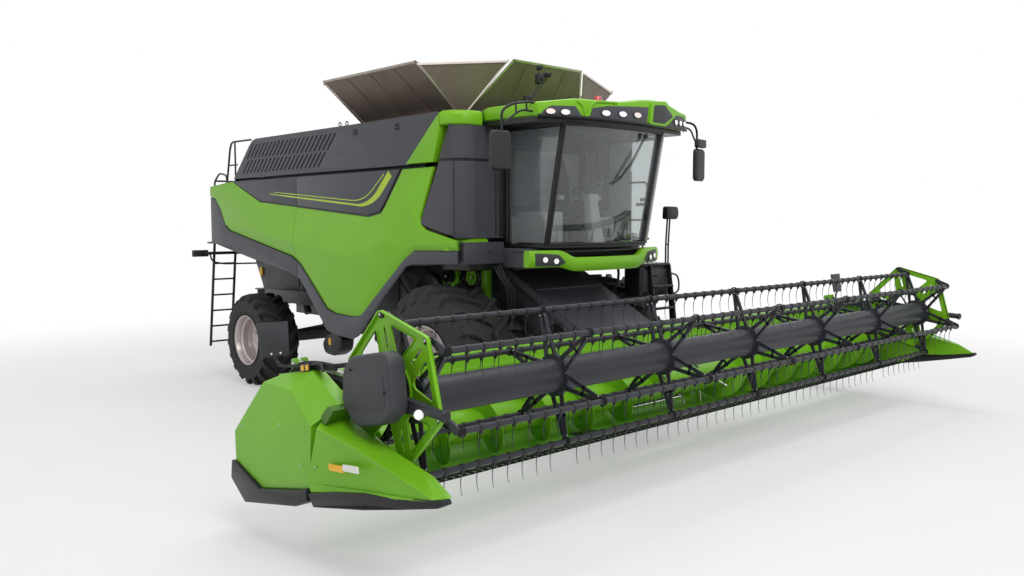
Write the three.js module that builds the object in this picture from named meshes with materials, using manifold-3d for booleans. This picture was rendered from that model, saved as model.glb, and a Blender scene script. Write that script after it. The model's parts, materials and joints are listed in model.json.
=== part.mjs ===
// Combine harvester with a grain header, in millimetres, +Z up. The machine faces -Y and +X is its
// left side. Places are worked out with y = 0 at the front axle and z = 0 at the ground; the header is
// drawn level, with its knife just above the ground, and carried nose up by the feeder house. The last
// lines shift everything so that the origin is on the ground below the middle of the whole machine.
import * as THREE from "three";
import { mergeVertices } from "three/addons/utils/BufferGeometryUtils.js";
import Module from "manifold-3d";

const wasm = await Module();
wasm.setup();

// ---- Driving dimensions ----

const GAP = 0.3; // between pieces that rest on each other
const CLEAR = 8; // between pieces that move past each other

const WHEELBASE = 4690;
const FRONT_WHEEL = { radius: 925, width: 780, rim: 426, track: 2780 };
const REAR_WHEEL = { radius: 735, width: 580, rim: 380, track: 2840 };
const WHEEL_SIDES = 20;
const KINGPIN = { x: 1010, radius: 38, armLength: 260 };
const AXLE_BEAM = { end: 880, halfDepth: 90, halfHeight: 85 };
const YOKE = { inner: 860, outer: 920, halfDepth: 70, halfHeight: 170, ear: 45 };

const RAIL = { x: 470, width: 100, bottom: 1060, height: 160, front: -250, rear: 5200 };
const JACK_PAD = { y: 1800, bottom: 1035 };
const BODY = { halfWidth: 800, front: 640, rear: 4150, bottom: 1230, top: 2390 };
const COVER = { outer: 1700, thickness: 45, top: 3270, rear: 5900, seam: 3100 };
const HOOD = { top: 3880, thickness: 40, front: -290, rear: 4400, tail: 5110 };
const REAR_HOOD = { halfWidth: 780, front: 4160, rear: 5880, bottom: 1250, top: 3180 };
const LAMP_BAR = 1990; // half its length

const TANK = { halfWidth: 1100, front: 90, rear: 2170, rim: 3930, wall: 30, floor: 2450 };
const PANEL = { thickness: 12, sideReach: 680, sideRise: 505, frontReach: 430, frontRise: 635 };
const FRONT_PANEL_TOP = 630; // half its top edge
const AUGER_TUBE = { x: 1450, y: 740, z: 3500, radius: 170, length: 5050 };

const CAB = { halfWidth: 905, front: -1180, rear: -120, floor: 2330, head: 3690, lean: 260, post: 50 };
const GLASS = 8;
const SCREEN = { halfWidth: 846, bulge: 110 };
const ROOF = { halfWidth: 1240, bottom: 3750, height: 235, front: -1640, corner: -1400 };
const APRON = { halfWidth: 1220, bottom: 2030, height: 235, front: -1420, corner: -1140, thickness: 60 };
const PLATFORM = { outer: 1640, front: -1050, top: 2040 };
const DOOR = { hingeX: 935, hingeY: -535, bottom: 2345, top: 3680 };
const MIRROR = { x: 1680, y: -1300, bottom: 3160, width: 290, height: 460, depth: 60 };

const FEEDER = { pivotY: 300, pivotZ: 2000, halfWidth: 620, halfDepth: 270, front: -1690, wall: 20 };
const CARRY = THREE.MathUtils.degToRad(10); // how far the header is carried nose up
const FEEDER_SLOPE = THREE.MathUtils.degToRad(37.9); // of the level feeder house
const LIFT = { pivotY: -60, pivotZ: 690, pinY: -1300, pinZ: 740, x: 490, bore: 42, rod: 32 };

const HEADER = { halfWidth: 4570, knife: -2700, back: -1835, top: 960, sheet: 12 };
const INTAKE = { y: -2160, z: 350, core: 150, flight: 300, pitch: 600 };
const FLIGHT_STEPS = 8; // to each turn
const SHIELD = { inner: HEADER.halfWidth + 30, outer: HEADER.halfWidth + 280, tip: -3650 };
const REEL_END = HEADER.halfWidth - 193; // half the reel's length
const REEL = { y: -3072, z: 716, radius: 555, tube: 140, bays: 6, bats: 6, bay: REEL_END / 3 };
const BAT = { tube: 28, tine: 220, tinePitch: 158.5, firstAngle: 5 };
const CRANK = { y: 130, z: 86, thickness: 20, gap: 16 };
const PLATE = { radius: 563, hole: 205, thickness: 12 };
const REEL_ARM = {
  inner: HEADER.halfWidth - 90, outer: HEADER.halfWidth - 30, pivotY: -1760, pivotZ: 1065, tipY: -3621, tipZ: 628,
};

// ---- Colours and finishes ----

const paint = (color, roughness = 0.45, metalness = 0.1) =>
  new THREE.MeshStandardMaterial({ color, roughness, metalness });
const GREEN = paint(0x7fbc2c);
const DARK = paint(0x4b4c52, 0.5);
const BLACK = paint(0x2b2b2e, 0.6);
const STEEL = paint(0x9a9a98, 0.35, 0.8);
const TANK_STEEL = paint(0x827468, 0.35, 0.7);
const RIM = paint(0xbeb4b2, 0.4, 0.5);
const RUBBER = paint(0x1c1c1d, 0.9, 0);
const SEAT = paint(0x303236, 0.9, 0);
const GLAZING = new THREE.MeshStandardMaterial({
  color: 0x9fb0b5, roughness: 0.05, transparent: true, opacity: 0.3,
});

// ---- Solids ----

// A closed three.js geometry as a manifold solid, for joins and cuts.
function toSolid(geometry) {
  const g = (geometry.index ? geometry.toNonIndexed() : geometry.clone()).deleteAttribute("normal");
  if (g.attributes.uv) g.deleteAttribute("uv");
  const merged = mergeVertices(g, 1e-3);
  const mesh = new wasm.Mesh({
    numProp: 3,
    vertProperties: merged.attributes.position.array,
    triVerts: new Uint32Array(merged.index.array),
  });
  return new wasm.Manifold(mesh);
}

function toGeometry(solid) {
  const mesh = solid.getMesh();
  const geometry = new THREE.BufferGeometry();
  geometry.setAttribute("position", new THREE.BufferAttribute(mesh.vertProperties, 3));
  geometry.setIndex(new THREE.BufferAttribute(mesh.triVerts, 1));
  return geometry;
}

const join = (...parts) => toGeometry(parts.map(toSolid).reduce((a, b) => a.add(b)));
const cut = (base, ...tools) => toGeometry(tools.map(toSolid).reduce((a, b) => a.subtract(b), toSolid(base)));

const box = (x0, x1, y0, y1, z0, z1) =>
  new THREE.BoxGeometry(x1 - x0, y1 - y0, z1 - z0).translate((x0 + x1) / 2, (y0 + y1) / 2, (z0 + z1) / 2);

const outline = (points) => new THREE.Shape(points.map(([u, v]) => new THREE.Vector2(u, v)));

const basis = (u, v, w) =>
  new THREE.Matrix4().makeBasis(new THREE.Vector3(...u), new THREE.Vector3(...v), new THREE.Vector3(...w));

const extrude = (shape, depth) =>
  new THREE.ExtrudeGeometry(shape, { depth, bevelEnabled: false, curveSegments: 6 });

// An outline of [y, z] points drawn out from x0 to x1.
const alongX = (points, x0, x1) =>
  extrude(outline(points), x1 - x0)
    .applyMatrix4(basis([0, 1, 0], [0, 0, 1], [1, 0, 0]))
    .translate(x0, 0, 0);

// An outline of [x, z] points drawn out from y0 to y1.
const alongY = (points, y0, y1) =>
  extrude(outline(points), y1 - y0)
    .applyMatrix4(basis([1, 0, 0], [0, 0, 1], [0, -1, 0]))
    .translate(0, y1, 0);

// An outline of [x, y] points drawn out from z0 to z1.
const alongZ = (points, z0, z1) => extrude(outline(points), z1 - z0).translate(0, 0, z0);

// A straight round bar between two points.
function rod(a, b, radius, sides = 8) {
  const from = new THREE.Vector3(...a);
  const to = new THREE.Vector3(...b);
  const along = to.clone().sub(from);
  const upright = new THREE.Vector3(0, 1, 0);
  const turn = new THREE.Quaternion().setFromUnitVectors(upright, along.clone().normalize());
  return new THREE.CylinderGeometry(radius, radius, along.length(), sides)
    .applyQuaternion(turn)
    .translate(...from.add(to).multiplyScalar(0.5).toArray());
}

// A round bar through several points.
const bentRod = (points, radius) => join(...points.slice(1).map((p, i) => rod(points[i], p, radius, 5)));

// A profile of [x, r] points turned about the X axis; it starts and ends on the axis or closes on itself.
// The flats of the turned shape, not its corners, have the stated radii, and one flat is at the bottom.
function turnedX(profile, segments) {
  const grow = 1 / Math.cos(Math.PI / segments);
  const points = profile.map(([x, r]) => new THREE.Vector2(r * grow, x));
  return new THREE.LatheGeometry(points, segments)
    .rotateY(Math.PI / segments)
    .applyMatrix4(basis([0, 0, 1], [1, 0, 0], [0, 1, 0]));
}

// A flat plate through points in space, with its thickness on the side that the points turn round.
function plate(points, thickness) {
  const [a, b, c] = points.map((p) => new THREE.Vector3(...p));
  const u = b.clone().sub(a).normalize();
  const w = u.clone().cross(c.clone().sub(a)).normalize();
  const v = w.clone().cross(u);
  const flat = points.map((p) => {
    const d = new THREE.Vector3(...p).sub(a);
    return [d.dot(u), d.dot(v)];
  });
  const place = new THREE.Matrix4().makeBasis(u, v, w).setPosition(a);
  return extrude(outline(flat), thickness).applyMatrix4(place);
}

// The ends, low first, of a stretch from a to b on the side that s (1 or -1) gives.
const span = (s, a, b) => (s > 0 ? [a, b] : [-b, -a]);

// Points of an arc in a plane, angles in radians.
const arc = (cu, cv, radius, from, to, steps) =>
  Array.from({ length: steps + 1 }, (_, i) => {
    const angle = from + ((to - from) * i) / steps;
    return [cu + radius * Math.cos(angle), cv + radius * Math.sin(angle)];
  });

// ---- Nodes and groups ----

function piece(name, geometry, material) {
  const mesh = new THREE.Mesh(geometry, material);
  mesh.name = name;
  return mesh;
}

// A group at a pivot whose children are still placed in the frame that the pivot is given in.
function pivoted(name, [x, y, z], ...children) {
  const pivot = new THREE.Group();
  pivot.name = name;
  pivot.position.set(x, y, z);
  const inner = new THREE.Group();
  inner.position.set(-x, -y, -z);
  inner.add(...children);
  return pivot.add(inner);
}

// The same pieces on the machine's right side, made from the left by a mirror across x = 0.
function mirrored(...children) {
  const group = new THREE.Group();
  group.scale.x = -1;
  return group.add(...children);
}

const bothSides = (make) => [make("left"), mirrored(make("right"))];

// ---- Wheels ----

// The tyre's section, from bead to bead over a rounded tread.
function tyreShape(wheel) {
  const half = wheel.width / 2;
  const bead = wheel.rim + 4;
  const shoulder = wheel.radius - 0.13 * wheel.radius;
  const profile = [
    [-half + 18, bead],
    [half - 18, bead],
    [half, bead + 90],
    [half, shoulder],
    [half - 60, wheel.radius - 14],
    [half - 160, wheel.radius],
    [-half + 160, wheel.radius],
    [-half + 60, wheel.radius - 14],
    [-half, shoulder],
    [-half, bead + 90],
    [-half + 18, bead],
  ];
  return turnedX(profile.reverse(), WHEEL_SIDES);
}

// A welded rim: a barrel, a dished disc and a hub.
function rimShape(wheel) {
  const half = wheel.width / 2 - 12;
  const disc = { outer: -20, inner: -70 };
  const profile = [
    [disc.inner, 0],
    [disc.inner, wheel.rim - 80],
    [disc.inner + 20, wheel.rim - 35],
    [-half, wheel.rim - 22],
    [-half, wheel.rim],
    [half, wheel.rim],
    [half, wheel.rim - 22],
    [20, wheel.rim - 35],
    [disc.outer, wheel.rim - 80],
    [disc.outer, 130],
    [40, 100],
    [40, 0],
  ];
  return turnedX(profile, WHEEL_SIDES);
}

function wheel(prefix, side, size, y) {
  const x = size.track / 2;
  const centre = [x, y, size.radius];
  return pivoted(
    prefix + "_spin_" + side,
    centre,
    piece(prefix + "_tyre_" + side, tyreShape(size).translate(...centre), RUBBER),
    piece(prefix + "_rim_" + side, rimShape(size).translate(...centre), RIM),
  );
}

// ---- Chassis and axles ----

function mainFrame() {
  const { x, width, bottom, height, front, rear } = RAIL;
  const top = bottom + height;
  const rails = [-x, x].map((c) => box(c - width / 2, c + width / 2, front, rear, bottom, top));
  const member = (y) => box(-x, x, y - 50, y + 70, bottom + 20, top - 20);
  const cross = [front + 60, 1200, 2500, rear - 60].map(member);
  const bridge = box(-x, x, WHEELBASE - 130, WHEELBASE + 130, bottom + 20, top - 20);
  const posts = [-1, 1].flatMap((s) => [
    box(...span(s, x, 800), -50, 100, bottom, top),
    box(...span(s, 700, 800), -50, 100, bottom, CAB.floor - 45),
    box(...span(s, 780, 990), -1000, 100, 2050, CAB.floor - 45),
  ]);
  const pads = [-1, 1].map((s) =>
    box(...span(s, x - 60, x + 60), JACK_PAD.y - 60, JACK_PAD.y + 60, JACK_PAD.bottom, top - 20));
  const carrier = [WHEELBASE - 130, WHEELBASE + 100].map((y) => box(-150, 150, y, y + 30, 620, top - 30));
  const hitch = box(-130, 130, rear - 80, rear + 180, bottom, top);
  return join(...rails, ...cross, bridge, ...posts, ...pads, ...carrier, hitch);
}

function frontAxle() {
  const z = FRONT_WHEEL.radius;
  const hub = FRONT_WHEEL.track / 2 - 70 - CLEAR;
  const tube = rod([-hub, 0, z], [hub, 0, z], RAIL.bottom - z - 1, 12);
  const drives = [-1, 1].map((s) => rod([s * 880, 0, z], [s * (hub - 60), 0, z], 250, 12));
  const lugs = [-1, 1].flatMap((s) =>
    [s * LIFT.x - 90, s * LIFT.x + 70].map((x) =>
      cut(
        box(x, x + 20, LIFT.pivotY - 70, 60, LIFT.pivotZ - 70, z),
        rod([x - 5, LIFT.pivotY, LIFT.pivotZ], [x + 25, LIFT.pivotY, LIFT.pivotZ], 48, 8),
      ),
    ),
  );
  return join(tube, ...drives, ...lugs);
}

function rearAxleBeam() {
  const y = WHEELBASE;
  const z = REAR_WHEEL.radius;
  const { end, halfDepth, halfHeight } = AXLE_BEAM;
  const beam = box(-end, end, y - halfDepth, y + halfDepth, z - halfHeight, z + halfHeight);
  const yokes = [-1, 1].map((s) => {
    const depth = YOKE.halfDepth;
    const ear = (z0) =>
      cut(
        box(...span(s, YOKE.inner, KINGPIN.x + 70), y - depth, y + depth, z0, z0 + YOKE.ear),
        rod([s * KINGPIN.x, y, z0 - 5], [s * KINGPIN.x, y, z0 + YOKE.ear + 5], KINGPIN.radius + CLEAR, 12),
      );
    const tall = YOKE.halfHeight;
    const cheek = box(...span(s, YOKE.inner, YOKE.outer), y - depth, y + depth, z - tall, z + tall);
    return join(cheek, ear(z + YOKE.halfHeight - YOKE.ear), ear(z - YOKE.halfHeight));
  });
  return join(beam, ...yokes);
}

// A steering knuckle with its kingpin, stub axle and steering arm.
function knuckle(side) {
  const y = WHEELBASE;
  const z = REAR_WHEEL.radius;
  const x = KINGPIN.x;
  const hub = REAR_WHEEL.track / 2 - 70 - CLEAR;
  const shape = join(
    rod([x, y, z - 165], [x, y, z + 165], KINGPIN.radius, 12),
    rod([x, y, z - 117], [x, y, z + 117], 78, 12),
    rod([x, y, z], [hub, y, z], 58, 12),
    rod([hub - 30, y, z], [hub, y, z], 140, 16),
    box(x - 25, x + 25, y, y + KINGPIN.armLength + 35, z - 20, z + 20),
  );
  return piece("steering_knuckle_" + side, shape, DARK);
}

function tieRod() {
  const y = WHEELBASE + KINGPIN.armLength;
  const z = REAR_WHEEL.radius - 20 - CLEAR;
  const eyes = [-1, 1].map((s) => rod([s * KINGPIN.x, y, z - 44], [s * KINGPIN.x, y, z], 38, 10));
  return join(rod([-KINGPIN.x, y, z - 22], [KINGPIN.x, y, z - 22], 20, 8), ...eyes);
}

function rearAxle() {
  const right = pivoted(
    "steer_right",
    [-KINGPIN.x, WHEELBASE, REAR_WHEEL.radius],
    mirrored(knuckle("right"), wheel("rear", "right", REAR_WHEEL, WHEELBASE)),
    pivoted(
      "tie_rod_swing",
      [-KINGPIN.x, WHEELBASE + KINGPIN.armLength, REAR_WHEEL.radius],
      piece("tie_rod", tieRod(), STEEL),
    ),
  );
  const left = pivoted(
    "steer_left",
    [KINGPIN.x, WHEELBASE, REAR_WHEEL.radius],
    knuckle("left"),
    wheel("rear", "left", REAR_WHEEL, WHEELBASE),
  );
  return [piece("rear_axle_beam", rearAxleBeam(), DARK), right, left];
}

// ---- Bodywork ----

function separatorBody() {
  const { front, rear, bottom, top, halfWidth } = BODY;
  const side = [[front, bottom + 270], [front, top], [rear, top], [rear, bottom], [front + 460, bottom]];
  return alongX(side, -halfWidth, halfWidth);
}

function rearHood() {
  const { front, rear, bottom, top, halfWidth } = REAR_HOOD;
  const side = [
    [front, bottom], [rear - 230, bottom], [rear, bottom + 250], [rear, top - 280], [rear - 180, top],
    [front, top],
  ];
  const deck = box(-1590, 1590, HOOD.rear + 20, rear - 380, COVER.top - 40, COVER.top);
  const riser = box(-700, 700, front + 40, rear - 400, top - 30, COVER.top - 10);
  const lampBar = box(-LAMP_BAR, LAMP_BAR, rear - 20, rear + 55, 2040, 2120);
  const lampBoxes = [-1, 1].map((s) =>
    box(...span(s, LAMP_BAR - 260, LAMP_BAR), rear + 20, rear + 110, 2020, 2150));
  return join(alongX(side, -halfWidth, halfWidth), deck, riser, lampBar, ...lampBoxes);
}

function engineHood() {
  const { top, thickness, front, rear, tail } = HOOD;
  const foot = COVER.top + 20;
  const skinX = COVER.outer - 60;
  const leftWall = AUGER_TUBE.x - AUGER_TUBE.radius - 40;
  const inner = TANK.rear + TANK.wall + 10;
  const tankSide = TANK.halfWidth + TANK.wall + 10;
  const rightSkin = [[front + 750, foot], [tail, foot], [rear, top], [front, top]];
  const leftSkin = [[inner, foot], [tail, foot], [rear, top], [inner, top]];
  const slope = [[rear, top], [rear - 40, top - 20], [tail - 45, foot], [tail, foot]];
  return join(
    alongX(rightSkin, -skinX, -skinX + thickness),
    alongX(leftSkin, leftWall - thickness, leftWall),
    alongX(slope, -skinX, leftWall),
    box(-skinX, leftWall, inner, rear, top - 20, top),
    box(-skinX, -tankSide, front, inner + 10, top - 20, top),
  );
}

// The corner behind the cab: a dark compartment with a rounded front edge under a green band.
function shoulder(side) {
  const outer = COVER.outer - 15;
  const face = DOOR.hingeY + 20;
  const corner = 220;
  const besideTank = TANK.halfWidth + TANK.wall + 15;
  const beforeTank = TANK.front - TANK.wall - 20;
  const upright = (inner, z0, z1) =>
    alongZ(
      [
        [inner, face],
        ...arc(outer - corner, face + corner, corner, -Math.PI / 2, 0, 5),
        [outer, 600],
        [besideTank, 600],
        [besideTank, beforeTank],
        [inner, beforeTank],
      ],
      z0,
      z1,
    );
  const trim = (solid, points) =>
    toGeometry(toSolid(solid).intersect(toSolid(alongX(points, 0, outer + 10))));
  const neckTop = ROOF.bottom - 10;
  const neck = [[-700, 2400], [-520, 2400], [225, 2575], [-145, 3280], [-330, neckTop], [-700, neckTop]];
  const base = trim(upright(CAB.halfWidth + 40, 2400, ROOF.bottom - 10), neck);
  const foot = COVER.top + 25;
  const slanted = [[425, foot], [-90, foot], [-420, 3800], [-235, 3800]];
  const rise = trim(box(outer - 120, outer, -700, 700, foot, 3800), slanted);
  const cap = trim(
    upright(ROOF.halfWidth + 10, ROOF.bottom - 30, HOOD.top),
    [[-700, 3720], [-140, 3720], [-330, HOOD.top], [-700, HOOD.top]],
  );
  return piece("shoulder_panel_" + side, join(base, rise, cap), GREEN);
}

// The big front cover rises forwards into a neck beside the cab; its foot makes the wheel arch.
const FRONT_COVER = [
  [-510, 2100], [370, 2070], [1010, 1570], [1590, 1050], [2300, 1080], [3050, 1730],
  [COVER.seam, 1742], [COVER.seam, COVER.top], [-100, COVER.top], [250, 2560], [-510, 2380],
];
const REAR_COVER = [
  [COVER.seam + 8, 1745], [4460, 2030], [COVER.rear, 2250], [COVER.rear, 3190],
  [5200, 3240], [5130, COVER.top], [COVER.seam + 8, COVER.top],
];

function sideCover(name, side, points) {
  const skin = alongX(points, COVER.outer - COVER.thickness, COVER.outer);
  const hinge = [COVER.outer + 8, 0, COVER.top + 5];
  return pivoted(name + "_swing_" + side, hinge, piece(name + "_" + side, skin, GREEN));
}

// ---- Grain tank ----

function grainTank() {
  const { halfWidth, front, rear, rim, wall, floor } = TANK;
  const bin = (out, bottom, top) => [
    [-740 - out, bottom],
    [740 + out, bottom],
    [halfWidth + out, floor + 365 - out / 2],
    [halfWidth + out, top],
    [-halfWidth - out, top],
    [-halfWidth - out, floor + 365 - out / 2],
  ];
  const shell = alongY(bin(wall, floor - wall, rim), front - wall, rear + wall);
  const { x, y, z, radius } = AUGER_TUBE;
  const turret = rod([x, y, floor + 60], [x, y, z - radius - 2 * CLEAR - 20], radius, 16);
  const trough = box(halfWidth - 150, x, y - 120, y + 120, floor + 80, floor + 300);
  const hollow = alongY(bin(0, floor, rim + 50), front, rear);
  const tank = cut(join(shell, turret, trough), hollow);
  return join(tank, ...[-1, 1].flatMap((s) => [gusset(s, front, -1), gusset(s, rear, 1)]));
}

// A three-cornered plate that closes the corner between a side panel and an end panel.
function gusset(s, y, toward) {
  const base = TANK.rim - 30;
  const cornerX = TANK.halfWidth + 10;
  const points = [
    [s * (cornerX - 55), y + toward * 12, base],
    [s * cornerX, y - toward * 43, base],
    [s * (TANK.halfWidth + PANEL.sideReach - 20), y - toward * 10, TANK.rim + PANEL.sideRise + 20],
    [s * (FRONT_PANEL_TOP + 45), y + toward * (PANEL.frontReach - 20), TANK.rim + PANEL.frontRise],
  ];
  const a = new THREE.Vector3(...points[0]);
  const [c, d] = [points[2], points[3]].map((p) => new THREE.Vector3(...p).sub(a));
  const normal = c.cross(d).normalize();
  const shift = a.clone().sub(new THREE.Vector3(...points[1])).dot(normal);
  points[1] = new THREE.Vector3(...points[1]).addScaledVector(normal, shift).toArray();
  return plate(s * toward > 0 ? points.reverse() : points, 10);
}

// A side panel leans outwards from its hinge along the tank's edge.
function sidePanel(side) {
  const hinge = [TANK.halfWidth, 0, TANK.rim + 45];
  const rise = Math.atan2(PANEL.sideRise, PANEL.sideReach);
  const length = Math.hypot(PANEL.sideRise, PANEL.sideReach);
  const leaf = box(0, length, TANK.front + 20, TANK.rear - 20, -PANEL.thickness / 2, PANEL.thickness / 2)
    .rotateY(-rise)
    .translate(...hinge);
  return pivoted("tank_panel_fold_" + side, hinge, piece("tank_panel_" + side, leaf, TANK_STEEL));
}

// An end panel narrows upwards between the corner gussets.
function endPanel(name, y, toward) {
  const hinge = [0, y, TANK.rim + 20];
  const lean = Math.atan2(PANEL.frontReach, PANEL.frontRise);
  const length = Math.hypot(PANEL.frontReach, PANEL.frontRise);
  const half = TANK.halfWidth - 75;
  const leaf = alongY(
    [[-half, 0], [half, 0], [FRONT_PANEL_TOP - 15, length], [-FRONT_PANEL_TOP + 15, length]],
    -PANEL.thickness / 2,
    PANEL.thickness / 2,
  )
    .rotateX(-toward * lean)
    .translate(...hinge);
  return pivoted("tank_panel_fold_" + name, hinge, piece("tank_panel_" + name, leaf, TANK_STEEL));
}

function unloadingAuger() {
  const { x, y, z, radius, length } = AUGER_TUBE;
  const foot = z - radius - CLEAR;
  const shape = join(
    rod([x, y, foot], [x, y, z + radius - 20], radius, 16),
    rod([x, y, z], [x, y + length, z], radius - 10, 16),
    box(x - radius + 20, x + radius - 20, y + length - 320, y + length, z - radius - 60, z - 20),
  );
  return pivoted("unloading_auger_swing", [x, y, z], piece("unloading_auger", shape, DARK));
}

// ---- Cab ----

// The front post leans forwards; its y at a height.
const postY = (z) => CAB.front - (CAB.lean * (z - CAB.floor)) / (CAB.head - CAB.floor);

// The windscreen's bow: y at an x, forwards of the posts.
const bowY = (x, half, bulge) => -bulge * (1 - (x / half) ** 2);

function bowed(half, bulge, thickness, steps) {
  const xs = Array.from({ length: steps + 1 }, (_, i) => -half + (2 * half * i) / steps);
  const front = xs.map((x) => [x, bowY(x, half, bulge)]);
  const back = xs.reverse().map((x) => [x, bowY(x, half, bulge) + thickness]);
  return [...front, ...back];
}

// Leans an upright solid forwards as the cab's front posts lean.
const leaned = (geometry) => {
  const k = -CAB.lean / (CAB.head - CAB.floor);
  return geometry
    .translate(0, 0, -CAB.floor)
    .applyMatrix4(new THREE.Matrix4().makeShear(0, 0, 0, 0, 0, k))
    .translate(0, 0, CAB.floor);
};

function cabFrame() {
  const { halfWidth, front, rear, floor, head, post } = CAB;
  const rearPost = DOOR.hingeY + 5;
  const floorPlan = [
    ...bowed(halfWidth, SCREEN.bulge + 20, 0, 8).slice(0, 9).map(([x, y]) => [x, y + front - 20]),
    [halfWidth, rear],
    [-halfWidth, rear],
  ];
  const pieces = [
    alongZ(floorPlan, floor - 40, floor),
    box(-halfWidth, halfWidth, rear - 40, rear, floor - 10, head + 50),
    box(-halfWidth, halfWidth, rearPost - 60, rear, head, head + 50),
  ];
  const frontPost = [
    [front + 20, floor - 10], [front - 40, floor - 10], [postY(head) - 40, head + 10],
    [postY(head) + 20, head + 10],
  ];
  for (const side of [span(-1, halfWidth - post, halfWidth), span(1, halfWidth - post, halfWidth)]) {
    pieces.push(
      alongX(frontPost, ...side),
      box(...side, rearPost - 5, rear, floor - 10, head + 10),
      box(...side, postY(head) - 40, rear, head, head + 50),
    );
  }
  pieces.push(box(-halfWidth, halfWidth, postY(head) - 40, postY(head) + 20, head, head + 50));
  return join(...pieces);
}

function windscreen() {
  const { halfWidth, bulge } = SCREEN;
  const bottom = CAB.floor + 5;
  const plan = bowed(halfWidth, bulge, GLASS, 10).map(([x, y]) => [x, y + CAB.front]);
  return leaned(alongZ(plan, bottom, CAB.head - 5));
}

// The outline of the cab's side opening, pulled in by a margin.
function sideOpening(margin) {
  const bottom = DOOR.bottom + margin;
  const top = DOOR.top - margin;
  const back = DOOR.hingeY - 10 - margin;
  const foreY = (z) => postY(z) + 30 + margin;
  return [[back, bottom], [foreY(bottom), bottom], [foreY(top), top], [back, top]];
}

const sideGlass = () => alongX(sideOpening(CLEAR), -CAB.halfWidth + 20, -CAB.halfWidth + 20 + GLASS);

function cabDoor() {
  const rim = cut(
    alongX(sideOpening(CLEAR), CAB.halfWidth - 25, CAB.halfWidth + 20),
    alongX(sideOpening(CLEAR + 55), CAB.halfWidth - 35, CAB.halfWidth + 30),
  );
  const pane = alongX(sideOpening(CLEAR + 50), CAB.halfWidth - 8, CAB.halfWidth);
  const door = piece("cab_door", join(rim, pane), BLACK);
  return pivoted("cab_door_swing", [DOOR.hingeX, DOOR.hingeY, 3000], door);
}

function cabRoof() {
  const { halfWidth, bottom, height, front, corner } = ROOF;
  const rear = CAB.rear;
  const nose = bowed(halfWidth, corner - front, 0, 8).slice(0, 9).map(([x, y]) => [x, y + corner]);
  const besideHood = Math.min(halfWidth, TANK.halfWidth - 30);
  const shoulders = [[halfWidth, rear - 450], [besideHood, HOOD.front - CLEAR], [besideHood - 90, rear]];
  const tail = [...shoulders, ...shoulders.map(([x, y]) => [-x, y]).reverse()];
  const shell = alongZ([...nose, ...tail], bottom, bottom + height);
  const mirrors = [-1, 1].map((s) => {
    const { x, bottom: foot, width, height: tall, depth } = MIRROR;
    const y = MIRROR.y - (s > 0 ? 140 : 0);
    const arm = bentRod([[s * 930, -1380, 3860], [s * x, y, 3860], [s * x, y, foot + tall - 30]], 20);
    const [w, d] = [width / 2, depth / 2];
    return join(arm, box(s * x - w, s * x + w, y - d, y + d, foot, foot + tall));
  });
  return join(shell, ...mirrors);
}

function cabApron() {
  const { halfWidth, bottom, height, front, corner, thickness } = APRON;
  const plan = bowed(halfWidth, corner - front, thickness, 10).map(([x, y]) => [x, y + corner]);
  return alongZ(plan, bottom, bottom + height);
}

function cabSeat() {
  const floor = CAB.floor + GAP;
  return join(
    box(-170, 170, -820, -480, floor, floor + 330),
    box(-250, 250, -900, -420, floor + 310, floor + 460),
    alongX([[-520, floor + 430], [-400, floor + 430], [-300, floor + 1130], [-390, floor + 1130]], -240, 240),
  );
}

function steeringColumn() {
  const foot = [0, -1130, CAB.floor + 35];
  const hub = [0, -1010, CAB.floor + 640];
  const ring = new THREE.TorusGeometry(190, 18, 6, 16).rotateX(-0.35).translate(...hub);
  const spoke = box(-190, 190, -20, 20, -12, 12).rotateX(-0.35).translate(...hub);
  const base = box(-70, 70, -1180, -1080, CAB.floor + GAP, CAB.floor + 65);
  return join(base, rod(foot, hub, 36, 8), ring, spoke);
}

function accessPlatform() {
  const { outer, front, top } = PLATFORM;
  const deck = box(1000 + CLEAR, outer, front, -560, top - 40, top);
  const locker = box(1000 + CLEAR, outer, front + 20, -760, top - 440, top - 30);
  const foot = [front - 200, 520];
  const head = [front, top - 20];
  const stiles = [1180, 1600].map((x) => rod([x, ...head], [x, ...foot], 24, 5));
  const rungs = Array.from({ length: 5 }, (_, i) => {
    const z = foot[1] + 40 + i * 290;
    const y = foot[0] + ((head[0] - foot[0]) * (z - foot[1])) / (head[1] - foot[1]);
    return box(1170, 1610, y - 45, y + 45, z, z + 25);
  });
  const y = front + 20;
  const posts = [1560, 1615].map((x) => rod([x, y, top - 20], [x, y, 2640], 14, 6));
  const lamp = box(1520, 1790, y - 50, y + 50, 2620, 2810);
  return join(deck, locker, ...stiles, ...rungs, ...posts, lamp);
}

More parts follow.
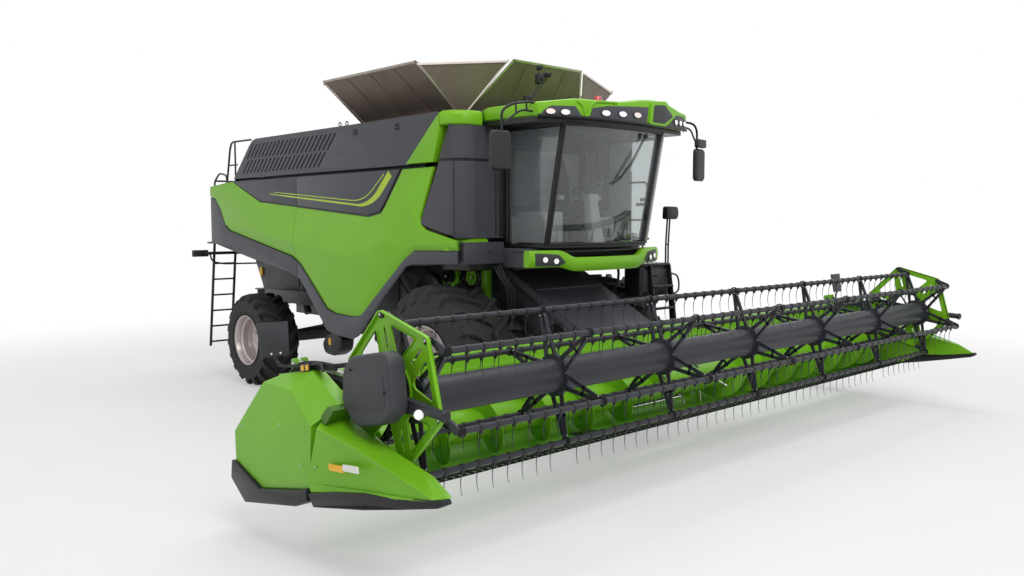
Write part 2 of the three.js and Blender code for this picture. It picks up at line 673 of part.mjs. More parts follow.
function rearLadder() {
  const floor = 2240;
  const xs = [-1580, -1200];
  const top = [5990, floor + 20];
  const foot = [6250, 480];
  const stiles = xs.map((x) => rod([x, ...top], [x, ...foot], 24, 6));
  const rungs = Array.from({ length: 6 }, (_, i) => {
    const z = 540 + i * 270;
    const y = foot[0] + ((top[0] - foot[0]) * (z - foot[1])) / (top[1] - foot[1]);
    return box(xs[0] - 5, xs[1] + 5, y - 30, y + 30, z, z + 28);
  });
  const step = box(xs[0] - 20, -700, REAR_HOOD.rear + GAP + 10, 6240, floor, floor + 30);
  const bracket = box(-760, -700, REAR_HOOD.rear + GAP, 6000, floor - 60, floor + 10);
  const onDeck = COVER.top + 6;
  const deckRail = bentRod(
    [
      [xs[0], 5960, floor + 20], [xs[0], 5930, 3300], [xs[0], 5740, 3400], [xs[0], 5500, 3370],
      [xs[0], 5460, onDeck + 40], [xs[0], 5340, 3790], [xs[0], 5260, 3880], [xs[0], 5160, 3880],
      [xs[0], 5160, onDeck],
    ],
    18,
  );
  const inner = bentRod([[xs[1], 5960, floor + 20], [xs[1], 5930, 3290], [xs[0], 5930, 3290]], 18);
  return join(...stiles, ...rungs, step, bracket, deckRail, inner);
}

// ---- Feeder house and its lift ----

function feederHouse() {
  const { pivotY, pivotZ, halfWidth, halfDepth, front, wall } = FEEDER;
  const along = [-Math.cos(FEEDER_SLOPE), -Math.sin(FEEDER_SLOPE)];
  const up = [-Math.sin(FEEDER_SLOPE), Math.cos(FEEDER_SLOPE)];
  const edgeAt = (offset, y) => {
    const start = [pivotY + up[0] * offset, pivotZ + up[1] * offset];
    return [y, start[1] + ((y - start[0]) * along[1]) / along[0]];
  };
  const section = (depth, y) => [
    edgeAt(-depth, y),
    ...arc(pivotY, pivotZ, depth, FEEDER_SLOPE - Math.PI / 2, FEEDER_SLOPE + Math.PI / 2, 5),
    edgeAt(depth, y),
  ];
  const duct = cut(
    alongX(section(halfDepth, front), -halfWidth, halfWidth),
    alongX(section(halfDepth - wall, front - 50), -halfWidth + wall, halfWidth - wall),
  );
  const lugs = [-1, 1].map((s) => {
    const x = s * (LIFT.x + 55);
    const [y, z] = levelled(LIFT.pinY, LIFT.pinZ);
    const root = wall / 2 - halfDepth;
    const ear = [[y - 60, z - 50], [y + 60, z - 50], edgeAt(root, y + 150), edgeAt(root, y - 150)];
    return alongX(ear, x - 12, x + 12);
  });
  return join(duct, ...lugs);
}

// A point of the carried header, back in its level place.
function levelled(y, z) {
  const dy = y - FEEDER.pivotY;
  const dz = z - FEEDER.pivotZ;
  const c = Math.cos(CARRY);
  const s = Math.sin(CARRY);
  return [FEEDER.pivotY + dy * c - dz * s, FEEDER.pivotZ + dz * c + dy * s];
}

// Both lift barrels are welded to one cross shaft, and so are both rods.
function liftCylinders() {
  const { pivotY, pivotZ, pinY, pinZ, x, bore, rod: rodRadius } = LIFT;
  const pivot = [0, pivotY, pivotZ];
  const length = Math.hypot(pinY - pivotY, pinZ - pivotZ);
  const at = (s, d) =>
    [s * x, pivotY + ((pinY - pivotY) * d) / length, pivotZ + ((pinZ - pivotZ) * d) / length];
  const barrel = (s) => cut(rod(at(s, 0), at(s, 800), 62, 12), rod(at(s, 80), at(s, 850), bore, 12));
  const plunger = (s) =>
    join(
      rod(at(s, 300), at(s, length), rodRadius, 12),
      rod(at(s, length), [s * (x + 36), pinY, pinZ], 44, 12),
    );
  const crossRod = rod([-x - 95, ...pivot.slice(1)], [x + 95, ...pivot.slice(1)], 36, 12);
  const barrels = join(crossRod, barrel(-1), barrel(1));
  const rods = join(rod([-x, pinY, pinZ], [x, pinY, pinZ], 30, 12), plunger(-1), plunger(1));
  return pivoted(
    "lift_barrel_swing",
    pivot,
    piece("lift_barrels", barrels, BLACK),
    pivoted("lift_rod_slide", [0, pinY, pinZ], piece("lift_rods", rods, STEEL)),
  );
}

// ---- Header ----

// The bent sheet from the knife through the auger's trough and up the back.
function headerSheet(halfWidth) {
  const { knife, back, top, sheet } = HEADER;
  const radius = back - INTAKE.y;
  const front = knife + 90;
  const bottom = INTAKE.z - radius;
  const bend = arc(INTAKE.y, INTAKE.z, radius, -Math.PI / 2, 0, 6).slice(1);
  const inner = [[front, bottom], [INTAKE.y, bottom], ...bend, [back, top]];
  const outer = [
    [back + sheet, top],
    ...arc(INTAKE.y, INTAKE.z, radius + sheet, 0, -Math.PI / 2, 6),
    [front, bottom - sheet],
  ];
  return alongX([...inner, ...outer], -halfWidth, halfWidth);
}

function headerFrame() {
  const { halfWidth, back, top, knife } = HEADER;
  const feeder = FEEDER.halfWidth - FEEDER.wall;
  const rear = FEEDER.front - 10;
  const beams = [
    box(-halfWidth, halfWidth, back + 5, rear, top - 100, top + 20),
    box(-halfWidth, halfWidth, back + 5, rear, 25, 105),
    ...[-4450, -2300, -feeder - 60, feeder + 60, 2300, 4450].map((x) =>
      box(x - 50, x + 50, back + 5, rear, 40, top),
    ),
  ];
  const skids = [-1, 1].map((s) =>
    alongX([[back - 30, 3], [-2500, 3], [-2500, 18], [back - 30, 60]], ...span(s, 1500, 1800)),
  );
  const endSheet = [
    [rear, 30], [rear, top + 20], [-1900, top + 20], [-2390, 620], [-2950, 270], [-2950, 110], [knife + 60, 14],
  ];
  const sheets = [-1, 1].map((s) => alongX(endSheet, ...span(s, halfWidth - 12, halfWidth)));
  const posts = [-1, 1].flatMap((s) =>
    [REEL_ARM.inner - 18, REEL_ARM.outer + 6].map((x) =>
      box(...span(s, x, x + 12), REEL_ARM.pivotY - 60, rear, top - 20, REEL_ARM.pivotZ + 50),
    ),
  );
  const mouth = box(-feeder, feeder, back - 40, rear + 50, 130, 760);
  return cut(join(headerSheet(halfWidth), ...beams, ...skids, ...sheets, ...posts), mouth);
}

// The cutterbar's rail with a row of pointed guards.
function cutterbar() {
  const { halfWidth, knife } = HEADER;
  const reach = halfWidth - 12 - GAP;
  const section = [[knife + 60, 12], [knife + 90 - GAP, 12], [knife + 90 - GAP, 42], [knife + 50, 42]];
  const rail = alongX(section, -reach, reach);
  const pitch = 457;
  const count = Math.floor((2 * reach) / pitch);
  const guards = Array.from({ length: count }, (_, i) => {
    const x = (i - (count - 1) / 2) * pitch;
    return alongX([[knife, 28], [knife + 62, 14], [knife + 62, 40], [knife + 10, 34]], x - 150, x + 150);
  });
  return join(rail, ...guards);
}

// An end shield with its long crop divider, which tapers forwards to a tip.
function endShield(side) {
  const { inner, outer, tip } = SHIELD;
  const body = [
    [-1100, 300], [-1164, 574], [-1484, 772], [-1691, 968], [-1930, 1000], [-2258, 960], [-2395, 702],
    [-2636, 629], [-2854, 479], [tip, 82], [tip, 24], [-3213, 10], [-2341, 6], [-1251, 6],
  ];
  const blank = alongX(body, inner, outer);
  const position = blank.attributes.position;
  for (let i = 0; i < position.count; i += 1) {
    const forward = Math.max(0, (-2395 - position.getY(i)) / (-2395 - tip));
    if (position.getX(i) > inner + 1) position.setX(i, outer - forward * (outer - inner - 60));
    else position.setX(i, inner - 25 * forward);
  }
  return piece("end_shield_" + side, blank, GREEN);
}

// One flight: a bar on the core, drawn along the header and wound round it.
function flight(x0, x1, hand) {
  const { core, flight: radius, pitch } = INTAKE;
  const steps = Math.round(((x1 - x0) / pitch) * FLIGHT_STEPS);
  const section = [[core - 20, -14], [radius, -14], [radius, 14], [core - 20, 14]];
  const bar = new THREE.ExtrudeGeometry(outline(section), {
    depth: x1 - x0,
    steps,
    bevelEnabled: false,
  });
  const p = bar.attributes.position;
  for (let i = 0; i < p.count; i += 1) {
    const turn = (hand * 2 * Math.PI * p.getZ(i)) / pitch;
    const [u, v] = [p.getX(i), p.getY(i)];
    p.setXYZ(i, u * Math.cos(turn) - v * Math.sin(turn), u * Math.sin(turn) + v * Math.cos(turn), p.getZ(i));
  }
  return bar.applyMatrix4(basis([0, 1, 0], [0, 0, 1], [1, 0, 0])).translate(x0, 0, 0);
}

function intakeAuger() {
  const half = HEADER.halfWidth - 12 - CLEAR;
  const flights = [flight(-half + 20, -620, 1), flight(620, half - 20, -1)];
  const tube = rod([-half, 0, 0], [half, 0, 0], INTAKE.core, FLIGHT_STEPS);
  const shape = join(tube, ...flights).translate(0, INTAKE.y, INTAKE.z);
  return pivoted("intake_auger_spin", [0, INTAKE.y, INTAKE.z], piece("intake_auger", shape, GREEN));
}

// ---- Reel ----

const reelHalf = (REEL.bays * REEL.bay) / 2;
const batAngle = (i) => THREE.MathUtils.degToRad(BAT.firstAngle + (360 * i) / REEL.bats);

// A point at an angle from straight up, turning towards the rear.
const around = (radius, angle, y = 0, z = 0) => [y + radius * Math.sin(angle), z + radius * Math.cos(angle)];

// One spider: tapered flat arms out to the bats.
function spider(x) {
  const reach = REEL.radius - BAT.tube - 14;
  const points = Array.from({ length: REEL.bats }, (_, i) => {
    const a = batAngle(i);
    const wide = 0.3;
    const root = REEL.tube + 30;
    return [around(root, a - wide), around(reach, a - 0.045), around(reach, a + 0.045), around(root, a + wide)];
  }).flat();
  return alongX(points.reverse(), x - 6, x + 6);
}

function reelCore() {
  const stations = Array.from({ length: REEL.bays + 1 }, (_, i) => -reelHalf + i * REEL.bay);
  const end = REEL_ARM.inner - 6;
  const shape = join(
    rod([-reelHalf, 0, 0], [reelHalf, 0, 0], REEL.tube, 12),
    rod([-end, 0, 0], [end, 0, 0], 40, 8),
    ...stations.map(spider),
  ).translate(0, REEL.y, REEL.z);
  return piece("reel_core", shape, DARK);
}

// A bat: a tube along its hinge line with hanging tines, and a crank at each end.
function bat(i) {
  const [y, z] = around(REEL.radius, batAngle(i), REEL.y, REEL.z);
  const crankX = reelHalf + 6 + CRANK.gap;
  const tube = rod([-crankX, 0, 0], [crankX, 0, 0], BAT.tube, 6);
  const count = Math.floor((2 * reelHalf - 60) / BAT.tinePitch);
  const tines = Array.from({ length: count }, (_, k) => {
    const x = (k - (count - 1) / 2) * BAT.tinePitch;
    return new THREE.ConeGeometry(9, BAT.tine, 3).rotateX(CARRY - Math.PI / 2).translate(
      x,
      Math.sin(CARRY) * (BAT.tine / 2),
      -Math.cos(CARRY) * (BAT.tine / 2),
    );
  });
  const crank = [[-30, 22], [CRANK.y - 14, CRANK.z + 28], [CRANK.y + 24, CRANK.z], [22, -30]];
  const cranks = [-1, 1].map((s) => alongX(crank, ...span(s, crankX, crankX + CRANK.thickness)));
  const shape = join(tube, ...tines, ...cranks).translate(0, y, z);
  return pivoted("bat_" + (i + 1) + "_hinge", [0, y, z], piece("bat_" + (i + 1), shape, DARK));
}

// The eccentric control plate: a six-cornered ring with a window between each pair of spokes.
function controlPlate(side) {
  const centre = [REEL.y + CRANK.y, REEL.z + CRANK.z];
  const rim = Array.from({ length: REEL.bats }, (_, i) => around(PLATE.radius + 30, batAngle(i)));
  const blank = outline(rim.reverse());
  blank.holes.push(outline(arc(0, 0, PLATE.hole, 0, 2 * Math.PI, 18).slice(0, 18)));
  for (let i = 0; i < REEL.bats; i += 1) {
    const mid = batAngle(i) + Math.PI / REEL.bats;
    const window = [
      around(250, mid - 0.02), around(250, mid + 0.02), around(445, mid + 0.3), around(445, mid - 0.3),
    ];
    blank.holes.push(outline(window));
  }
  const x = reelHalf + 6 + CRANK.gap + CRANK.thickness + 14;
  const shape = extrude(blank, PLATE.thickness)
    .applyMatrix4(basis([0, 1, 0], [0, 0, 1], [1, 0, 0]))
    .translate(x, ...centre);
  return pivoted("control_plate_turn_" + side, [x, ...centre], piece("control_plate_" + side, shape, GREEN));
}

// A reel arm from its pivot on the back beam to its tip, with the bearing block of the reel's shaft.
function reelArm(side) {
  const { inner, outer, pivotY, pivotZ, tipY, tipZ } = REEL_ARM;
  const bar = [
    [pivotY + 45, pivotZ + 30], [tipY, tipZ + 35], [tipY, tipZ - 30], [REEL.y, REEL.z - 75],
    [pivotY + 45, pivotZ - 45],
  ];
  const pieces = [alongX(bar, inner, outer)];
  if (side === "right") {
    const cover = [
      [-3240, 640], [-3200, 560], [-2850, 560], [-2700, 760], [-2700, 1040], [-2780, 1100], [-3160, 1100],
      [-3240, 1020],
    ];
    pieces.push(alongX(cover, outer - 2, SHIELD.inner + 100));
  }
  return piece("reel_arm_" + side, join(...pieces), DARK);
}

function reel() {
  const bats = Array.from({ length: REEL.bats }, (_, i) => bat(i));
  const spin = pivoted("reel_spin", [0, REEL.y, REEL.z], reelCore(), ...bats);
  return pivoted(
    "reel_lift",
    [0, REEL_ARM.pivotY, REEL_ARM.pivotZ],
    reelArm("left"),
    mirrored(reelArm("right")),
    spin,
    controlPlate("left"),
    mirrored(controlPlate("right")),
  );
}

// ---- The whole machine ----

function header() {
  const lift = pivoted(
    "feeder_lift",
    [0, FEEDER.pivotY, FEEDER.pivotZ],
    piece("feeder_house", feederHouse(), DARK),
    piece("header_frame", headerFrame(), GREEN),
    piece("cutterbar", cutterbar(), BLACK),
    ...bothSides(endShield),
    intakeAuger(),
    reel(),
  );
  lift.rotation.x = -CARRY;
  return lift;
}

const cab = () => [
  piece("cab_frame", cabFrame(), BLACK),
  piece("cab_roof", cabRoof(), GREEN),
  piece("windscreen", windscreen(), GLAZING),
  piece("side_glass", sideGlass(), GLAZING),
  piece("cab_apron", cabApron(), GREEN),
  piece("cab_seat", cabSeat(), SEAT),
  piece("steering_column", steeringColumn(), BLACK),
  piece("access_platform", accessPlatform(), BLACK),
  cabDoor(),
];

const tank = () => [
  piece("grain_tank", grainTank(), TANK_STEEL),
  ...bothSides(sidePanel),
  endPanel("front", TANK.front - TANK.wall / 2, -1),
  endPanel("rear", TANK.rear + TANK.wall / 2, 1),
  unloadingAuger(),
];

const machine = new THREE.Group();
machine.add(
  piece("main_frame", mainFrame(), DARK),
  piece("front_axle", frontAxle(), BLACK),
  ...bothSides((side) => wheel("front", side, FRONT_WHEEL, 0)),
  ...rearAxle(),
  piece("separator_body", separatorBody(), DARK),
  piece("engine", box(-480, 480, TANK.rear + 430, 3900, BODY.top + 110, HOOD.top - 380), BLACK),
  piece("rear_hood", rearHood(), DARK),
  piece("engine_hood", engineHood(), DARK),
  ...bothSides(shoulder),
  ...bothSides((side) => sideCover("front_cover", side, FRONT_COVER)),
  ...bothSides((side) => sideCover("rear_cover", side, REAR_COVER)),
  piece("rear_ladder", rearLadder(), BLACK),
  ...tank(),
  ...cab(),
  liftCylinders(),
  header(),
);

const group = new THREE.Group().add(machine);
group.updateMatrixWorld(true);
const extent = new THREE.Box3().setFromObject(group, true);
machine.position.y = -(extent.min.y + extent.max.y) / 2;
machine.position.x = -(extent.min.x + extent.max.x) / 2;

export default group;
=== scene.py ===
# Looks of the combine harvester: every surface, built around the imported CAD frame.
# Two working frames, both in metres. MACHINE has y = 0 at the front axle and z = 0 at the ground.
# HEADER is the same for the header drawn level, then carried nose up as the feeder house carries it.
import json
import math

import bmesh
import bpy
from mathutils import Matrix, Vector

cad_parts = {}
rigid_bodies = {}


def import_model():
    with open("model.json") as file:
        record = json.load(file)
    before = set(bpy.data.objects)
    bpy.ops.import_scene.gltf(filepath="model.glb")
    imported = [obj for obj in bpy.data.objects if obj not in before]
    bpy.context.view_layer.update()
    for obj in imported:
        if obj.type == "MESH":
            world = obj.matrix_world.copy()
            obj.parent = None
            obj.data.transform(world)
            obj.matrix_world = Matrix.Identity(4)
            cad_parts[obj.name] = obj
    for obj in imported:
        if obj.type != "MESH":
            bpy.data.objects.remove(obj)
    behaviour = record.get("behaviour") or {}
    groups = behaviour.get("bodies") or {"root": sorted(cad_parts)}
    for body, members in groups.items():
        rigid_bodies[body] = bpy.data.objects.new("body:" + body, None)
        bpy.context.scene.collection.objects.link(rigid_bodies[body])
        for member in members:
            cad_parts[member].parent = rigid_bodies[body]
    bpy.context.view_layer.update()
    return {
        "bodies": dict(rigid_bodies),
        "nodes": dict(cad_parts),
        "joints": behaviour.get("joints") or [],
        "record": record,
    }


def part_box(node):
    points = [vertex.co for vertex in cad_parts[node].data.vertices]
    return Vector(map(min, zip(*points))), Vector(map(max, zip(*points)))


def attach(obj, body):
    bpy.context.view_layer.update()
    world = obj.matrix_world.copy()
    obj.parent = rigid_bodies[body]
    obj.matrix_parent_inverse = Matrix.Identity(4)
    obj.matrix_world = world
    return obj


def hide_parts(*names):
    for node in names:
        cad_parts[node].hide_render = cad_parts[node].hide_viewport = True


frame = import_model()


# ---- Frames taken from the CAD ----

def middle(node):
    lo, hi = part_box(node)
    return (lo + hi) / 2


AXLE_Y = middle("front_tyre_right").y
FEEDER_PIVOT = Vector((0, 0.3, 2.0))
CARRY = math.radians(10)
MACHINE = Matrix.Translation((0, AXLE_Y, 0))
HEADER = (MACHINE @ Matrix.Translation(FEEDER_PIVOT) @ Matrix.Rotation(-CARRY, 4, "X")
          @ Matrix.Translation(-FEEDER_PIVOT))
PLUMB = HEADER.to_3x3().inverted() @ Vector((0, 0, -1))
SIDES = {"left": 1, "right": -1}


# ---- Materials ----

class Nodes:
    """A short hand for building one material's node tree."""

    def __init__(self, name):
        self.material = bpy.data.materials.new(name)
        self.material.use_nodes = True
        self.tree = self.material.node_tree
        self.shader = self.tree.nodes["Principled BSDF"]
        self.place = self.tree.nodes.new("ShaderNodeTexCoord").outputs["Object"]

    def node(self, kind, **settings):
        made = self.tree.nodes.new("ShaderNode" + kind)
        for key, value in settings.items():
            if hasattr(made, key):
                setattr(made, key, value)
            else:
                made.inputs[key].default_value = value
        return made

    def link(self, source, target):
        self.tree.links.new(source, target)

    def stretched(self, scale):
        mapping = self.node("Mapping")
        mapping.inputs["Scale"].default_value = scale
        self.link(self.place, mapping.inputs["Vector"])
        return mapping.outputs[0]

    def noise(self, scale, detail=4.0, rough=0.55, stretch=None):
        made = self.node("TexNoise", Scale=scale, Detail=detail, Roughness=rough)
        self.link(self.stretched(stretch) if stretch else self.place, made.inputs["Vector"])
        return made.outputs["Fac"]

    def ramp(self, fac, low, high, start=0.3, end=0.7):
        made = self.node("ValToRGB")
        made.color_ramp.elements[0].position = start
        made.color_ramp.elements[0].color = low
        made.color_ramp.elements[1].position = end
        made.color_ramp.elements[1].color = high
        self.link(fac, made.inputs["Fac"])
        return made.outputs["Color"]

    def spread(self, fac, low, high):
        made = self.node("MapRange")
        made.inputs["To Min"].default_value = low
        made.inputs["To Max"].default_value = high
        self.link(fac, made.inputs["Value"])
        return made.outputs["Result"]

    def bump(self, height, strength, distance):
        made = self.node("Bump", Strength=strength, Distance=distance)
        self.link(height, made.inputs["Height"])
        self.link(made.outputs["Normal"], self.shader.inputs["Normal"])


def linear(r, g, b):
    """An sRGB colour of 0 to 255 as linear light."""
    return tuple(((c / 255 + 0.055) / 1.055) ** 2.4 if c > 10 else c / 255 / 12.92
                 for c in (r, g, b)) + (1,)


def shade(colour, times):
    return tuple(min(1, c * times) for c in colour[:3]) + (1,)


def paint(name, colour, rough=0.34, vary=0.06, metallic=0.0, coat=0.25):
    """Sprayed paint: slight mottling, fine orange peel, dust that dulls the gloss."""
    m = Nodes(name)
    base = linear(*colour)
    m.link(m.ramp(m.noise(2.3, 5), shade(base, 1 - vary), shade(base, 1 + vary)),
           m.shader.inputs["Base Color"])
    m.link(m.spread(m.noise(5.5, 6, 0.65), rough - 0.07, rough + 0.1), m.shader.inputs["Roughness"])
    m.shader.inputs["Metallic"].default_value = metallic
    m.shader.inputs["Coat Weight"].default_value = coat
    m.shader.inputs["Coat Roughness"].default_value = 0.12
    m.shader.inputs["Specular IOR Level"].default_value = 0.3
    m.bump(m.noise(420, 2), 0.06, 0.001)
    return m.material


def plastic(name, colour, rough=0.55, grain=0.15):
    """Moulded plastic with a fine leather-like grain."""
    m = Nodes(name)
    base = linear(*colour)
    m.link(m.ramp(m.noise(3, 4), shade(base, 0.88), shade(base, 1.12)), m.shader.inputs["Base Color"])
    m.link(m.spread(m.noise(9, 5), rough - 0.06, rough + 0.08), m.shader.inputs["Roughness"])
    cells = m.node("TexVoronoi", Scale=520.0)
    m.link(m.place, cells.inputs["Vector"])
    m.bump(cells.outputs["Distance"], grain, 0.0006)
    return m.material


def metal(name, colour, rough=0.3, stretch=(1, 1, 30), metallic=0.9):
    """Bare or galvanised metal, brushed along one way."""
    m = Nodes(name)
    base = linear(*colour)
    m.link(m.ramp(m.noise(3.2, 6, 0.6), shade(base, 0.82), shade(base, 1.1)), m.shader.inputs["Base Color"])
    m.link(m.spread(m.noise(40, 4, 0.6, stretch), rough - 0.08, rough + 0.14), m.shader.inputs["Roughness"])
    m.shader.inputs["Metallic"].default_value = metallic
    m.bump(m.noise(90, 3, 0.5, stretch), 0.05, 0.0008)
    return m.material


def rubber(name, colour):
    m = Nodes(name)
    base = linear(*colour)
    m.link(m.ramp(m.noise(7, 6, 0.7), shade(base, 0.75), shade(base, 1.45)), m.shader.inputs["Base Color"])
    m.link(m.spread(m.noise(14, 4), 0.62, 0.85), m.shader.inputs["Roughness"])
    m.bump(m.noise(260, 3), 0.22, 0.001)
    return m.material


def cloth(name, colour):
    """Woven seat cloth: two crossed sets of ribs."""
    m = Nodes(name)
    base = linear(*colour)
    ribs = []
    for axis in ("X", "Z"):
        wave = m.node("TexWave", bands_direction=axis, Scale=210.0, Distortion=0.6)
        m.link(m.place, wave.inputs["Vector"])
        ribs.append(wave.outputs["Fac"])
    weave = m.node("Math", operation="MULTIPLY")
    m.link(ribs[0], weave.inputs[0])
    m.link(ribs[1], weave.inputs[1])
    m.link(m.ramp(weave.outputs[0], shade(base, 0.7), shade(base, 1.3), 0.1, 0.8),
           m.shader.inputs["Base Color"])
    m.link(m.spread(m.noise(25, 4), 0.82, 0.95), m.shader.inputs["Roughness"])
    m.shader.inputs["Sheen Weight"].default_value = 0.25
    m.bump(weave.outputs[0], 0.35, 0.001)
    return m.material


def glazing(name, tint, density):
    """Thin window glass: see-through with a faint smoky film and more sheen at grazing angles."""
    m = Nodes(name)
    clear = m.node("BsdfTransparent")
    clear.inputs["Color"].default_value = linear(*tint)
    film = m.spread(m.noise(1.4, 4, 0.5), density * 0.7, density * 1.3)
    mix = m.node("MixShader")
    m.link(film, mix.inputs[0])
    m.link(clear.outputs[0], mix.inputs[1])
    m.link(m.shader.outputs[0], mix.inputs[2])
    m.shader.inputs["Base Color"].default_value = linear(168, 172, 176)
    m.shader.inputs["Roughness"].default_value = 0.08
    gloss = m.node("BsdfGlossy", Roughness=0.03)
    facing = m.node("LayerWeight", Blend=0.3)
    top = m.node("MixShader")
    m.link(m.spread(facing.outputs["Facing"], 0.02, 0.3), top.inputs[0])
    m.link(mix.outputs[0], top.inputs[1])
    m.link(gloss.outputs[0], top.inputs[2])
    m.link(top.outputs[0], m.tree.nodes["Material Output"].inputs["Surface"])
    return m.material


def lens(name, colour, painted_glow):
    """A lamp's ribbed lens, whose emission is a painted highlight standing in for the studio light that it
    catches.
    """
    m = Nodes(name)
    base = linear(*colour)
    wave = m.node("TexWave", bands_direction="X", Scale=60.0)
    m.link(m.place, wave.inputs["Vector"])
    m.link(m.ramp(wave.outputs["Fac"], shade(base, 0.86), base), m.shader.inputs["Base Color"])
    m.link(m.spread(m.noise(12, 3), 0.04, 0.12), m.shader.inputs["Roughness"])
    m.shader.inputs["Emission Color"].default_value = base
    m.shader.inputs["Emission Strength"].default_value = painted_glow
    m.shader.inputs["Coat Weight"].default_value = 1.0
    m.bump(wave.outputs["Fac"], 0.2, 0.001)
    return m.material


GREEN = paint("green_paint", (126, 192, 32), 0.38, 0.035, coat=0.1)
GREEN_DEEP = paint("green_paint_header", (120, 186, 30), 0.38, 0.05, coat=0.12)
DARK = paint("dark_grey_paint", (72, 73, 80), 0.4, 0.05, coat=0.08)
REEL_DARK = paint("reel_paint", (50, 51, 58), 0.42, 0.08, coat=0.05)
BLACK = paint("black_paint", (26, 26, 29), 0.42, 0.12, coat=0.15)
CHARCOAL = plastic("charcoal_plastic", (52, 53, 58))
TRIM = plastic("black_plastic", (24, 24, 26), 0.5)
# A darker green for the shields' recessed groove: painted shade.
GREEN_SHADE = paint("green_painted_groove_shade", (66, 112, 16), 0.5, 0.08)
LIME = paint("lime_stripe", (182, 214, 42), 0.3, 0.03)
AMBER = paint("amber_film", (250, 190, 20), 0.3, 0.03)
WHITE = paint("white_film", (240, 240, 238), 0.3, 0.02)
RIM = paint("rim_silver", (196, 186, 184), 0.34, 0.05, metallic=0.35)
CREAM = plastic("cab_lining", (196, 194, 190), 0.6)
STEEL = metal("bright_steel", (190, 190, 188), 0.26)
FLOOR_STEEL = metal("bare_floor_sheet", (214, 212, 208), 0.34, (20, 1, 1))
TANK_STEEL = metal("tank_sheet", (128, 114, 104), 0.5, (1, 1, 12), metallic=0.35)
FLANGE = metal("tank_flange", (206, 196, 190), 0.36)
RUBBER = rubber("tyre_rubber", (27, 27, 28))
HOSE = rubber("hose_rubber", (22, 22, 24))
SEAT = cloth("seat_cloth", (46, 48, 52))
GLASS = glazing("cab_glass", (240, 243, 243), 0.07)
GLASS_SIDE = glazing("cab_side_glass", (236, 240, 242), 0.28)
# The lenses' emission is a painted highlight, not lamps that are switched on.
LAMP = lens("lamp_lens", (245, 246, 248), 0.35)
LAMP_WARM = lens("lamp_lens_warm", (250, 232, 224), 0.25)
RED = lens("beacon_lens", (205, 30, 32), 0.15)
MIRROR_GLASS = metal("mirror_glass", (210, 214, 218), 0.12)


# ---- Shapes ----

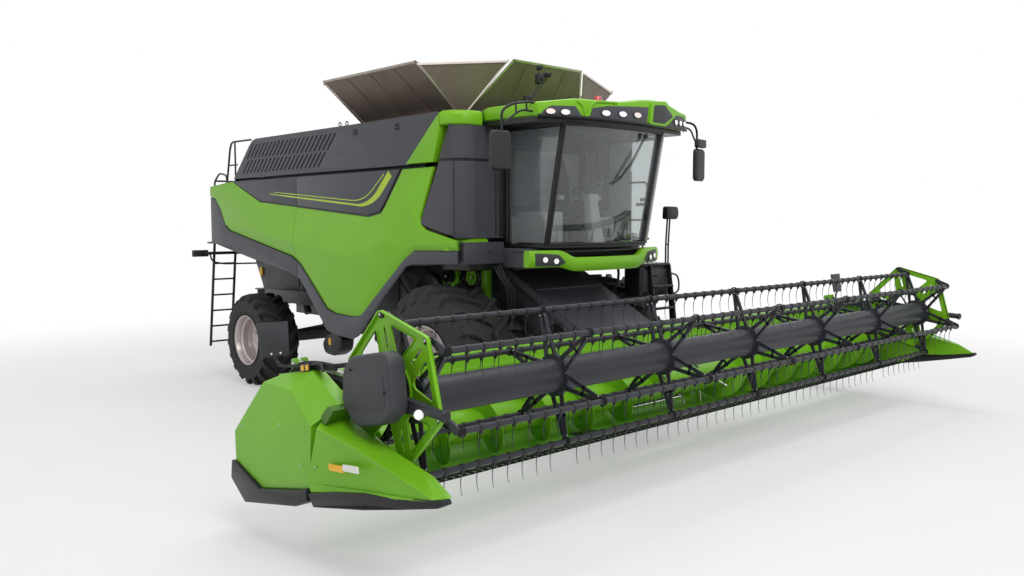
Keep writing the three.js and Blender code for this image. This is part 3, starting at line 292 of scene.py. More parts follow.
class Shape:
    """Collects solids in one mesh. Each solid keeps the material that it was added with."""

    def __init__(self):
        self.bm = bmesh.new()
        self.materials = []

    def paint(self, faces, material):
        if material not in self.materials:
            self.materials.append(material)
        index = self.materials.index(material)
        for face in faces:
            face.material_index = index

    def add(self, verts, faces, material):
        made = [self.bm.verts.new(v) for v in verts]
        new = [self.bm.faces.new([made[i] for i in face]) for face in faces]
        bmesh.ops.recalc_face_normals(self.bm, faces=new)
        self.paint(new, material)
        return new

    def bevel(self, faces, width, segments=2, angle=25):
        """Rounds the edges of these faces that are sharper than an angle."""
        if width <= 0:
            return
        edges = {e for f in faces for e in f.edges
                 if len(e.link_faces) == 2 and e.calc_face_angle(0) > math.radians(angle)}
        before = set(self.bm.faces) - set(faces)
        bmesh.ops.bevel(self.bm, geom=list(edges), offset=width, offset_type="OFFSET", segments=segments,
                        profile=0.5, affect="EDGES", clamp_overlap=True, material=-1)
        return [f for f in self.bm.faces if f not in before]

    def box(self, low, high, material, bevel=0.004, segments=2):
        (x0, x1), (y0, y1), (z0, z1) = (sorted(ends) for ends in zip(low, high))
        verts = [(x, y, z) for x in (x0, x1) for y in (y0, y1) for z in (z0, z1)]
        faces = [(0, 1, 3, 2), (4, 6, 7, 5), (0, 4, 5, 1), (2, 3, 7, 6), (0, 2, 6, 4), (1, 5, 7, 3)]
        self.bevel(self.add(verts, faces, material), bevel, segments)

    def prism(self, points, axis, low, high, material, bevel=0.004, segments=2, angle=25):
        """A flat outline drawn out along an axis: [y, z] along x, [x, z] along y or [x, y] along z."""
        place = {"x": lambda w, p: (w, p[0], p[1]), "y": lambda w, p: (p[0], w, p[1]),
                 "z": lambda w, p: (p[0], p[1], w)}[axis]
        n = len(points)
        verts = [place(w, p) for w in sorted((low, high)) for p in points]
        faces = [tuple(range(n)), tuple(range(2 * n - 1, n - 1, -1))]
        faces += [(i, i + n, (i + 1) % n + n, (i + 1) % n) for i in range(n)]
        return self.bevel(self.add(verts, faces, material), bevel, segments, angle)

    def loft(self, rings, material, caps=True, closed=True):
        """Skins between rings that have the same number of points."""
        n = len(rings[0])
        verts = [p for ring in rings for p in ring]
        faces = []
        for k in range(len(rings) - 1):
            for i in range(n if closed else n - 1):
                a, b = k * n + i, k * n + (i + 1) % n
                faces.append((a, b, b + n, a + n))
        if caps:
            faces += [tuple(range(n - 1, -1, -1)), tuple(range(len(verts) - n, len(verts)))]
        return self.add(verts, faces, material)

    def tube(self, points, radius, material, sides=10, loop=False):
        """A round bar along a line of points, with its section kept square to the line."""
        points = [Vector(p) for p in points]
        count = len(points)
        rings, side = [], None
        for i, p in enumerate(points):
            before = points[i - 1] if loop or i else p
            after = points[(i + 1) % count] if loop or i < count - 1 else p
            along = (after - before).normalized()
            if side is None:
                side = along.orthogonal().normalized()
            side = (side - along * side.dot(along)).normalized()
            other = along.cross(side)
            r = radius(i / max(1, count - 1)) if callable(radius) else radius
            rings.append([p + r * (side * math.cos(a) + other * math.sin(a))
                          for a in (2 * math.pi * k / sides for k in range(sides))])
        if loop:
            rings.append(rings[0])
            n = sides
            verts = [v for ring in rings[:-1] for v in ring]
            total = len(verts)
            faces = [(k * n + i, k * n + (i + 1) % n, ((k + 1) * n + (i + 1) % n) % total,
                      ((k + 1) * n + i) % total)
                     for k in range(count) for i in range(n)]
            return self.add(verts, faces, material)
        return self.loft(rings, material)

    def turned(self, profile, centre, axis, material, segments=32):
        """A profile of (along, radius) points turned about an axis through a centre; its ends close on it."""
        w = Vector(axis).normalized()
        u = w.orthogonal().normalized()
        v = w.cross(u)
        centre = Vector(centre)
        verts, faces, rows = [], [], []
        for along, r in profile:
            if r < 1e-6:
                rows.append([len(verts)])
                verts.append(centre + w * along)
                continue
            rows.append(list(range(len(verts), len(verts) + segments)))
            verts += [centre + w * along + r * (u * math.cos(a) + v * math.sin(a))
                      for a in (2 * math.pi * k / segments for k in range(segments))]
        for one, two in zip(rows, rows[1:]):
            for k in range(segments):
                m = (k + 1) % segments
                if len(one) == 1 and len(two) == 1:
                    continue
                if len(one) == 1:
                    faces.append((one[0], two[k], two[m]))
                elif len(two) == 1:
                    faces.append((one[k], two[0], one[m]))
                else:
                    faces.append((one[k], two[k], two[m], one[m]))
        return self.add(verts, faces, material)

    def disc(self, centre, axis, radius, thickness, material, segments=24, edge=0.002):
        """A round boss, with a small chamfer round its free edge."""
        self.turned([(0, 0), (0, radius), (thickness - edge, radius), (thickness, radius - edge),
                     (thickness, 0)],
                    centre, axis, material, segments)

    def bolt(self, centre, axis, size=0.012, material=None):
        self.turned([(0, 0), (0, size), (size * 0.7, size), (size * 0.8, size * 0.8), (size * 0.8, 0)],
                    centre, axis, material or STEEL, 6)

    def cutout(self, outline, holes, axis, low, high, material, bevel=0.003):
        """A flat plate with holes and eased rims, square to an axis; outlines are given as for prism."""
        low, high = sorted((low, high))
        curve = bpy.data.curves.new("cutout", "CURVE")
        curve.dimensions = "2D"
        curve.fill_mode = "BOTH"
        curve.extrude = (high - low) / 2 - bevel
        curve.bevel_depth = bevel
        curve.offset = -bevel
        for loop in [outline, *holes]:
            spline = curve.splines.new("POLY")
            spline.points.add(len(loop) - 1)
            for point, (u, v) in zip(spline.points, loop):
                point.co = (u, v, 0, 1)
            spline.use_cyclic_u = True
        temp = bpy.data.objects.new("cutout", curve)
        bpy.context.scene.collection.objects.link(temp)
        bpy.context.view_layer.update()
        made = bpy.data.meshes.new_from_object(temp.evaluated_get(bpy.context.evaluated_depsgraph_get()))
        bpy.data.objects.remove(temp)
        middle_w = (low + high) / 2
        place = {"x": lambda p: (middle_w + p.z, p.x, p.y), "y": lambda p: (p.x, middle_w + p.z, p.y),
                 "z": lambda p: (p.x, p.y, middle_w + p.z)}[axis]
        verts = [place(v.co) for v in made.vertices]
        faces = [tuple(p.vertices) for p in made.polygons]
        bpy.data.meshes.remove(made)
        new = self.add(verts, faces, material)
        bmesh.ops.remove_doubles(self.bm, verts=list({v for f in new for v in f.verts}), dist=1e-5)

    def facets(self, points, faces, base, material, rim=0.006, crease=0.0):
        """A panel of flat facets whose corners are (y, z, x), closed by a wall back to x = base."""
        names = list(points)
        made = {n: self.bm.verts.new((points[n][2], points[n][0], points[n][1])) for n in names}
        front = [self.bm.faces.new([made[n] for n in face]) for face in faces]
        bmesh.ops.recalc_face_normals(self.bm, faces=front)
        if sum(f.normal.x * f.calc_area() for f in front) < 0:
            bmesh.ops.reverse_faces(self.bm, faces=front)
        edges = {e for f in front for e in f.edges}
        border = [e for e in edges if len(e.link_faces) == 1]
        walls = bmesh.ops.extrude_edge_only(self.bm, edges=border)["geom"]
        for v in (g for g in walls if isinstance(g, bmesh.types.BMVert)):
            v.co.x = base
        back = [g for g in walls if isinstance(g, bmesh.types.BMEdge) and len(g.link_faces) == 1]
        self.paint(front + [g for g in walls if isinstance(g, bmesh.types.BMFace)], material)
        self.paint(bmesh.ops.contextual_create(self.bm, geom=back)["faces"], material)
        if crease:
            inner = [e for e in edges if e.is_valid and e not in border]
            bmesh.ops.bevel(self.bm, geom=inner, offset=crease, segments=2, profile=0.5, affect="EDGES",
                            clamp_overlap=True, material=-1)
        bmesh.ops.bevel(self.bm, geom=[e for e in border if e.is_valid], offset=rim, segments=2,
                        profile=0.5,
                        affect="EDGES", clamp_overlap=True, material=-1)

    def flip(self):
        """Turns everything into its mirror image across x = 0."""
        for v in self.bm.verts:
            v.co.x = -v.co.x
        bmesh.ops.reverse_faces(self.bm, faces=self.bm.faces)

    def piece(self, name, body, slot, place=MACHINE, replaces=(), smooth=32):
        """Makes the object, rides it on its body and hides the CAD nodes that it stands for; its slot is not
        used.
        """
        mesh = bpy.data.meshes.new(name)
        self.bm.to_mesh(mesh)
        self.bm.free()
        for m in self.materials:
            mesh.materials.append(m)
        for polygon in mesh.polygons:
            polygon.use_smooth = True
        mesh.set_sharp_from_angle(angle=math.radians(smooth))
        made = bpy.data.objects.new(name, mesh)
        bpy.context.scene.collection.objects.link(made)
        made.matrix_world = place
        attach(made, body)
        if replaces:
            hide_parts(*replaces)
        return made


def arc(cu, cv, radius, start, end, steps):
    """Points of an arc, angles in degrees."""
    return [(cu + radius * math.cos(math.radians(start + (end - start) * i / steps)),
             cv + radius * math.sin(math.radians(start + (end - start) * i / steps)))
             for i in range(steps + 1)]


def rounded(points, radius, steps=5):
    """A closed outline with every corner rounded; a radius may be given for each corner."""
    radii = radius if isinstance(radius, (list, tuple)) else [radius] * len(points)
    result = []
    for i, (p, r) in enumerate(zip(points, radii)):
        here, before, after = Vector(p), Vector(points[i - 1]), Vector(points[(i + 1) % len(points)])
        a, b = (before - here), (after - here)
        reach = min(r, a.length * 0.45, b.length * 0.45)
        if reach <= 1e-5:
            result.append(tuple(here))
            continue
        start, end = here + a.normalized() * reach, here + b.normalized() * reach
        for k in range(steps + 1):
            t = k / steps
            result.append(tuple(start * (1 - t) ** 2 + here * 2 * t * (1 - t) + end * t ** 2))
    return result


def soft_line(points, radius, steps=5):
    """An open line through points with its inner corners rounded."""
    points = [Vector(p) for p in points]
    result = [points[0]]
    for before, here, after in zip(points, points[1:], points[2:]):
        a, b = before - here, after - here
        reach = min(radius, a.length * 0.48, b.length * 0.48)
        start, end = here + a.normalized() * reach, here + b.normalized() * reach
        result += [start * (1 - t) ** 2 + here * 2 * t * (1 - t) + end * t ** 2
                   for t in (k / steps for k in range(steps + 1))]
    return result + [points[-1]]


def pane(u0, v0, u1, v1, radius=0, steps=5):
    """A rectangle between two corners, with its corners rounded when a radius is given."""
    corners = [(u0, v0), (u1, v0), (u1, v1), (u0, v1)]
    return rounded(corners, radius, steps) if radius else corners


def circle(cu, cv, radius, steps):
    """The points of a circle round a centre."""
    return [(cu + radius * math.cos(2 * math.pi * k / steps),
             cv + radius * math.sin(2 * math.pi * k / steps))
            for k in range(steps)]


# ---- Camera, floor and light ----

CAMERA = Vector((-8.17, AXLE_Y - 8.3, 2.59))
YAW, PITCH, ROLL = math.radians(43.355), math.radians(4.25), math.radians(-0.09)


def camera():
    made = bpy.data.objects.new("camera", bpy.data.cameras.new("camera"))
    made.data.sensor_width = 36
    made.data.lens = 31.02
    ahead = Vector((math.sin(YAW) * math.cos(PITCH), math.cos(YAW) * math.cos(PITCH), -math.sin(PITCH)))
    right = Vector((math.cos(YAW), -math.sin(YAW), 0))
    up = right.cross(ahead)
    turn = Matrix((right, up, -ahead)).transposed()
    made.matrix_world = Matrix.Translation(CAMERA) @ turn.to_4x4() @ Matrix.Rotation(ROLL, 4, "Z")
    made.data.clip_end = 400
    bpy.context.scene.collection.objects.link(made)
    bpy.context.scene.camera = made


def seen_direct(tree):
    """1 for camera, mirror and glass rays, 0 for the rays that light the object."""
    rays = tree.nodes.new("ShaderNodeLightPath")
    total = rays.outputs["Is Camera Ray"]
    for name in ("Is Glossy Ray", "Is Transmission Ray"):
        more = tree.nodes.new("ShaderNodeMath")
        more.operation = "MAXIMUM"
        tree.links.new(total, more.inputs[0])
        tree.links.new(rays.outputs[name], more.inputs[1])
        total = more.outputs[0]
    return total


def floor():
    """A pale floor that keeps the machine's soft shadow and fades into white further out."""
    size, near, far = 300, 6.0, 15
    mesh = bpy.data.meshes.new("floor")
    mesh.from_pydata([(-size, -size, 0), (size, -size, 0), (size, size, 0), (-size, size, 0)], [],
                     [(0, 1, 2, 3)])
    made = bpy.data.objects.new("floor", mesh)
    bpy.context.scene.collection.objects.link(made)
    m = Nodes("floor_white")
    m.link(m.ramp(m.noise(0.6, 3), (0.86, 0.86, 0.865, 1), (0.89, 0.89, 0.895, 1)),
           m.shader.inputs["Base Color"])
    m.shader.inputs["Roughness"].default_value = 0.9
    m.shader.inputs["Specular IOR Level"].default_value = 0.1
    distance = m.node("VectorMath", operation="LENGTH")
    m.link(m.place, distance.inputs[0])
    fade = m.node("MapRange", interpolation_type="SMOOTHSTEP")
    fade.inputs["To Min"].default_value = 0.4
    fade.inputs["From Min"].default_value = near
    fade.inputs["From Max"].default_value = far
    m.link(distance.outputs["Value"], fade.inputs["Value"])
    amount = m.node("Math", operation="MULTIPLY")
    m.link(fade.outputs["Result"], amount.inputs[0])
    m.link(seen_direct(m.tree), amount.inputs[1])
    white = m.node("Emission", Strength=1.0)
    mix = m.node("MixShader")
    m.link(amount.outputs[0], mix.inputs[0])
    m.link(m.shader.outputs[0], mix.inputs[1])
    m.link(white.outputs[0], mix.inputs[2])
    m.link(mix.outputs[0], m.tree.nodes["Material Output"].inputs["Surface"])
    mesh.materials.append(m.material)


def world():
    made = bpy.data.worlds.new("world")
    made.use_nodes = True
    tree = made.node_tree
    level = tree.nodes.new("ShaderNodeMapRange")
    level.inputs["To Min"].default_value = 0.42
    level.inputs["To Max"].default_value = 1.0
    tree.links.new(seen_direct(tree), level.inputs["Value"])
    tree.links.new(level.outputs["Result"], tree.nodes["Background"].inputs["Strength"])
    tree.nodes["Background"].inputs["Color"].default_value = (1, 1, 1, 1)
    bpy.context.scene.world = made


def lamp(name, place, target, size, power):
    data = bpy.data.lights.new(name, "AREA")
    data.shape = "DISK"
    data.size = size
    data.energy = power
    made = bpy.data.objects.new(name, data)
    made.location = place
    made.rotation_mode = "QUATERNION"
    made.rotation_quaternion = (Vector(target) - Vector(place)).to_track_quat("-Z", "Y")
    bpy.context.scene.collection.objects.link(made)


def lights():
    lamp("key", (-6, -13, 14), (0, 0, 1), 9, 1200)
    lamp("over", (3, 1, 16), (0, 0, 1), 12, 900)
    lamp("fill", (-16, 2, 7), (0, 0, 1.5), 8, 150)


bpy.context.scene.view_settings.view_transform = "Standard"
camera()
floor()
world()
lights()


# ---- Side covers: a dark skirt, a green body in facets and a dark upper panel with two stripes ----

SIDE = 1.70
SEAM_Y = 3.104
SEAM_GAP = 0.004
TOP_Z = 3.245
BACKING = 1.645

# Corners of the green body as (y, z, x from the side's plane); the crease is where it stands out most.
CREASE_OUT, UPPER_IN, LOWER_IN, CHAMFER_IN = 0.055, -0.042, -0.022, -0.048
GREEN_CORNERS = {
    "low_rear": (5.26, 2.475), "low_mid": (3.27, 2.11), "low_knee": (3.04, 2.0), "tip_rear": (2.33, 1.405),
    "tip_low_rear": (2.12, 1.355), "tip_low": (1.68, 1.34), "tip_front": (1.50, 1.37), "arch": (0.52, 2.15),
    "arch_top": (0.33, 2.25), "neck_low": (-0.50, 2.265),
    "in_rear": (5.24, 2.535), "in_mid": (3.27, 2.18), "in_knee": (2.98, 2.04), "in_tip_rear": (2.24, 1.45),
    "in_tip": (1.60, 1.45), "in_tip_front": (1.46, 1.515), "in_arch": (0.50, 2.245),
    "in_arch_top": (0.31, 2.315),
    "in_neck_low": (-0.49, 2.305),
    "neck_front": (-0.50, 2.38), "neck_bend": (0.07, 2.50), "neck_round": (0.165, 2.56),
    "neck_in": (0.185, 2.635),
    "neck_top": (-0.09, TOP_Z), "up_top": (0.545, TOP_Z), "up_bend": (0.93, 2.79),
    "up_round": (1.02, 2.705),
    "up_low": (1.30, 2.665), "up_rear": (4.22, 2.905), "up_end": (5.13, TOP_Z),
    "facet_front": (0.87, 2.37), "facet_low": (1.13, 2.25), "facet_tip": (1.55, 2.145),
    "facet_mid": (1.74, 2.155),
    "facet_rear": (3.95, 2.41), "facet_end": (4.17, 2.49),
    "tail_top": (5.20, TOP_Z - 0.003), "tail_end": (5.895, 3.19), "tail_low": (5.895, 3.03),
    "tail_bend": (5.70, 2.985),
    "tail_mid": (5.50, 2.79), "tail_foot": (5.36, 2.56),
}


def green_depth(name):
    if name.startswith("facet"):
        return CREASE_OUT
    if name.startswith("up_"):
        return UPPER_IN
    if name.startswith("in_"):
        return LOWER_IN
    if name.startswith(("low", "tip", "arch")) or name == "neck_low":
        return CHAMFER_IN
    return -0.015


def on_line(a, b, y):
    """The height at y of the line between two named corners."""
    (y0, z0), (y1, z1) = GREEN_CORNERS[a], GREEN_CORNERS[b]
    return z0 + (z1 - z0) * (y - y0) / (y1 - y0)


def seam_corners(y):
    """The corners that the vertical seam makes on each of the body's lines."""
    return {"low_seam": (y, on_line("low_mid", "low_knee", y)),
            "in_seam": (y, on_line("in_mid", "in_knee", y)),
            "facet_seam": (y, on_line("facet_rear", "facet_mid", y)),
            "up_seam": (y, on_line("up_rear", "up_low", y))}


def green_body(shape, front):
    corners = dict(GREEN_CORNERS, **seam_corners(SEAM_Y - SEAM_GAP if front else SEAM_Y + SEAM_GAP))
    points = {n: (y, z, SIDE + green_depth(n)) for n, (y, z) in corners.items()}
    if front:
        low = ["low_seam", "low_knee", "tip_rear", "tip_low_rear", "tip_low", "tip_front", "arch",
               "arch_top", "neck_low"]
        inner = ["in_seam", "in_knee", "in_tip_rear", "in_tip_rear", "in_tip", "in_tip_front", "in_arch",
                 "in_arch_top",
                 "in_neck_low"]
        faces = [["up_seam", "up_low", "up_round", "up_bend", "facet_front", "facet_low", "facet_tip",
                  "facet_mid",
                  "facet_seam"],
                 ["facet_seam", "facet_mid", "facet_tip", "facet_low", "facet_front", "in_arch",
                  "in_tip_front", "in_tip",
                  "in_tip_rear", "in_knee", "in_seam"],
                 ["up_bend", "up_top", "neck_top", "neck_in", "neck_round", "neck_bend", "neck_front",
                  "in_neck_low",
                  "in_arch_top", "in_arch", "facet_front"]]
    else:
        low = ["low_seam", "low_mid", "low_rear"]
        inner = ["in_seam", "in_mid", "in_rear"]
        faces = [["up_seam", "up_rear", "facet_end", "facet_rear", "facet_seam"],
                 ["facet_seam", "facet_rear", "facet_end", "in_rear", "in_mid", "in_seam"],
                 ["up_rear", "up_end", "tail_top", "tail_end", "tail_low", "tail_bend", "tail_mid",
                  "tail_foot", "in_rear",
                  "facet_end"]]
    for k in range(len(low) - 1):
        quad = [low[k], low[k + 1], inner[k + 1], inner[k]]
        faces.append([n for i, n in enumerate(quad) if n != quad[i - 1]])
    used = {n for face in faces for n in face}
    shape.facets({n: p for n, p in points.items() if n in used}, faces, BACKING, GREEN, rim=0.014,
                 crease=0.006)


def skirt(shape, front):
    """The dark lower edge that follows the wheel arch and the belly."""
    if front:
        points = [(-0.50, 2.105), (0.33, 2.085), (0.48, 2.05), (0.98, 1.63), (1.56, 1.09), (1.69, 1.035),
                  (2.12, 1.055),
                  (2.33, 1.10), (3.02, 1.765), (3.10, 1.80), (3.10, 2.03), (3.02, 1.99), (2.33, 1.395),
                  (2.12, 1.345),
                  (1.68, 1.33), (1.50, 1.36), (0.52, 2.14), (0.33, 2.24), (-0.50, 2.255)]
    else:
        points = [(3.108, 1.803), (3.34, 1.87), (4.46, 2.03), (5.50, 2.20), (5.895, 2.27), (5.895, 3.02),
                  (5.71, 2.975),
                  (5.51, 2.785), (5.37, 2.55), (5.26, 2.465), (3.27, 2.10), (3.108, 2.03)]
    shape.prism(points, "x", BACKING, SIDE - 0.022, DARK, bevel=0.012, segments=3)


def stripe(shape, line, width_rear, width_front):
    """A lime band whose centre follows a line and whose width grows forwards."""
    line = [Vector(p) for p in soft_line([(y, z, 0) for y, z in line], 0.42, 9)]
    edges = ([], [])
    for i, p in enumerate(line):
        along = (line[min(i + 1, len(line) - 1)] - line[max(i - 1, 0)]).normalized()
        across = Vector((-along.y, along.x, 0))
        t = i / (len(line) - 1)
        half = (width_rear + (width_front - width_rear) * t) / 2
        edges[0].append(p + across * half)
        edges[1].append(p - across * half)
    rings = [[(SIDE - 0.0335, a.x, a.y), (SIDE - 0.0305, a.x, a.y), (SIDE - 0.0305, b.x, b.y),
              (SIDE - 0.0335, b.x, b.y)]
             for a, b in zip(*edges)]
    shape.loft(rings, LIME)


def upper_panel(shape, front):
    if front:
        points = [(0.60, TOP_Z), (0.965, 2.805), (1.04, 2.735), (1.30, 2.69), (3.10, 2.837), (3.10, TOP_Z)]
    else:
        points = [(3.108, 2.838), (4.20, 2.93), (5.08, TOP_Z), (3.108, TOP_Z)]
    shape.prism(points, "x", BACKING, SIDE - 0.032, DARK, bevel=0.02, segments=3)


def cover(side, part):
    front = part == "front"
    shape = Shape()
    green_body(shape, front)
    skirt(shape, front)
    upper_panel(shape, front)
    if front:
        stripe(shape, [(3.10, 2.955), (1.40, 2.81), (1.12, 2.90), (0.80, 3.20)], 0.022, 0.10)
        stripe(shape, [(3.10, 2.995), (1.55, 2.875), (1.30, 2.93), (0.93, 3.20)], 0.012, 0.014)
        # A black sheet behind the front cover: painted shade that shows through its seams and gaps.
        shape.prism([(-0.50, 2.38), (-0.50, 2.11), (0.48, 2.06), (1.0, 1.65), (1.57, 1.10), (2.32, 1.11),
                     (3.0, 1.77),
                     (3.10, 1.81), (3.10, TOP_Z), (-0.08, TOP_Z), (0.18, 2.63), (0.06, 2.50)],
                    "x", 1.64, BACKING + 0.004, BLACK, 0)
    else:
        stripe(shape, [(3.88, 3.02), (3.5, 2.988), (3.108, 2.955)], 0.012, 0.022)
        stripe(shape, [(3.76, 3.045), (3.4, 3.018), (3.108, 2.995)], 0.010, 0.012)
        # A black sheet behind the rear cover: painted shade that shows through its seams and gaps.
        shape.prism([(3.108, 1.81), (5.895, 2.28), (5.895, 3.19), (5.2, 3.24), (3.108, TOP_Z)],
                    "x", 1.64, BACKING + 0.004, BLACK, 0)
    if side == "right":
        shape.flip()
    node = part + "_cover_" + side
    shape.piece("side_" + node, node, "body_green", replaces=[node])


for side in SIDES:
    for part in ("front", "rear"):
        cover(side, part)


# ---- Corner compartments behind the cab ----

BAND_LOW, BAND_TOP = 3.715, 3.885
CORNER_OUT, CORNER_FACE, CORNER_RADIUS = 1.685, -0.515, 0.30


def corner_line(inset, inner_x):
    """The corner's plan from the side, round the front edge, to an inner end."""
    out, face = CORNER_OUT - inset, CORNER_FACE + inset
    r = CORNER_RADIUS
    return [*reversed(arc(out - r, face + r, r, -90, 0, 10)), (inner_x, face)]


def compartment_rear(z):
    """How far back the dark compartment reaches at a height, just before the cover's neck."""
    if z < 2.575:
        return -0.50 + (z - 2.41) / 0.165 * 0.70
    if z < 3.28:
        return 0.20 - (z - 2.575) / 0.705 * 0.36
    return -0.16 - (z - 3.28) / 0.42 * 0.20


def compartment(shape, low, high, inner_x, inset, material, rear_gap=0.0):
    """The rounded dark wall between two heights."""
    levels = sorted({low, high, *(z for z in (2.45, 2.49, 2.53, 2.575, 2.63, 3.28) if low < z < high)})
    rings = []
    for z in levels:
        rear = compartment_rear(z) - rear_gap
        line = [(min(x, CORNER_OUT - inset), min(y, rear)) for x, y in corner_line(inset, inner_x)]
        outer = [(line[0][0], rear), *line]
        back = [(inner_x, CORNER_FACE + 0.05), (line[0][0] - 0.05, max(rear, CORNER_FACE + 0.05))]
        rings.append([(x, y, z) for x, y in outer + back])
    shape.loft(rings, material)


def corner_band(shape):
    """The green band that rises from the cover's neck and turns forwards over the compartment."""
    x = CORNER_OUT + 0.012
    rise = rounded([(0.43, 3.30), (-0.095, 3.30), (-0.345, BAND_LOW), (-0.62, BAND_LOW), (-0.62, BAND_TOP),
                    (-0.245, BAND_TOP)], [0.01, 0.01, 0.06, 0, 0, 0.14], 6)
    clipped = [(max(y, CORNER_FACE + CORNER_RADIUS), z) for y, z in rise]
    shape.prism(clipped, "x", x - 0.13, x, GREEN, bevel=0.022, segments=3, angle=20)
    rows = []
    for inset, z in ((0.010, BAND_LOW), (-0.006, BAND_LOW + 0.012), (-0.012, BAND_LOW + 0.03),
                     (-0.012, BAND_TOP - 0.055),
                     (0.004, BAND_TOP - 0.02), (0.035, BAND_TOP), (0.16, BAND_TOP + 0.004),
                     (0.16, BAND_LOW)):
        rows.append([(px, py, z) for px, py in corner_line(inset, 1.30)])
    rows.append(rows[0])
    columns = [list(c) for c in zip(*rows[:-1])]
    shape.loft(columns, GREEN)


def shoulder(side):
    shape = Shape()
    compartment(shape, 3.335, BAND_LOW + 0.01, 0.95, 0.012, DARK)
    compartment(shape, 2.41, 3.30, 0.95, 0.012, DARK, rear_gap=0.012)
    # A black band set back between the two dark walls: painted shade in the gap.
    compartment(shape, 3.29, 3.34, 0.95, 0.03, BLACK)
    corner_band(shape)
    # The green sill that carries the cover's line round the corner.
    columns = []
    for px, py in corner_line(-0.004, 1.215):
        out = Vector((px - (CORNER_OUT - CORNER_RADIUS),
                      py - (CORNER_FACE + CORNER_RADIUS))).normalized() * 0.03
        columns.append([(px, py, 2.262), (px, py, 2.385), (px - out.x, py - out.y, 2.405),
                        (px - out.x, py - out.y, 2.262)])
    shape.loft(columns[1:], GREEN)
    # Seams of the compartment's door, its catch recess, and the face beside the cab.
    seam_x, seam_y = corner_line(0.0095, 1.0)[4]
    shape.tube([(seam_x, seam_y, 2.41), (seam_x, seam_y, 3.30)], 0.004, BLACK, 6)
    shape.box((0.94, CORNER_FACE + 0.02, 2.40), (1.19, CORNER_FACE + 0.06, BAND_LOW), CHARCOAL, 0.006)
    shape.box((0.93, CORNER_FACE - 0.002, 2.42), (1.02, CORNER_FACE + 0.03, BAND_LOW - 0.02), TRIM, 0.01)
    shape.box((1.06, CORNER_FACE + 0.008, 2.42), (1.085, CORNER_FACE + 0.03, BAND_LOW - 0.02), TRIM, 0.006)
    shape.box((0.95, -0.46, 2.40), (1.30, 0.04, 2.44), BLACK, 0.004)
    shape.box((1.13, -0.4, 3.3), (1.17, 0.05, 3.86), BLACK, 0.004)
    if side == "right":
        shape.flip()
    shape.piece("corner_" + side, "chassis", "body_green", replaces=["shoulder_panel_" + side])


for side in SIDES:
    shoulder(side)


# ---- Engine hood ----

HOOD_X, HOOD_TOP, HOOD_FOOT = 1.64, 3.88, 3.29
HOOD_FRONT, HOOD_REAR, HOOD_TAIL = -0.29, 4.40, 5.11
LEFT_WALL = 1.24
SLOT = 0.036


def slots(rows, step, lean):
    """Slanted slots in rows between heights; each row is (low z, high z, first y, count)."""
    made = []
    for low, high, first, count in rows:
        for k in range(count):
            y = first + k * step
            run = (high - low) * lean
            made.append(rounded([(y, high), (y + SLOT, high), (y + SLOT + run, low), (y + run, low)],
                                0.014, 3))
    return made


def hood_side(shape, x_in, x_out, front_foot, front_top, holes):
    outline = [(front_foot, HOOD_FOOT), (HOOD_TAIL, HOOD_FOOT), (HOOD_REAR + 0.16, HOOD_TOP - 0.09),
               (HOOD_REAR + 0.05, HOOD_TOP - 0.02), (HOOD_REAR - 0.06, HOOD_TOP), (front_top, HOOD_TOP)]
    shape.cutout(outline, holes, "x", x_in, x_out, DARK, bevel=0.005)


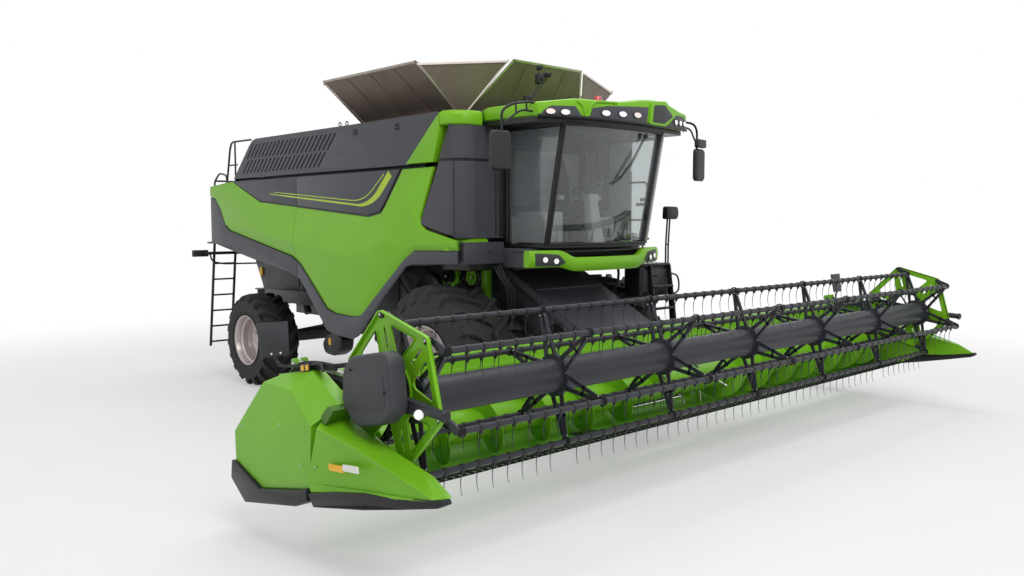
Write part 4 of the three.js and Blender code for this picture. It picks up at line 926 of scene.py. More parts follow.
def engine_hood():
    shape = Shape()
    rows = slots([(3.585, 3.80, 2.06, 21), (3.36, 3.56, 2.33, 20)], 0.117, 1.02)
    hood_side(shape, -HOOD_X, -HOOD_X + 0.03, 0.455, HOOD_FRONT + 0.02, rows)
    hood_side(shape, LEFT_WALL - 0.03, LEFT_WALL, 2.21, 2.21, slots([(3.42, 3.76, 2.5, 16)], 0.117, 1.02))
    shape.box((-HOOD_X + 0.005, 2.21, HOOD_TOP - 0.02), (LEFT_WALL - 0.005, HOOD_REAR - 0.08, HOOD_TOP),
              DARK, 0.006)
    shape.box((-HOOD_X + 0.005, HOOD_FRONT + 0.04, HOOD_TOP - 0.02), (-1.14, 2.22, HOOD_TOP), DARK, 0.006)
    shape.box((-1.55, 1.9, HOOD_TOP), (-1.2, 3.3, HOOD_TOP + 0.016), DARK, 0.008)
    # The engine deck's top: an air intake box and the exhaust.
    shape.box((-0.95, 2.62, HOOD_TOP), (-0.15, 3.75, HOOD_TOP + 0.07), BLACK, 0.02)
    for k in range(9):
        shape.box((-0.90, 2.70 + k * 0.11, HOOD_TOP + 0.068), (-0.20, 2.75 + k * 0.11, HOOD_TOP + 0.082),
                  TRIM, 0.004)
    shape.turned([(0, 0), (0, 0.10), (0.25, 0.10), (0.25, 0.09), (0.05, 0.085), (0.05, 0)],
                 (0.55, 3.05, HOOD_TOP - 0.02),
                 (0, 0, 1), STEEL, 20)
    # The sloping radiator screen at the rear: a frame with slats.
    run = Vector((0, HOOD_TAIL - HOOD_REAR, HOOD_FOOT - HOOD_TOP))
    length = run.length
    along = run.normalized()
    out = Vector((0, -along.z, along.y))

    def on_slope(u, v, w):
        return Vector((u, HOOD_REAR, HOOD_TOP)) + along * v + out * w

    def slope_box(u0, u1, v0, v1, w0, w1, material):
        verts = [on_slope(u, v, w) for u in (u0, u1) for v in (v0, v1) for w in (w0, w1)]
        faces = [(0, 1, 3, 2), (4, 6, 7, 5), (0, 4, 5, 1), (2, 3, 7, 6), (0, 2, 6, 4), (1, 5, 7, 3)]
        shape.bevel(shape.add(verts, faces, material), 0.004, 2)

    left, right = -HOOD_X + 0.01, LEFT_WALL - 0.01
    for u in (left, -0.68, 0.28, right - 0.05):
        slope_box(u, u + 0.05, 0.02, length, -0.05, -0.012, DARK)
    slope_box(left, right, 0.0, 0.07, -0.05, -0.01, DARK)
    slope_box(left, right, length - 0.08, length, -0.05, -0.01, DARK)
    for k in range(13):
        v = 0.11 + k * (length - 0.22) / 12
        slope_box(left + 0.02, right - 0.02, v, v + 0.012, -0.055, -0.02, BLACK)
    # Handles and lifting eyes on the right side.
    for y in (1.60, 0.67):
        shape.box((-HOOD_X - 0.004, y - 0.035, 3.735), (-HOOD_X + 0.004, y + 0.035, 3.815), BLACK, 0.004)
        shape.tube([(-HOOD_X - 0.006, y + 0.015, 3.80), (-HOOD_X - 0.03, y + 0.015, 3.79),
                    (-HOOD_X - 0.03, y + 0.01, 3.745),
                    (-HOOD_X - 0.006, y + 0.01, 3.735)], 0.007, TRIM, 8)
    for y in (2.03, 1.86):
        shape.tube([(-1.60, y + 0.028 * math.cos(a), HOOD_TOP + 0.03 + 0.028 * math.sin(a))
                    for a in (2 * math.pi * k / 12 for k in range(12))], 0.007, BLACK, 6, loop=True)
    shape.piece("hood_engine", "chassis", "dark_paint", replaces=["engine_hood"])


engine_hood()


# ---- Cab ----

CAB_HALF, CAB_FRONT, CAB_FLOOR, CAB_HEAD, CAB_LEAN = 0.905, -1.18, 2.33, 3.69, 0.26


def lean(z):
    """The y of the cab's leaning front post at a height."""
    return CAB_FRONT - CAB_LEAN * (z - CAB_FLOOR) / (CAB_HEAD - CAB_FLOOR)


def bow(x, half, corner, nose):
    """The y of a bowed front whose corners stand at y = corner and whose middle stands at y = nose."""
    return corner + (nose - corner) * (1 - (x / half) ** 2)


ROOF_HALF = 1.24
ROOF_LEFT = 1.33


def visor_rise(x):
    """How much higher the visor stands towards the left pods."""
    t = max(0.0, min(1.0, (x + 0.35) / 0.95))
    fall = max(0.0, min(1.0, (x - 0.80) / 0.4))
    return 0.09 * t * t * (3 - 2 * t) - 0.03 * fall


def roof_y(x):
    return bow(x, ROOF_HALF, -1.38, -1.635) if x < 0 else bow(x, ROOF_LEFT, -1.50, -1.635)


def on_front(line, surface, out):
    """Points of an [x, z] line laid on a bowed front, standing out from it."""
    return [(x, surface(x) - out, z) for x, z in line]


def bowed_panel(shape, outline, surface, out, back, material, bevel=0.006):
    """A panel with an [x, z] outline that follows a bowed front, cut into strips so that it bends."""
    faces = shape.prism(outline, "y", -out, back, material, bevel, 2)
    low, high = min(p[0] for p in outline), max(p[0] for p in outline)
    verts = {v for f in faces for v in f.verts}
    edges = {e for f in faces for e in f.edges}
    for k in range(1, 8):
        cut = bmesh.ops.bisect_plane(shape.bm, geom=list(verts) + list(edges) + list(faces),
                                     plane_co=(low + (high - low) * k / 8, 0, 0), plane_no=(1, 0, 0))
        faces = [f for f in cut["geom"] if isinstance(f, bmesh.types.BMFace)]
        verts = {v for f in faces for v in f.verts}
        edges = {e for f in faces for e in f.edges}
    for v in verts:
        v.co.y += surface(v.co.x)


def oval_lamp(shape, x, z, wide, tall, surface, out, glass=None):
    """A lamp with a dark rim, set on a bowed front."""
    facing = Vector((surface(x + 0.02) - surface(x - 0.02), -0.04, 0)).normalized()
    centre = Vector((x, surface(x) - out, z))
    side = Vector((-facing.y, facing.x, 0))
    for scale, deep, shine in ((1.0, 0.014, TRIM), (0.86, 0.02, glass or LAMP)):
        rings = []
        for push, grow in ((-0.01, scale), (deep - 0.006, scale), (deep, scale * 0.93)):
            rings.append([centre + facing * push + side * wide * grow * math.cos(a) + Vector((0, 0, tall * grow * math.sin(a)))
                          for a in (2 * math.pi * k / 28 for k in range(28))])
        shape.loft(rings, shine)


def cab_roof():
    shape = Shape()
    rows = []
    front = [x / 12 * (ROOF_HALF if x < 0 else ROOF_LEFT) for x in range(-12, 13)]
    outline = [(x, roof_y(x)) for x in front]
    outline += [(1.355, -1.42), (1.35, -1.22), (1.32, -0.80), (1.30, -0.62), (1.28, -0.53), (1.0, -0.14),
                (-1.0, -0.14), (-1.28, -0.53),
                (-1.30, -0.62), (-1.28, -1.05), (-1.27, -1.30)]
    centre = Vector((0, -0.8))
    for inset, z in ((0.06, 3.757), (0.012, 3.772), (0.0, 3.80), (0.0, 3.93), (0.012, 3.962),
                     (0.045, 3.978), (0.10, 3.982)):
        ring = []
        for x, y in outline:
            toward = (centre - Vector((x, y))).normalized()
            at = Vector((x, y)) + toward * inset
            drop = 0.06 * max(0.0, min(1.0, (abs(x) - 0.80) / 0.45)) if z > 3.9 else 0
            lift = visor_rise(x) * max(0.0, min(1.0, (-1.0 - y) / 0.4)) if z > 3.9 else 0
            ring.append((at.x, at.y, z - drop + lift))
        rows.append(ring)
    shape.loft(rows, GREEN)
    # A black underside that overhangs the glass.
    under = [(x * 0.97, y + 0.05) for x, y in outline]
    shape.loft([[(x, y, z) for x, y in under] for z in (3.70, 3.765)], BLACK)
    lip = [(x, roof_y(x) - 0.004) for x in front]
    shape.tube([(x, y, 3.765) for x, y in lip], 0.016, BLACK, 8)
    # Dark lamp panels let into the visor.
    central = rounded([(-0.61, 3.765), (-0.57, 3.88), (-0.32, 3.92), (0.39, 3.965), (0.35, 3.765)], 0.02)
    bowed_panel(shape, central, roof_y, 0.010, 0.05, DARK)
    for x, z in ((-0.39, 3.832), (-0.12, 3.84), (0.15, 3.85)):
        oval_lamp(shape, x, z, 0.075, 0.038, roof_y, 0.010, LAMP if x < 0 else LAMP_WARM)
    pod = rounded([(-1.21, 3.765), (-1.18, 3.82), (-1.10, 3.875), (-0.80, 3.885), (-0.71, 3.765)], 0.022)
    bowed_panel(shape, pod, roof_y, 0.008, 0.05, DARK)
    for x in (-1.11, -0.935):
        oval_lamp(shape, x, 3.81, 0.068, 0.036, roof_y, 0.010, LAMP_WARM if x < -1 else LAMP)
    frame_out = rounded([(0.39, 3.765), (0.43, 4.04), (0.76, 4.07), (1.0, 3.91), (0.76, 3.765)], 0.03)
    bowed_panel(shape, frame_out, roof_y, 0.022, 0.04, GREEN, 0.01)
    frame_in = rounded([(0.46, 3.795), (0.49, 4.0), (0.73, 4.02), (0.925, 3.90), (0.72, 3.795)], 0.025)
    bowed_panel(shape, frame_in, roof_y, 0.027, 0.02, CHARCOAL)
    left = rounded([(0.83, 3.765), (1.05, 3.93), (1.24, 3.925), (1.315, 3.86), (1.30, 3.765)], 0.02)
    bowed_panel(shape, left, roof_y, 0.010, 0.05, DARK)
    for x in (1.01, 1.13, 1.24):
        oval_lamp(shape, x, 3.835, 0.038, 0.038, roof_y, 0.010, LAMP)
    # Green ribs of the visor between the panels.
    for points in ([(-0.655, 3.78), (-0.60, 3.90), (-0.53, 3.955), (-0.20, 3.965)],
                   [(-0.665, 3.78), (-0.70, 3.90), (-0.78, 3.945)]):
        shape.tube(soft_line(on_front(points, roof_y, 0.004), 0.04), 0.014, GREEN, 8)
    # Beacons, lifting eye and a camera mast.
    for x, y in ((-0.16, -1.30), (1.12, -1.22)):
        foot = 3.965 if x < 0 else 3.93
        shape.turned([(0, 0), (0, 0.054), (0.012, 0.054), (0.02, 0.046), (0.095, 0.046), (0.112, 0.036),
                      (0.118, 0)],
                     (x, y, foot), (0, 0, 1), RED, 24)
        shape.disc((x, y, foot - 0.012), (0, 0, 1), 0.062, 0.024, BLACK)
    shape.tube([(-0.55, -1.2, 3.965), (-0.55, -1.2, 4.01)], 0.008, BLACK, 8)
    ring = [(-0.55 + u, -1.2, 4.03 + v) for u, v in circle(0, 0, 0.025, 12)]
    shape.tube(ring, 0.006, BLACK, 8, loop=True)
    mast = soft_line([(-0.66, -0.62, 3.90), (-0.66, -0.62, 4.07), (-0.36, -0.60, 4.36)], 0.05)
    shape.tube(mast, 0.009, BLACK, 8)
    shape.tube([p + Vector((0.05, 0, -0.01)) for p in mast], 0.009, BLACK, 8)
    for low, high in (((-0.50, -0.67, 4.27), (-0.42, -0.58, 4.39)),
                      ((-0.36, -0.66, 4.36), (-0.29, -0.57, 4.42)),
                      ((-0.70, -0.67, 4.03), (-0.62, -0.58, 4.11)),
                      ((-0.50, -0.66, 4.43), (-0.45, -0.60, 4.49))):
        shape.box(low, high, TRIM, 0.012, 3)
        shape.turned([(0, 0), (0, 0.03), (0.018, 0.026), (0.02, 0)],
                     ((low[0] + high[0]) / 2, low[1], (low[2] + high[2]) / 2), (0, -1, 0), BLACK, 18)
    shape.tube([(-0.47, -0.62, 4.33), (-0.47, -0.62, 4.45)], 0.007, BLACK, 8)
    shape.tube([(-0.40, -0.61, 4.33), (-0.33, -0.61, 4.38)], 0.007, BLACK, 8)
    # Mirrors on their bent brackets, a tall one and a wide-angle one on each side.
    for s, mx, tall, reach in ((-1, -1.73, 3.36, 0.21), (1, 1.68, 3.34, 0.21)):
        y = -1.30 if s < 0 else -1.44
        arm = soft_line([(s * 1.05, -1.30, 3.89), (s * 1.30, -1.32, 3.91), (s * 1.56, y - 0.02, 3.87),
                         (mx * 0.99, y, 3.79),
                         (mx * 0.985, y, tall + 0.1)], 0.08)
        shape.tube(arm, 0.015, BLACK, 10)
        brace = soft_line([(s * 1.12, -1.30, 3.81), (s * 1.46, y - 0.03, 3.81), (mx * 0.96, y, 3.66)], 0.08)
        shape.tube(brace, 0.012, BLACK, 10)
        for x in (1.36, 1.52):
            shape.tube([(s * x, -1.325, 3.80 if x < 1.5 else 3.77), (s * x, -1.32, 3.90)], 0.01, BLACK, 8)

        def turn(x, y, z, centre=mx, angle=math.radians(-8 if s < 0 else 10),
                 back=-1.30 if s < 0 else -1.46):
            return (centre + x * math.cos(angle) - y * math.sin(angle),
                    back + x * math.sin(angle) + y * math.cos(angle), z)

        plates = [(tall, reach, 0.13, 0.055, 0.0)] + ([(3.62, 0.055, 0.13, 0.03, -0.02)] if s > 0 else [])
        for mid, up, half, corner, push in plates:
            face = pane(-half, -up, half, up, corner, 6)
            rings = [[turn(x * g, d + push, mid + z * g) for x, z in face] for d,
                     g in ((-0.035, 0.80), (-0.030, 0.93), (-0.014, 1.0), (0.018, 1.0), (0.024, 0.97))]
            shape.loft(rings, TRIM)
            rings = [[turn(x * 0.86, d + push, mid + z * 0.91) for x, z in face] for d in (0.022, 0.026)]
            shape.loft(rings, MIRROR_GLASS)
    shape.piece("roof_cab", "chassis", "body_green", replaces=["cab_roof"])


def cab_shell():
    """Posts, floor and rear wall, with the lining, the wipers and the fine black edges of the glass."""
    shape = Shape()
    for s in (-1, 1):
        foot, head = CAB_FLOOR - 0.01, CAB_HEAD + 0.02
        outer, wide = s * CAB_HALF, 0.045 if s < 0 else 0.085
        post = [(lean(foot) - 0.01, foot), (lean(head) - 0.01, head), (lean(head) + wide, head),
                (lean(foot) + wide, foot)]
        shape.prism(post, "x", *sorted((outer, outer - s * 0.035)), BLACK if s < 0 else DARK, 0.008, 3)
        strip = [(lean(foot) - 0.045, foot), (lean(head) - 0.045, head), (lean(head) - 0.014, head),
                 (lean(foot) - 0.014, foot)]
        shape.prism(strip, "x", *sorted((outer, outer - s * 0.02)), CREAM if s > 0 else BLACK, 0.006, 2)
        # Dark panels between the side window and the corner compartment.
        shape.box((min(outer, outer - s * 0.05), -0.555, CAB_FLOOR - 0.01),
                  (max(outer, outer - s * 0.05), -0.125, 3.74), BLACK, 0.01)
        if s > 0:
            shape.box((0.845, -0.53, 2.45), (0.857, -0.20, 3.60), CREAM, 0.004)
        shape.box((min(outer - s * 0.002, outer + s * 0.004), -0.535, 2.36),
                  (max(outer - s * 0.002, outer + s * 0.004), -0.50, 3.70), DARK, 0.001)
        top = [(lean(3.68), 3.68), (-0.30, 3.68), (-0.30, 3.745), (lean(3.745), 3.745)]
        shape.prism(top, "x", *sorted((outer, outer - s * 0.05)), BLACK, 0.008)
        # Lining round the window and the sun-shade pads under the roof.
        shape.box((s * 0.70, -0.60, 3.52), (s * 0.86, -0.18, 3.68), CHARCOAL, 0.03, 3)
        shape.box((s * 0.74, -0.56, CAB_FLOOR), (s * 0.855, -0.17, 2.66), CREAM, 0.02, 3)
        shape.box((s * 0.78, -0.545, 2.6), (s * 0.85, -0.45, 3.6), CHARCOAL, 0.02, 3)
    # Floor with a raised pale mat, rear wall with its window, head rail.
    plan = [(x / 10 * 0.9, bow(x / 10 * 0.9, 0.905, -1.20, -1.31)) for x in range(-10, 11)]
    shape.prism([*plan, (0.9, -0.13), (-0.9, -0.13)], "z", 2.29, 2.327, BLACK, 0.006)
    sill = [(x * 0.985, y + 0.02) for x, y in plan]
    shape.prism([*sill, (0.86, -0.9), (-0.86, -0.9)], "z", 2.327, 2.345, DARK, 0.004)
    shape.tube([(x, y - 0.003, 2.335) for x, y in plan], 0.014, BLACK, 8)
    rear = pane(-0.9, 2.3, 0.9, 3.74)
    shape.prism(rear, "y", -0.16, -0.122, CHARCOAL, 0.006)
    shape.prism(pane(-0.86, 2.33, 0.86, 2.72), "y", -0.20, -0.158, CREAM, 0.015, 3)
    shape.prism(pane(-0.75, 2.80, 0.75, 3.50, 0.05), "y", -0.175, -0.159, CREAM, 0.004)
    shape.prism(pane(-0.87, 3.69, 0.87, 3.76), "y", -1.40, -0.14, CHARCOAL, 0.01)
    head_rail = [(x / 10 * 0.86, lean(3.70) + bow(x / 10 * 0.86, 0.905, 0.0, -0.11))
                 for x in range(-10, 11)]
    shape.tube([(x, y, 3.70) for x, y in head_rail], 0.022, BLACK, 8)
    shape.box((0.05, -1.44, 3.61), (0.30, -1.30, 3.69), CHARCOAL, 0.02, 3)
    for x in (-0.55, 0.55):
        shape.box((x - 0.14, -1.36, 3.60), (x + 0.14, -1.28, 3.69), TRIM, 0.02, 3)
    # Wipers: two slim arms from the head to one pivot low on the screen, and the blade beside them.

    def screen(x, z, out):
        return (x, lean(z) + bow(x, 0.846, 0, -0.11) - out, z)

    for dx in (0.0, 0.035):
        shape.tube([screen(0.42 + dx, 3.62, 0.03), screen(0.20 + dx, 3.30, 0.045),
                    screen(0.03 + dx * 0.5, 3.10, 0.035)], 0.006, BLACK, 8)
    shape.tube([screen(0.10, 3.14, 0.022), screen(-0.06, 3.04, 0.022)], 0.009, BLACK, 8)
    shape.disc(screen(0.44, 3.63, 0.03), (0, -1, 0.1), 0.03, 0.03, BLACK, 18)
    shape.piece("frame_cab", "chassis", "black_paint", replaces=["cab_frame"])


def cab_glazing():
    shape = Shape()
    wide, steps = 0.846, 24
    xs = [wide * (2 * k / steps - 1) for k in range(steps + 1)]
    plan = [(x, bow(x, wide, 0.0, -0.11)) for x in xs] + [(x, bow(x, wide, 0.008, -0.102))
                                                          for x in reversed(xs)]
    rings = [[(x, y + lean(z), z) for x, y in plan] for z in (2.337, 2.6, 2.9, 3.2, 3.5, 3.683)]
    shape.loft(rings, GLASS)
    shape.piece("glass_front", "chassis", "cab_glass", replaces=["windscreen"], smooth=40)
    side = Shape()
    def opening(margin):
        low, high, back = 2.345 + margin, 3.68 - margin, -0.545 - margin
        return rounded([(back, low), (lean(low) + 0.03 + margin, low), (lean(high) + 0.03 + margin, high),
                        (back, high)], 0.03)
    side.prism(opening(0.01), "x", -0.885, -0.877, GLASS_SIDE, 0.001)
    side.piece("glass_side", "chassis", "cab_glass", replaces=["side_glass"])
    door = Shape()
    door.cutout(opening(0.01), [opening(0.055)[::-1]], "x", 0.885, 0.922, BLACK, 0.006)
    door.prism(opening(0.045), "x", 0.898, 0.904, GLASS, 0.001)
    hoop = soft_line([(0.845, -0.98, 3.10), (0.845, -1.26, 3.10), (0.845, -1.26, 2.62),
                      (0.845, -0.98, 2.62)], 0.06)
    door.tube(hoop, 0.013, BLACK, 10)
    for z in (3.10, 2.62):
        door.tube([(0.845, -0.99, z), (0.89, -0.99, z)], 0.012, BLACK, 8)
    door.box((0.85, -1.22, 2.86), (0.90, -1.14, 2.90), BLACK, 0.008)
    door.box((0.918, -1.16, 2.80), (0.932, -1.02, 2.84), BLACK, 0.006)
    door.piece("door_cab", "cab_door", "black_paint", replaces=["cab_door"])


def cab_inside():
    seat = Shape()
    seat.loft([[(x * g, -0.66 + y * g, z) for x, y in pane(-0.24, -0.24, 0.24, 0.22, 0.08)]
               for z, g in ((2.66, 0.9), (2.68, 1.0), (2.75, 1.03), (2.785, 1.0), (2.80, 0.9))], SEAT)
    rings = []
    for z, thick, half in ((2.78, 0.05, 0.17), (2.84, 0.065, 0.225), (3.00, 0.075, 0.238),
                           (3.18, 0.07, 0.238), (3.34, 0.06, 0.21),
                           (3.42, 0.05, 0.17), (3.45, 0.02, 0.12)):
        y = -0.475 + (z - 2.78) * 0.15
        rings.append([(x, y + v, z) for x, v in pane(-half, -thick, half, thick, thick * 0.9)])
    seat.loft(rings, SEAT)
    cushion = seat.piece("seat_driver", "chassis", "seat_cloth", replaces=["cab_seat"], smooth=60)
    base = Shape()
    base.box((-0.17, -0.82, 2.335), (0.17, -0.50, 2.50), BLACK, 0.03, 3)
    for k in range(4):
        base.box((-0.19, -0.84 + k * 0.006, 2.50 + k * 0.035),
                 (0.19, -0.50 - k * 0.006, 2.525 + k * 0.035), TRIM, 0.01, 2)
    for s in (-1, 1):
        low, high = sorted((s * 0.29, s * 0.38))
        base.box((low, -0.90, 2.86), (high, -0.52, 2.92), CREAM, 0.02, 3)
        base.box((s * 0.28, -0.62, 2.6), (s * 0.33, -0.52, 2.88), CHARCOAL, 0.015)
    # Side console with the lever, its screen, and the small seat.
    base.box((-0.74, -1.0, 2.335), (-0.42, -0.30, 2.72), CREAM, 0.03, 3)
    base.box((-0.72, -0.98, 2.72), (-0.45, -0.50, 2.80), CHARCOAL, 0.02, 3)
    base.box((0.42, -0.80, 2.335), (0.76, -0.30, 2.66), CREAM, 0.03, 3)
    base.box((0.43, -0.79, 2.66), (0.75, -0.34, 2.74), CHARCOAL, 0.03, 3)
    base.tube(soft_line([(-0.58, -0.92, 2.80), (-0.58, -0.95, 3.02), (-0.56, -0.98, 3.06)], 0.02), 0.012,
              BLACK, 8)
    base.prism(pane(-0.70, 3.02, -0.42, 3.20, 0.02), "y", -1.0, -0.97, BLACK, 0.008)
    base.tube([(-0.56, -0.97, 3.03), (-0.56, -0.9, 2.80)], 0.012, BLACK, 8)
    base.tube([(-0.5, -0.8, 2.79), (-0.5, -0.83, 2.90)], 0.012, BLACK, 8)
    base.turned([(-0.03, 0), (-0.02, 0.024), (0.0, 0.03), (0.02, 0.024), (0.035, 0)], (-0.5, -0.835, 2.93),
                (0, 0, 1), BLACK, 16)
    base.piece("seat_base", "chassis", "black_paint", smooth=40)
    column = Shape()
    column.loft([[(x * g, -1.12 + lift + y * g, z) for x, y in pane(-0.09, -0.08, 0.09, 0.08, 0.04)]
                 for z, g, lift in ((2.336, 1.3, 0.0), (2.38, 1.1, 0.0), (2.6, 0.92, 0.03),
                                    (2.85, 0.8, 0.06), (2.92, 1.0, 0.07),
                                    (2.98, 0.95, 0.08))], CREAM)
    column.box((-0.13, -1.14, 2.93), (0.13, -1.04, 3.03), CHARCOAL, 0.03, 3)
    tilt = Matrix.Rotation(-0.35, 4, "X")
    hub = Vector((0, -1.01, 2.99))
    ring = [hub + tilt @ Vector((0.19 * math.cos(a), 0.19 * math.sin(a), 0.02))
            for a in (k * math.pi / 24 for k in range(48))]
    column.tube(ring, 0.016, BLACK, 10, loop=True)
    for a in (math.radians(d) for d in (-20, 200, 90)):
        column.tube([hub + tilt @ Vector((0.03 * math.cos(a), 0.03 * math.sin(a), 0.01)),
                     hub + tilt @ Vector((0.185 * math.cos(a), 0.185 * math.sin(a), 0.02))], 0.012, BLACK,
                     8)
    column.turned([(-0.02, 0), (-0.02, 0.05), (0.02, 0.06), (0.03, 0.05), (0.032, 0)], hub,
                  tilt @ Vector((0, 0, 1)), CHARCOAL, 24)
    for x in (-0.24, 0.16, 0.26):
        column.tube([(x, -1.05, 2.345), (x, -1.10, 2.42)], 0.012, BLACK, 8)
        column.prism(pane(x - 0.045, 2.40, x + 0.045, 2.52, 0.015),
                     "y", -1.135, -1.115, BLACK, 0.005)
    column.tube([(0.1, -1.08, 2.95), (0.24, -1.06, 3.0)], 0.008, BLACK, 8)
    column.piece("column_steering", "chassis", "black_paint", replaces=["steering_column"], smooth=40)


cab_roof()
cab_shell()
cab_glazing()
cab_inside()


# ---- Apron under the windscreen ----

def apron_y(x):
    return bow(x, 1.22, -1.16, -1.42)


def cab_apron():
    shape = Shape()
    columns = []
    for k in range(-30, 31):
        x = k / 30 * (1.17 if k < 0 else 1.22)
        y = apron_y(x)
        rise = max(0.0, min(1.0, (abs(x) - 0.55) / 0.25))
        rise = rise * rise * (3 - 2 * rise)
        top = 2.185 + 0.085 * rise
        low = 2.02 + 0.055 * rise
        inner = 0.10
        columns.append([(x, y + inner, top - 0.01), (x, y + 0.05, top), (x, y + 0.025, top - 0.004),
                        (x, y + 0.004, top - 0.04),
                        (x, y, (top + low) / 2), (x, y + 0.012, low + 0.03), (x, y + 0.035, low),
                        (x, y + inner, low + 0.005)])
    shape.loft(columns, GREEN)
    for s in (-1, 1):
        recess = rounded([(s * 1.10, 2.095), (s * 1.11, 2.24), (s * 0.82, 2.22), (s * 0.73, 2.125),
                          (s * 0.83, 2.085)][::s], 0.02)
        bowed_panel(shape, recess, apron_y, 0.006, 0.06, CHARCOAL, 0.006)
        for x, z, r in ((1.0, 2.163, 0.038), (0.865, 2.145, 0.038)):
            oval_lamp(shape, s * x, z, r, r, apron_y, 0.008, LAMP)
    # Dark shelf behind it.
    shape.prism([(-1.25, -1.02), (-0.9, -1.14), (-0.5, -1.24), (0, -1.29), (0.5, -1.24), (0.9, -1.14),
                 (1.25, -1.02), (1.25, -0.99), (-1.25, -0.99)],
                "z", 2.24, 2.262, BLACK, 0.004)
    shape.piece("apron_cab", "chassis", "body_green", replaces=["cab_apron"], smooth=38)


cab_apron()


# ---- Header: end shields ----

SHIELD_IN, SHIELD_TIP = -4.585, -3.66


def shield(side):
    """The faceted rear cover, the pointed divider, the groove between in darker green as painted shade, and the
    skirt, drawn for the right.
    """
    shape = Shape()
    rear = {"A": (-1.165, 0.574, -4.85), "B": (-1.10, 0.321, -4.835), "C": (-1.497, 0.099, -4.82),
            "E": (-2.255, 0.12, -4.82),
            "F": (-2.415, 0.60, -4.85), "N": (-1.66, 0.955, -4.80), "I": (-2.13, 0.875, -4.83),
            "M": (-1.76, 1.0, -4.68),
            "J": (-2.24, 0.998, -4.68), "K": (-2.60, 0.735, -4.70)}
    shape.facets(rear, ["ABCEF", "AFIN", "FKI", "KJI", "NIJM"], SHIELD_IN, GREEN_DEEP, rim=0.012,
                 crease=0.01)
    front = {"P": (-2.496, 0.583, -4.85), "Q": (-2.285, 0.19, -4.85), "q": (-2.272, 0.10, -4.825),
             "V": (-2.966, 0.12, -4.80),
             "W": (-3.25, 0.09, -4.77), "U": (-3.60, 0.082, -4.69), "R": (-2.969, 0.439, -4.835),
             "T": (-2.386, 0.704, -4.66),
             "S": (-2.80, 0.482, -4.66), "X": (-3.489, 0.215, -4.64), "Z": (SHIELD_TIP, 0.085, -4.625)}
    shape.facets(front, ["PQUR", "QqVWU", "PRST", "RUXS", "UZX"], SHIELD_IN, GREEN_DEEP, rim=0.01,
                 crease=0.008)
    # The groove is set back and painted darker green: painted shade in the recess between the two parts.
    groove = [(-2.24, 0.10), (-2.24, 0.20), (-2.40, 0.62), (-2.58, 0.735), (-2.66, 0.70), (-2.47, 0.56),
              (-2.27, 0.18), (-2.27, 0.10)]
    shape.prism(groove, "x", -4.79, SHIELD_IN, GREEN_SHADE, 0.004)
    # Black skirts along the bottom of both parts.
    skirt = [(-1.06, 0.33), (-1.013, 0.178), (-1.225, -0.02), (-2.067, -0.008), (-2.255, 0.036),
             (-2.262, 0.135), (-2.109, 0.116),
             (-1.497, 0.102), (-1.115, 0.321)]
    shape.prism(skirt, "x", -4.858, SHIELD_IN, BLACK, 0.01, 3)
    runner = [(-2.272, 0.10), (-2.331, 0.0), (-2.955, 0.01), (-3.30, 0.018), (-3.62, 0.03), (-3.69, 0.052),
              (-3.675, 0.085),
              (-3.25, 0.095), (-2.966, 0.125), (-2.6, 0.122)]
    faces = shape.prism(runner, "x", -4.855, SHIELD_IN, BLACK, 0.008, 3)
    for v in {v for f in faces for v in f.verts}:
        forward = max(0.0, min(1.0, (-2.8 - v.co.y) / 0.9))
        if v.co.x < -4.7:
            v.co.x += 0.18 * forward
        else:
            v.co.x -= 0.025 * forward
    # Reflector, catches and edge screws.
    for low, high, film in ((-2.80, -2.614, AMBER), (-2.985, -2.80, WHITE)):
        shape.prism([(low, 0.268), (high, 0.283), (high, 0.329), (low, 0.316)], "x", -4.8535, -4.84, film,
                    0.001)
    for y, z in ((-1.30, 0.62), (-1.95, 0.62), (-2.20, 0.30), (-2.42, 0.30), (-1.30, 0.28)):
        shape.bolt((-4.846, y, z), (-1, 0, 0), 0.009, STEEL)
    shape.prism([(-1.66, 0.99), (-2.20, 0.995), (-2.20, 1.008), (-1.66, 1.003)], "x", -4.66, -4.60,
                GREEN_DEEP, 0.003)
    if side == "left":
        shape.flip()
    shape.piece("shield_" + side, "header", "body_green", HEADER, replaces=["end_shield_" + side],
                smooth=18)


for side in SIDES:
    shield(side)


# ---- Header: trough, beams and cutterbar ----

HEAD_HALF, AUGER_Y, AUGER_Z, TROUGH = 4.57, -2.16, 0.35, 0.325


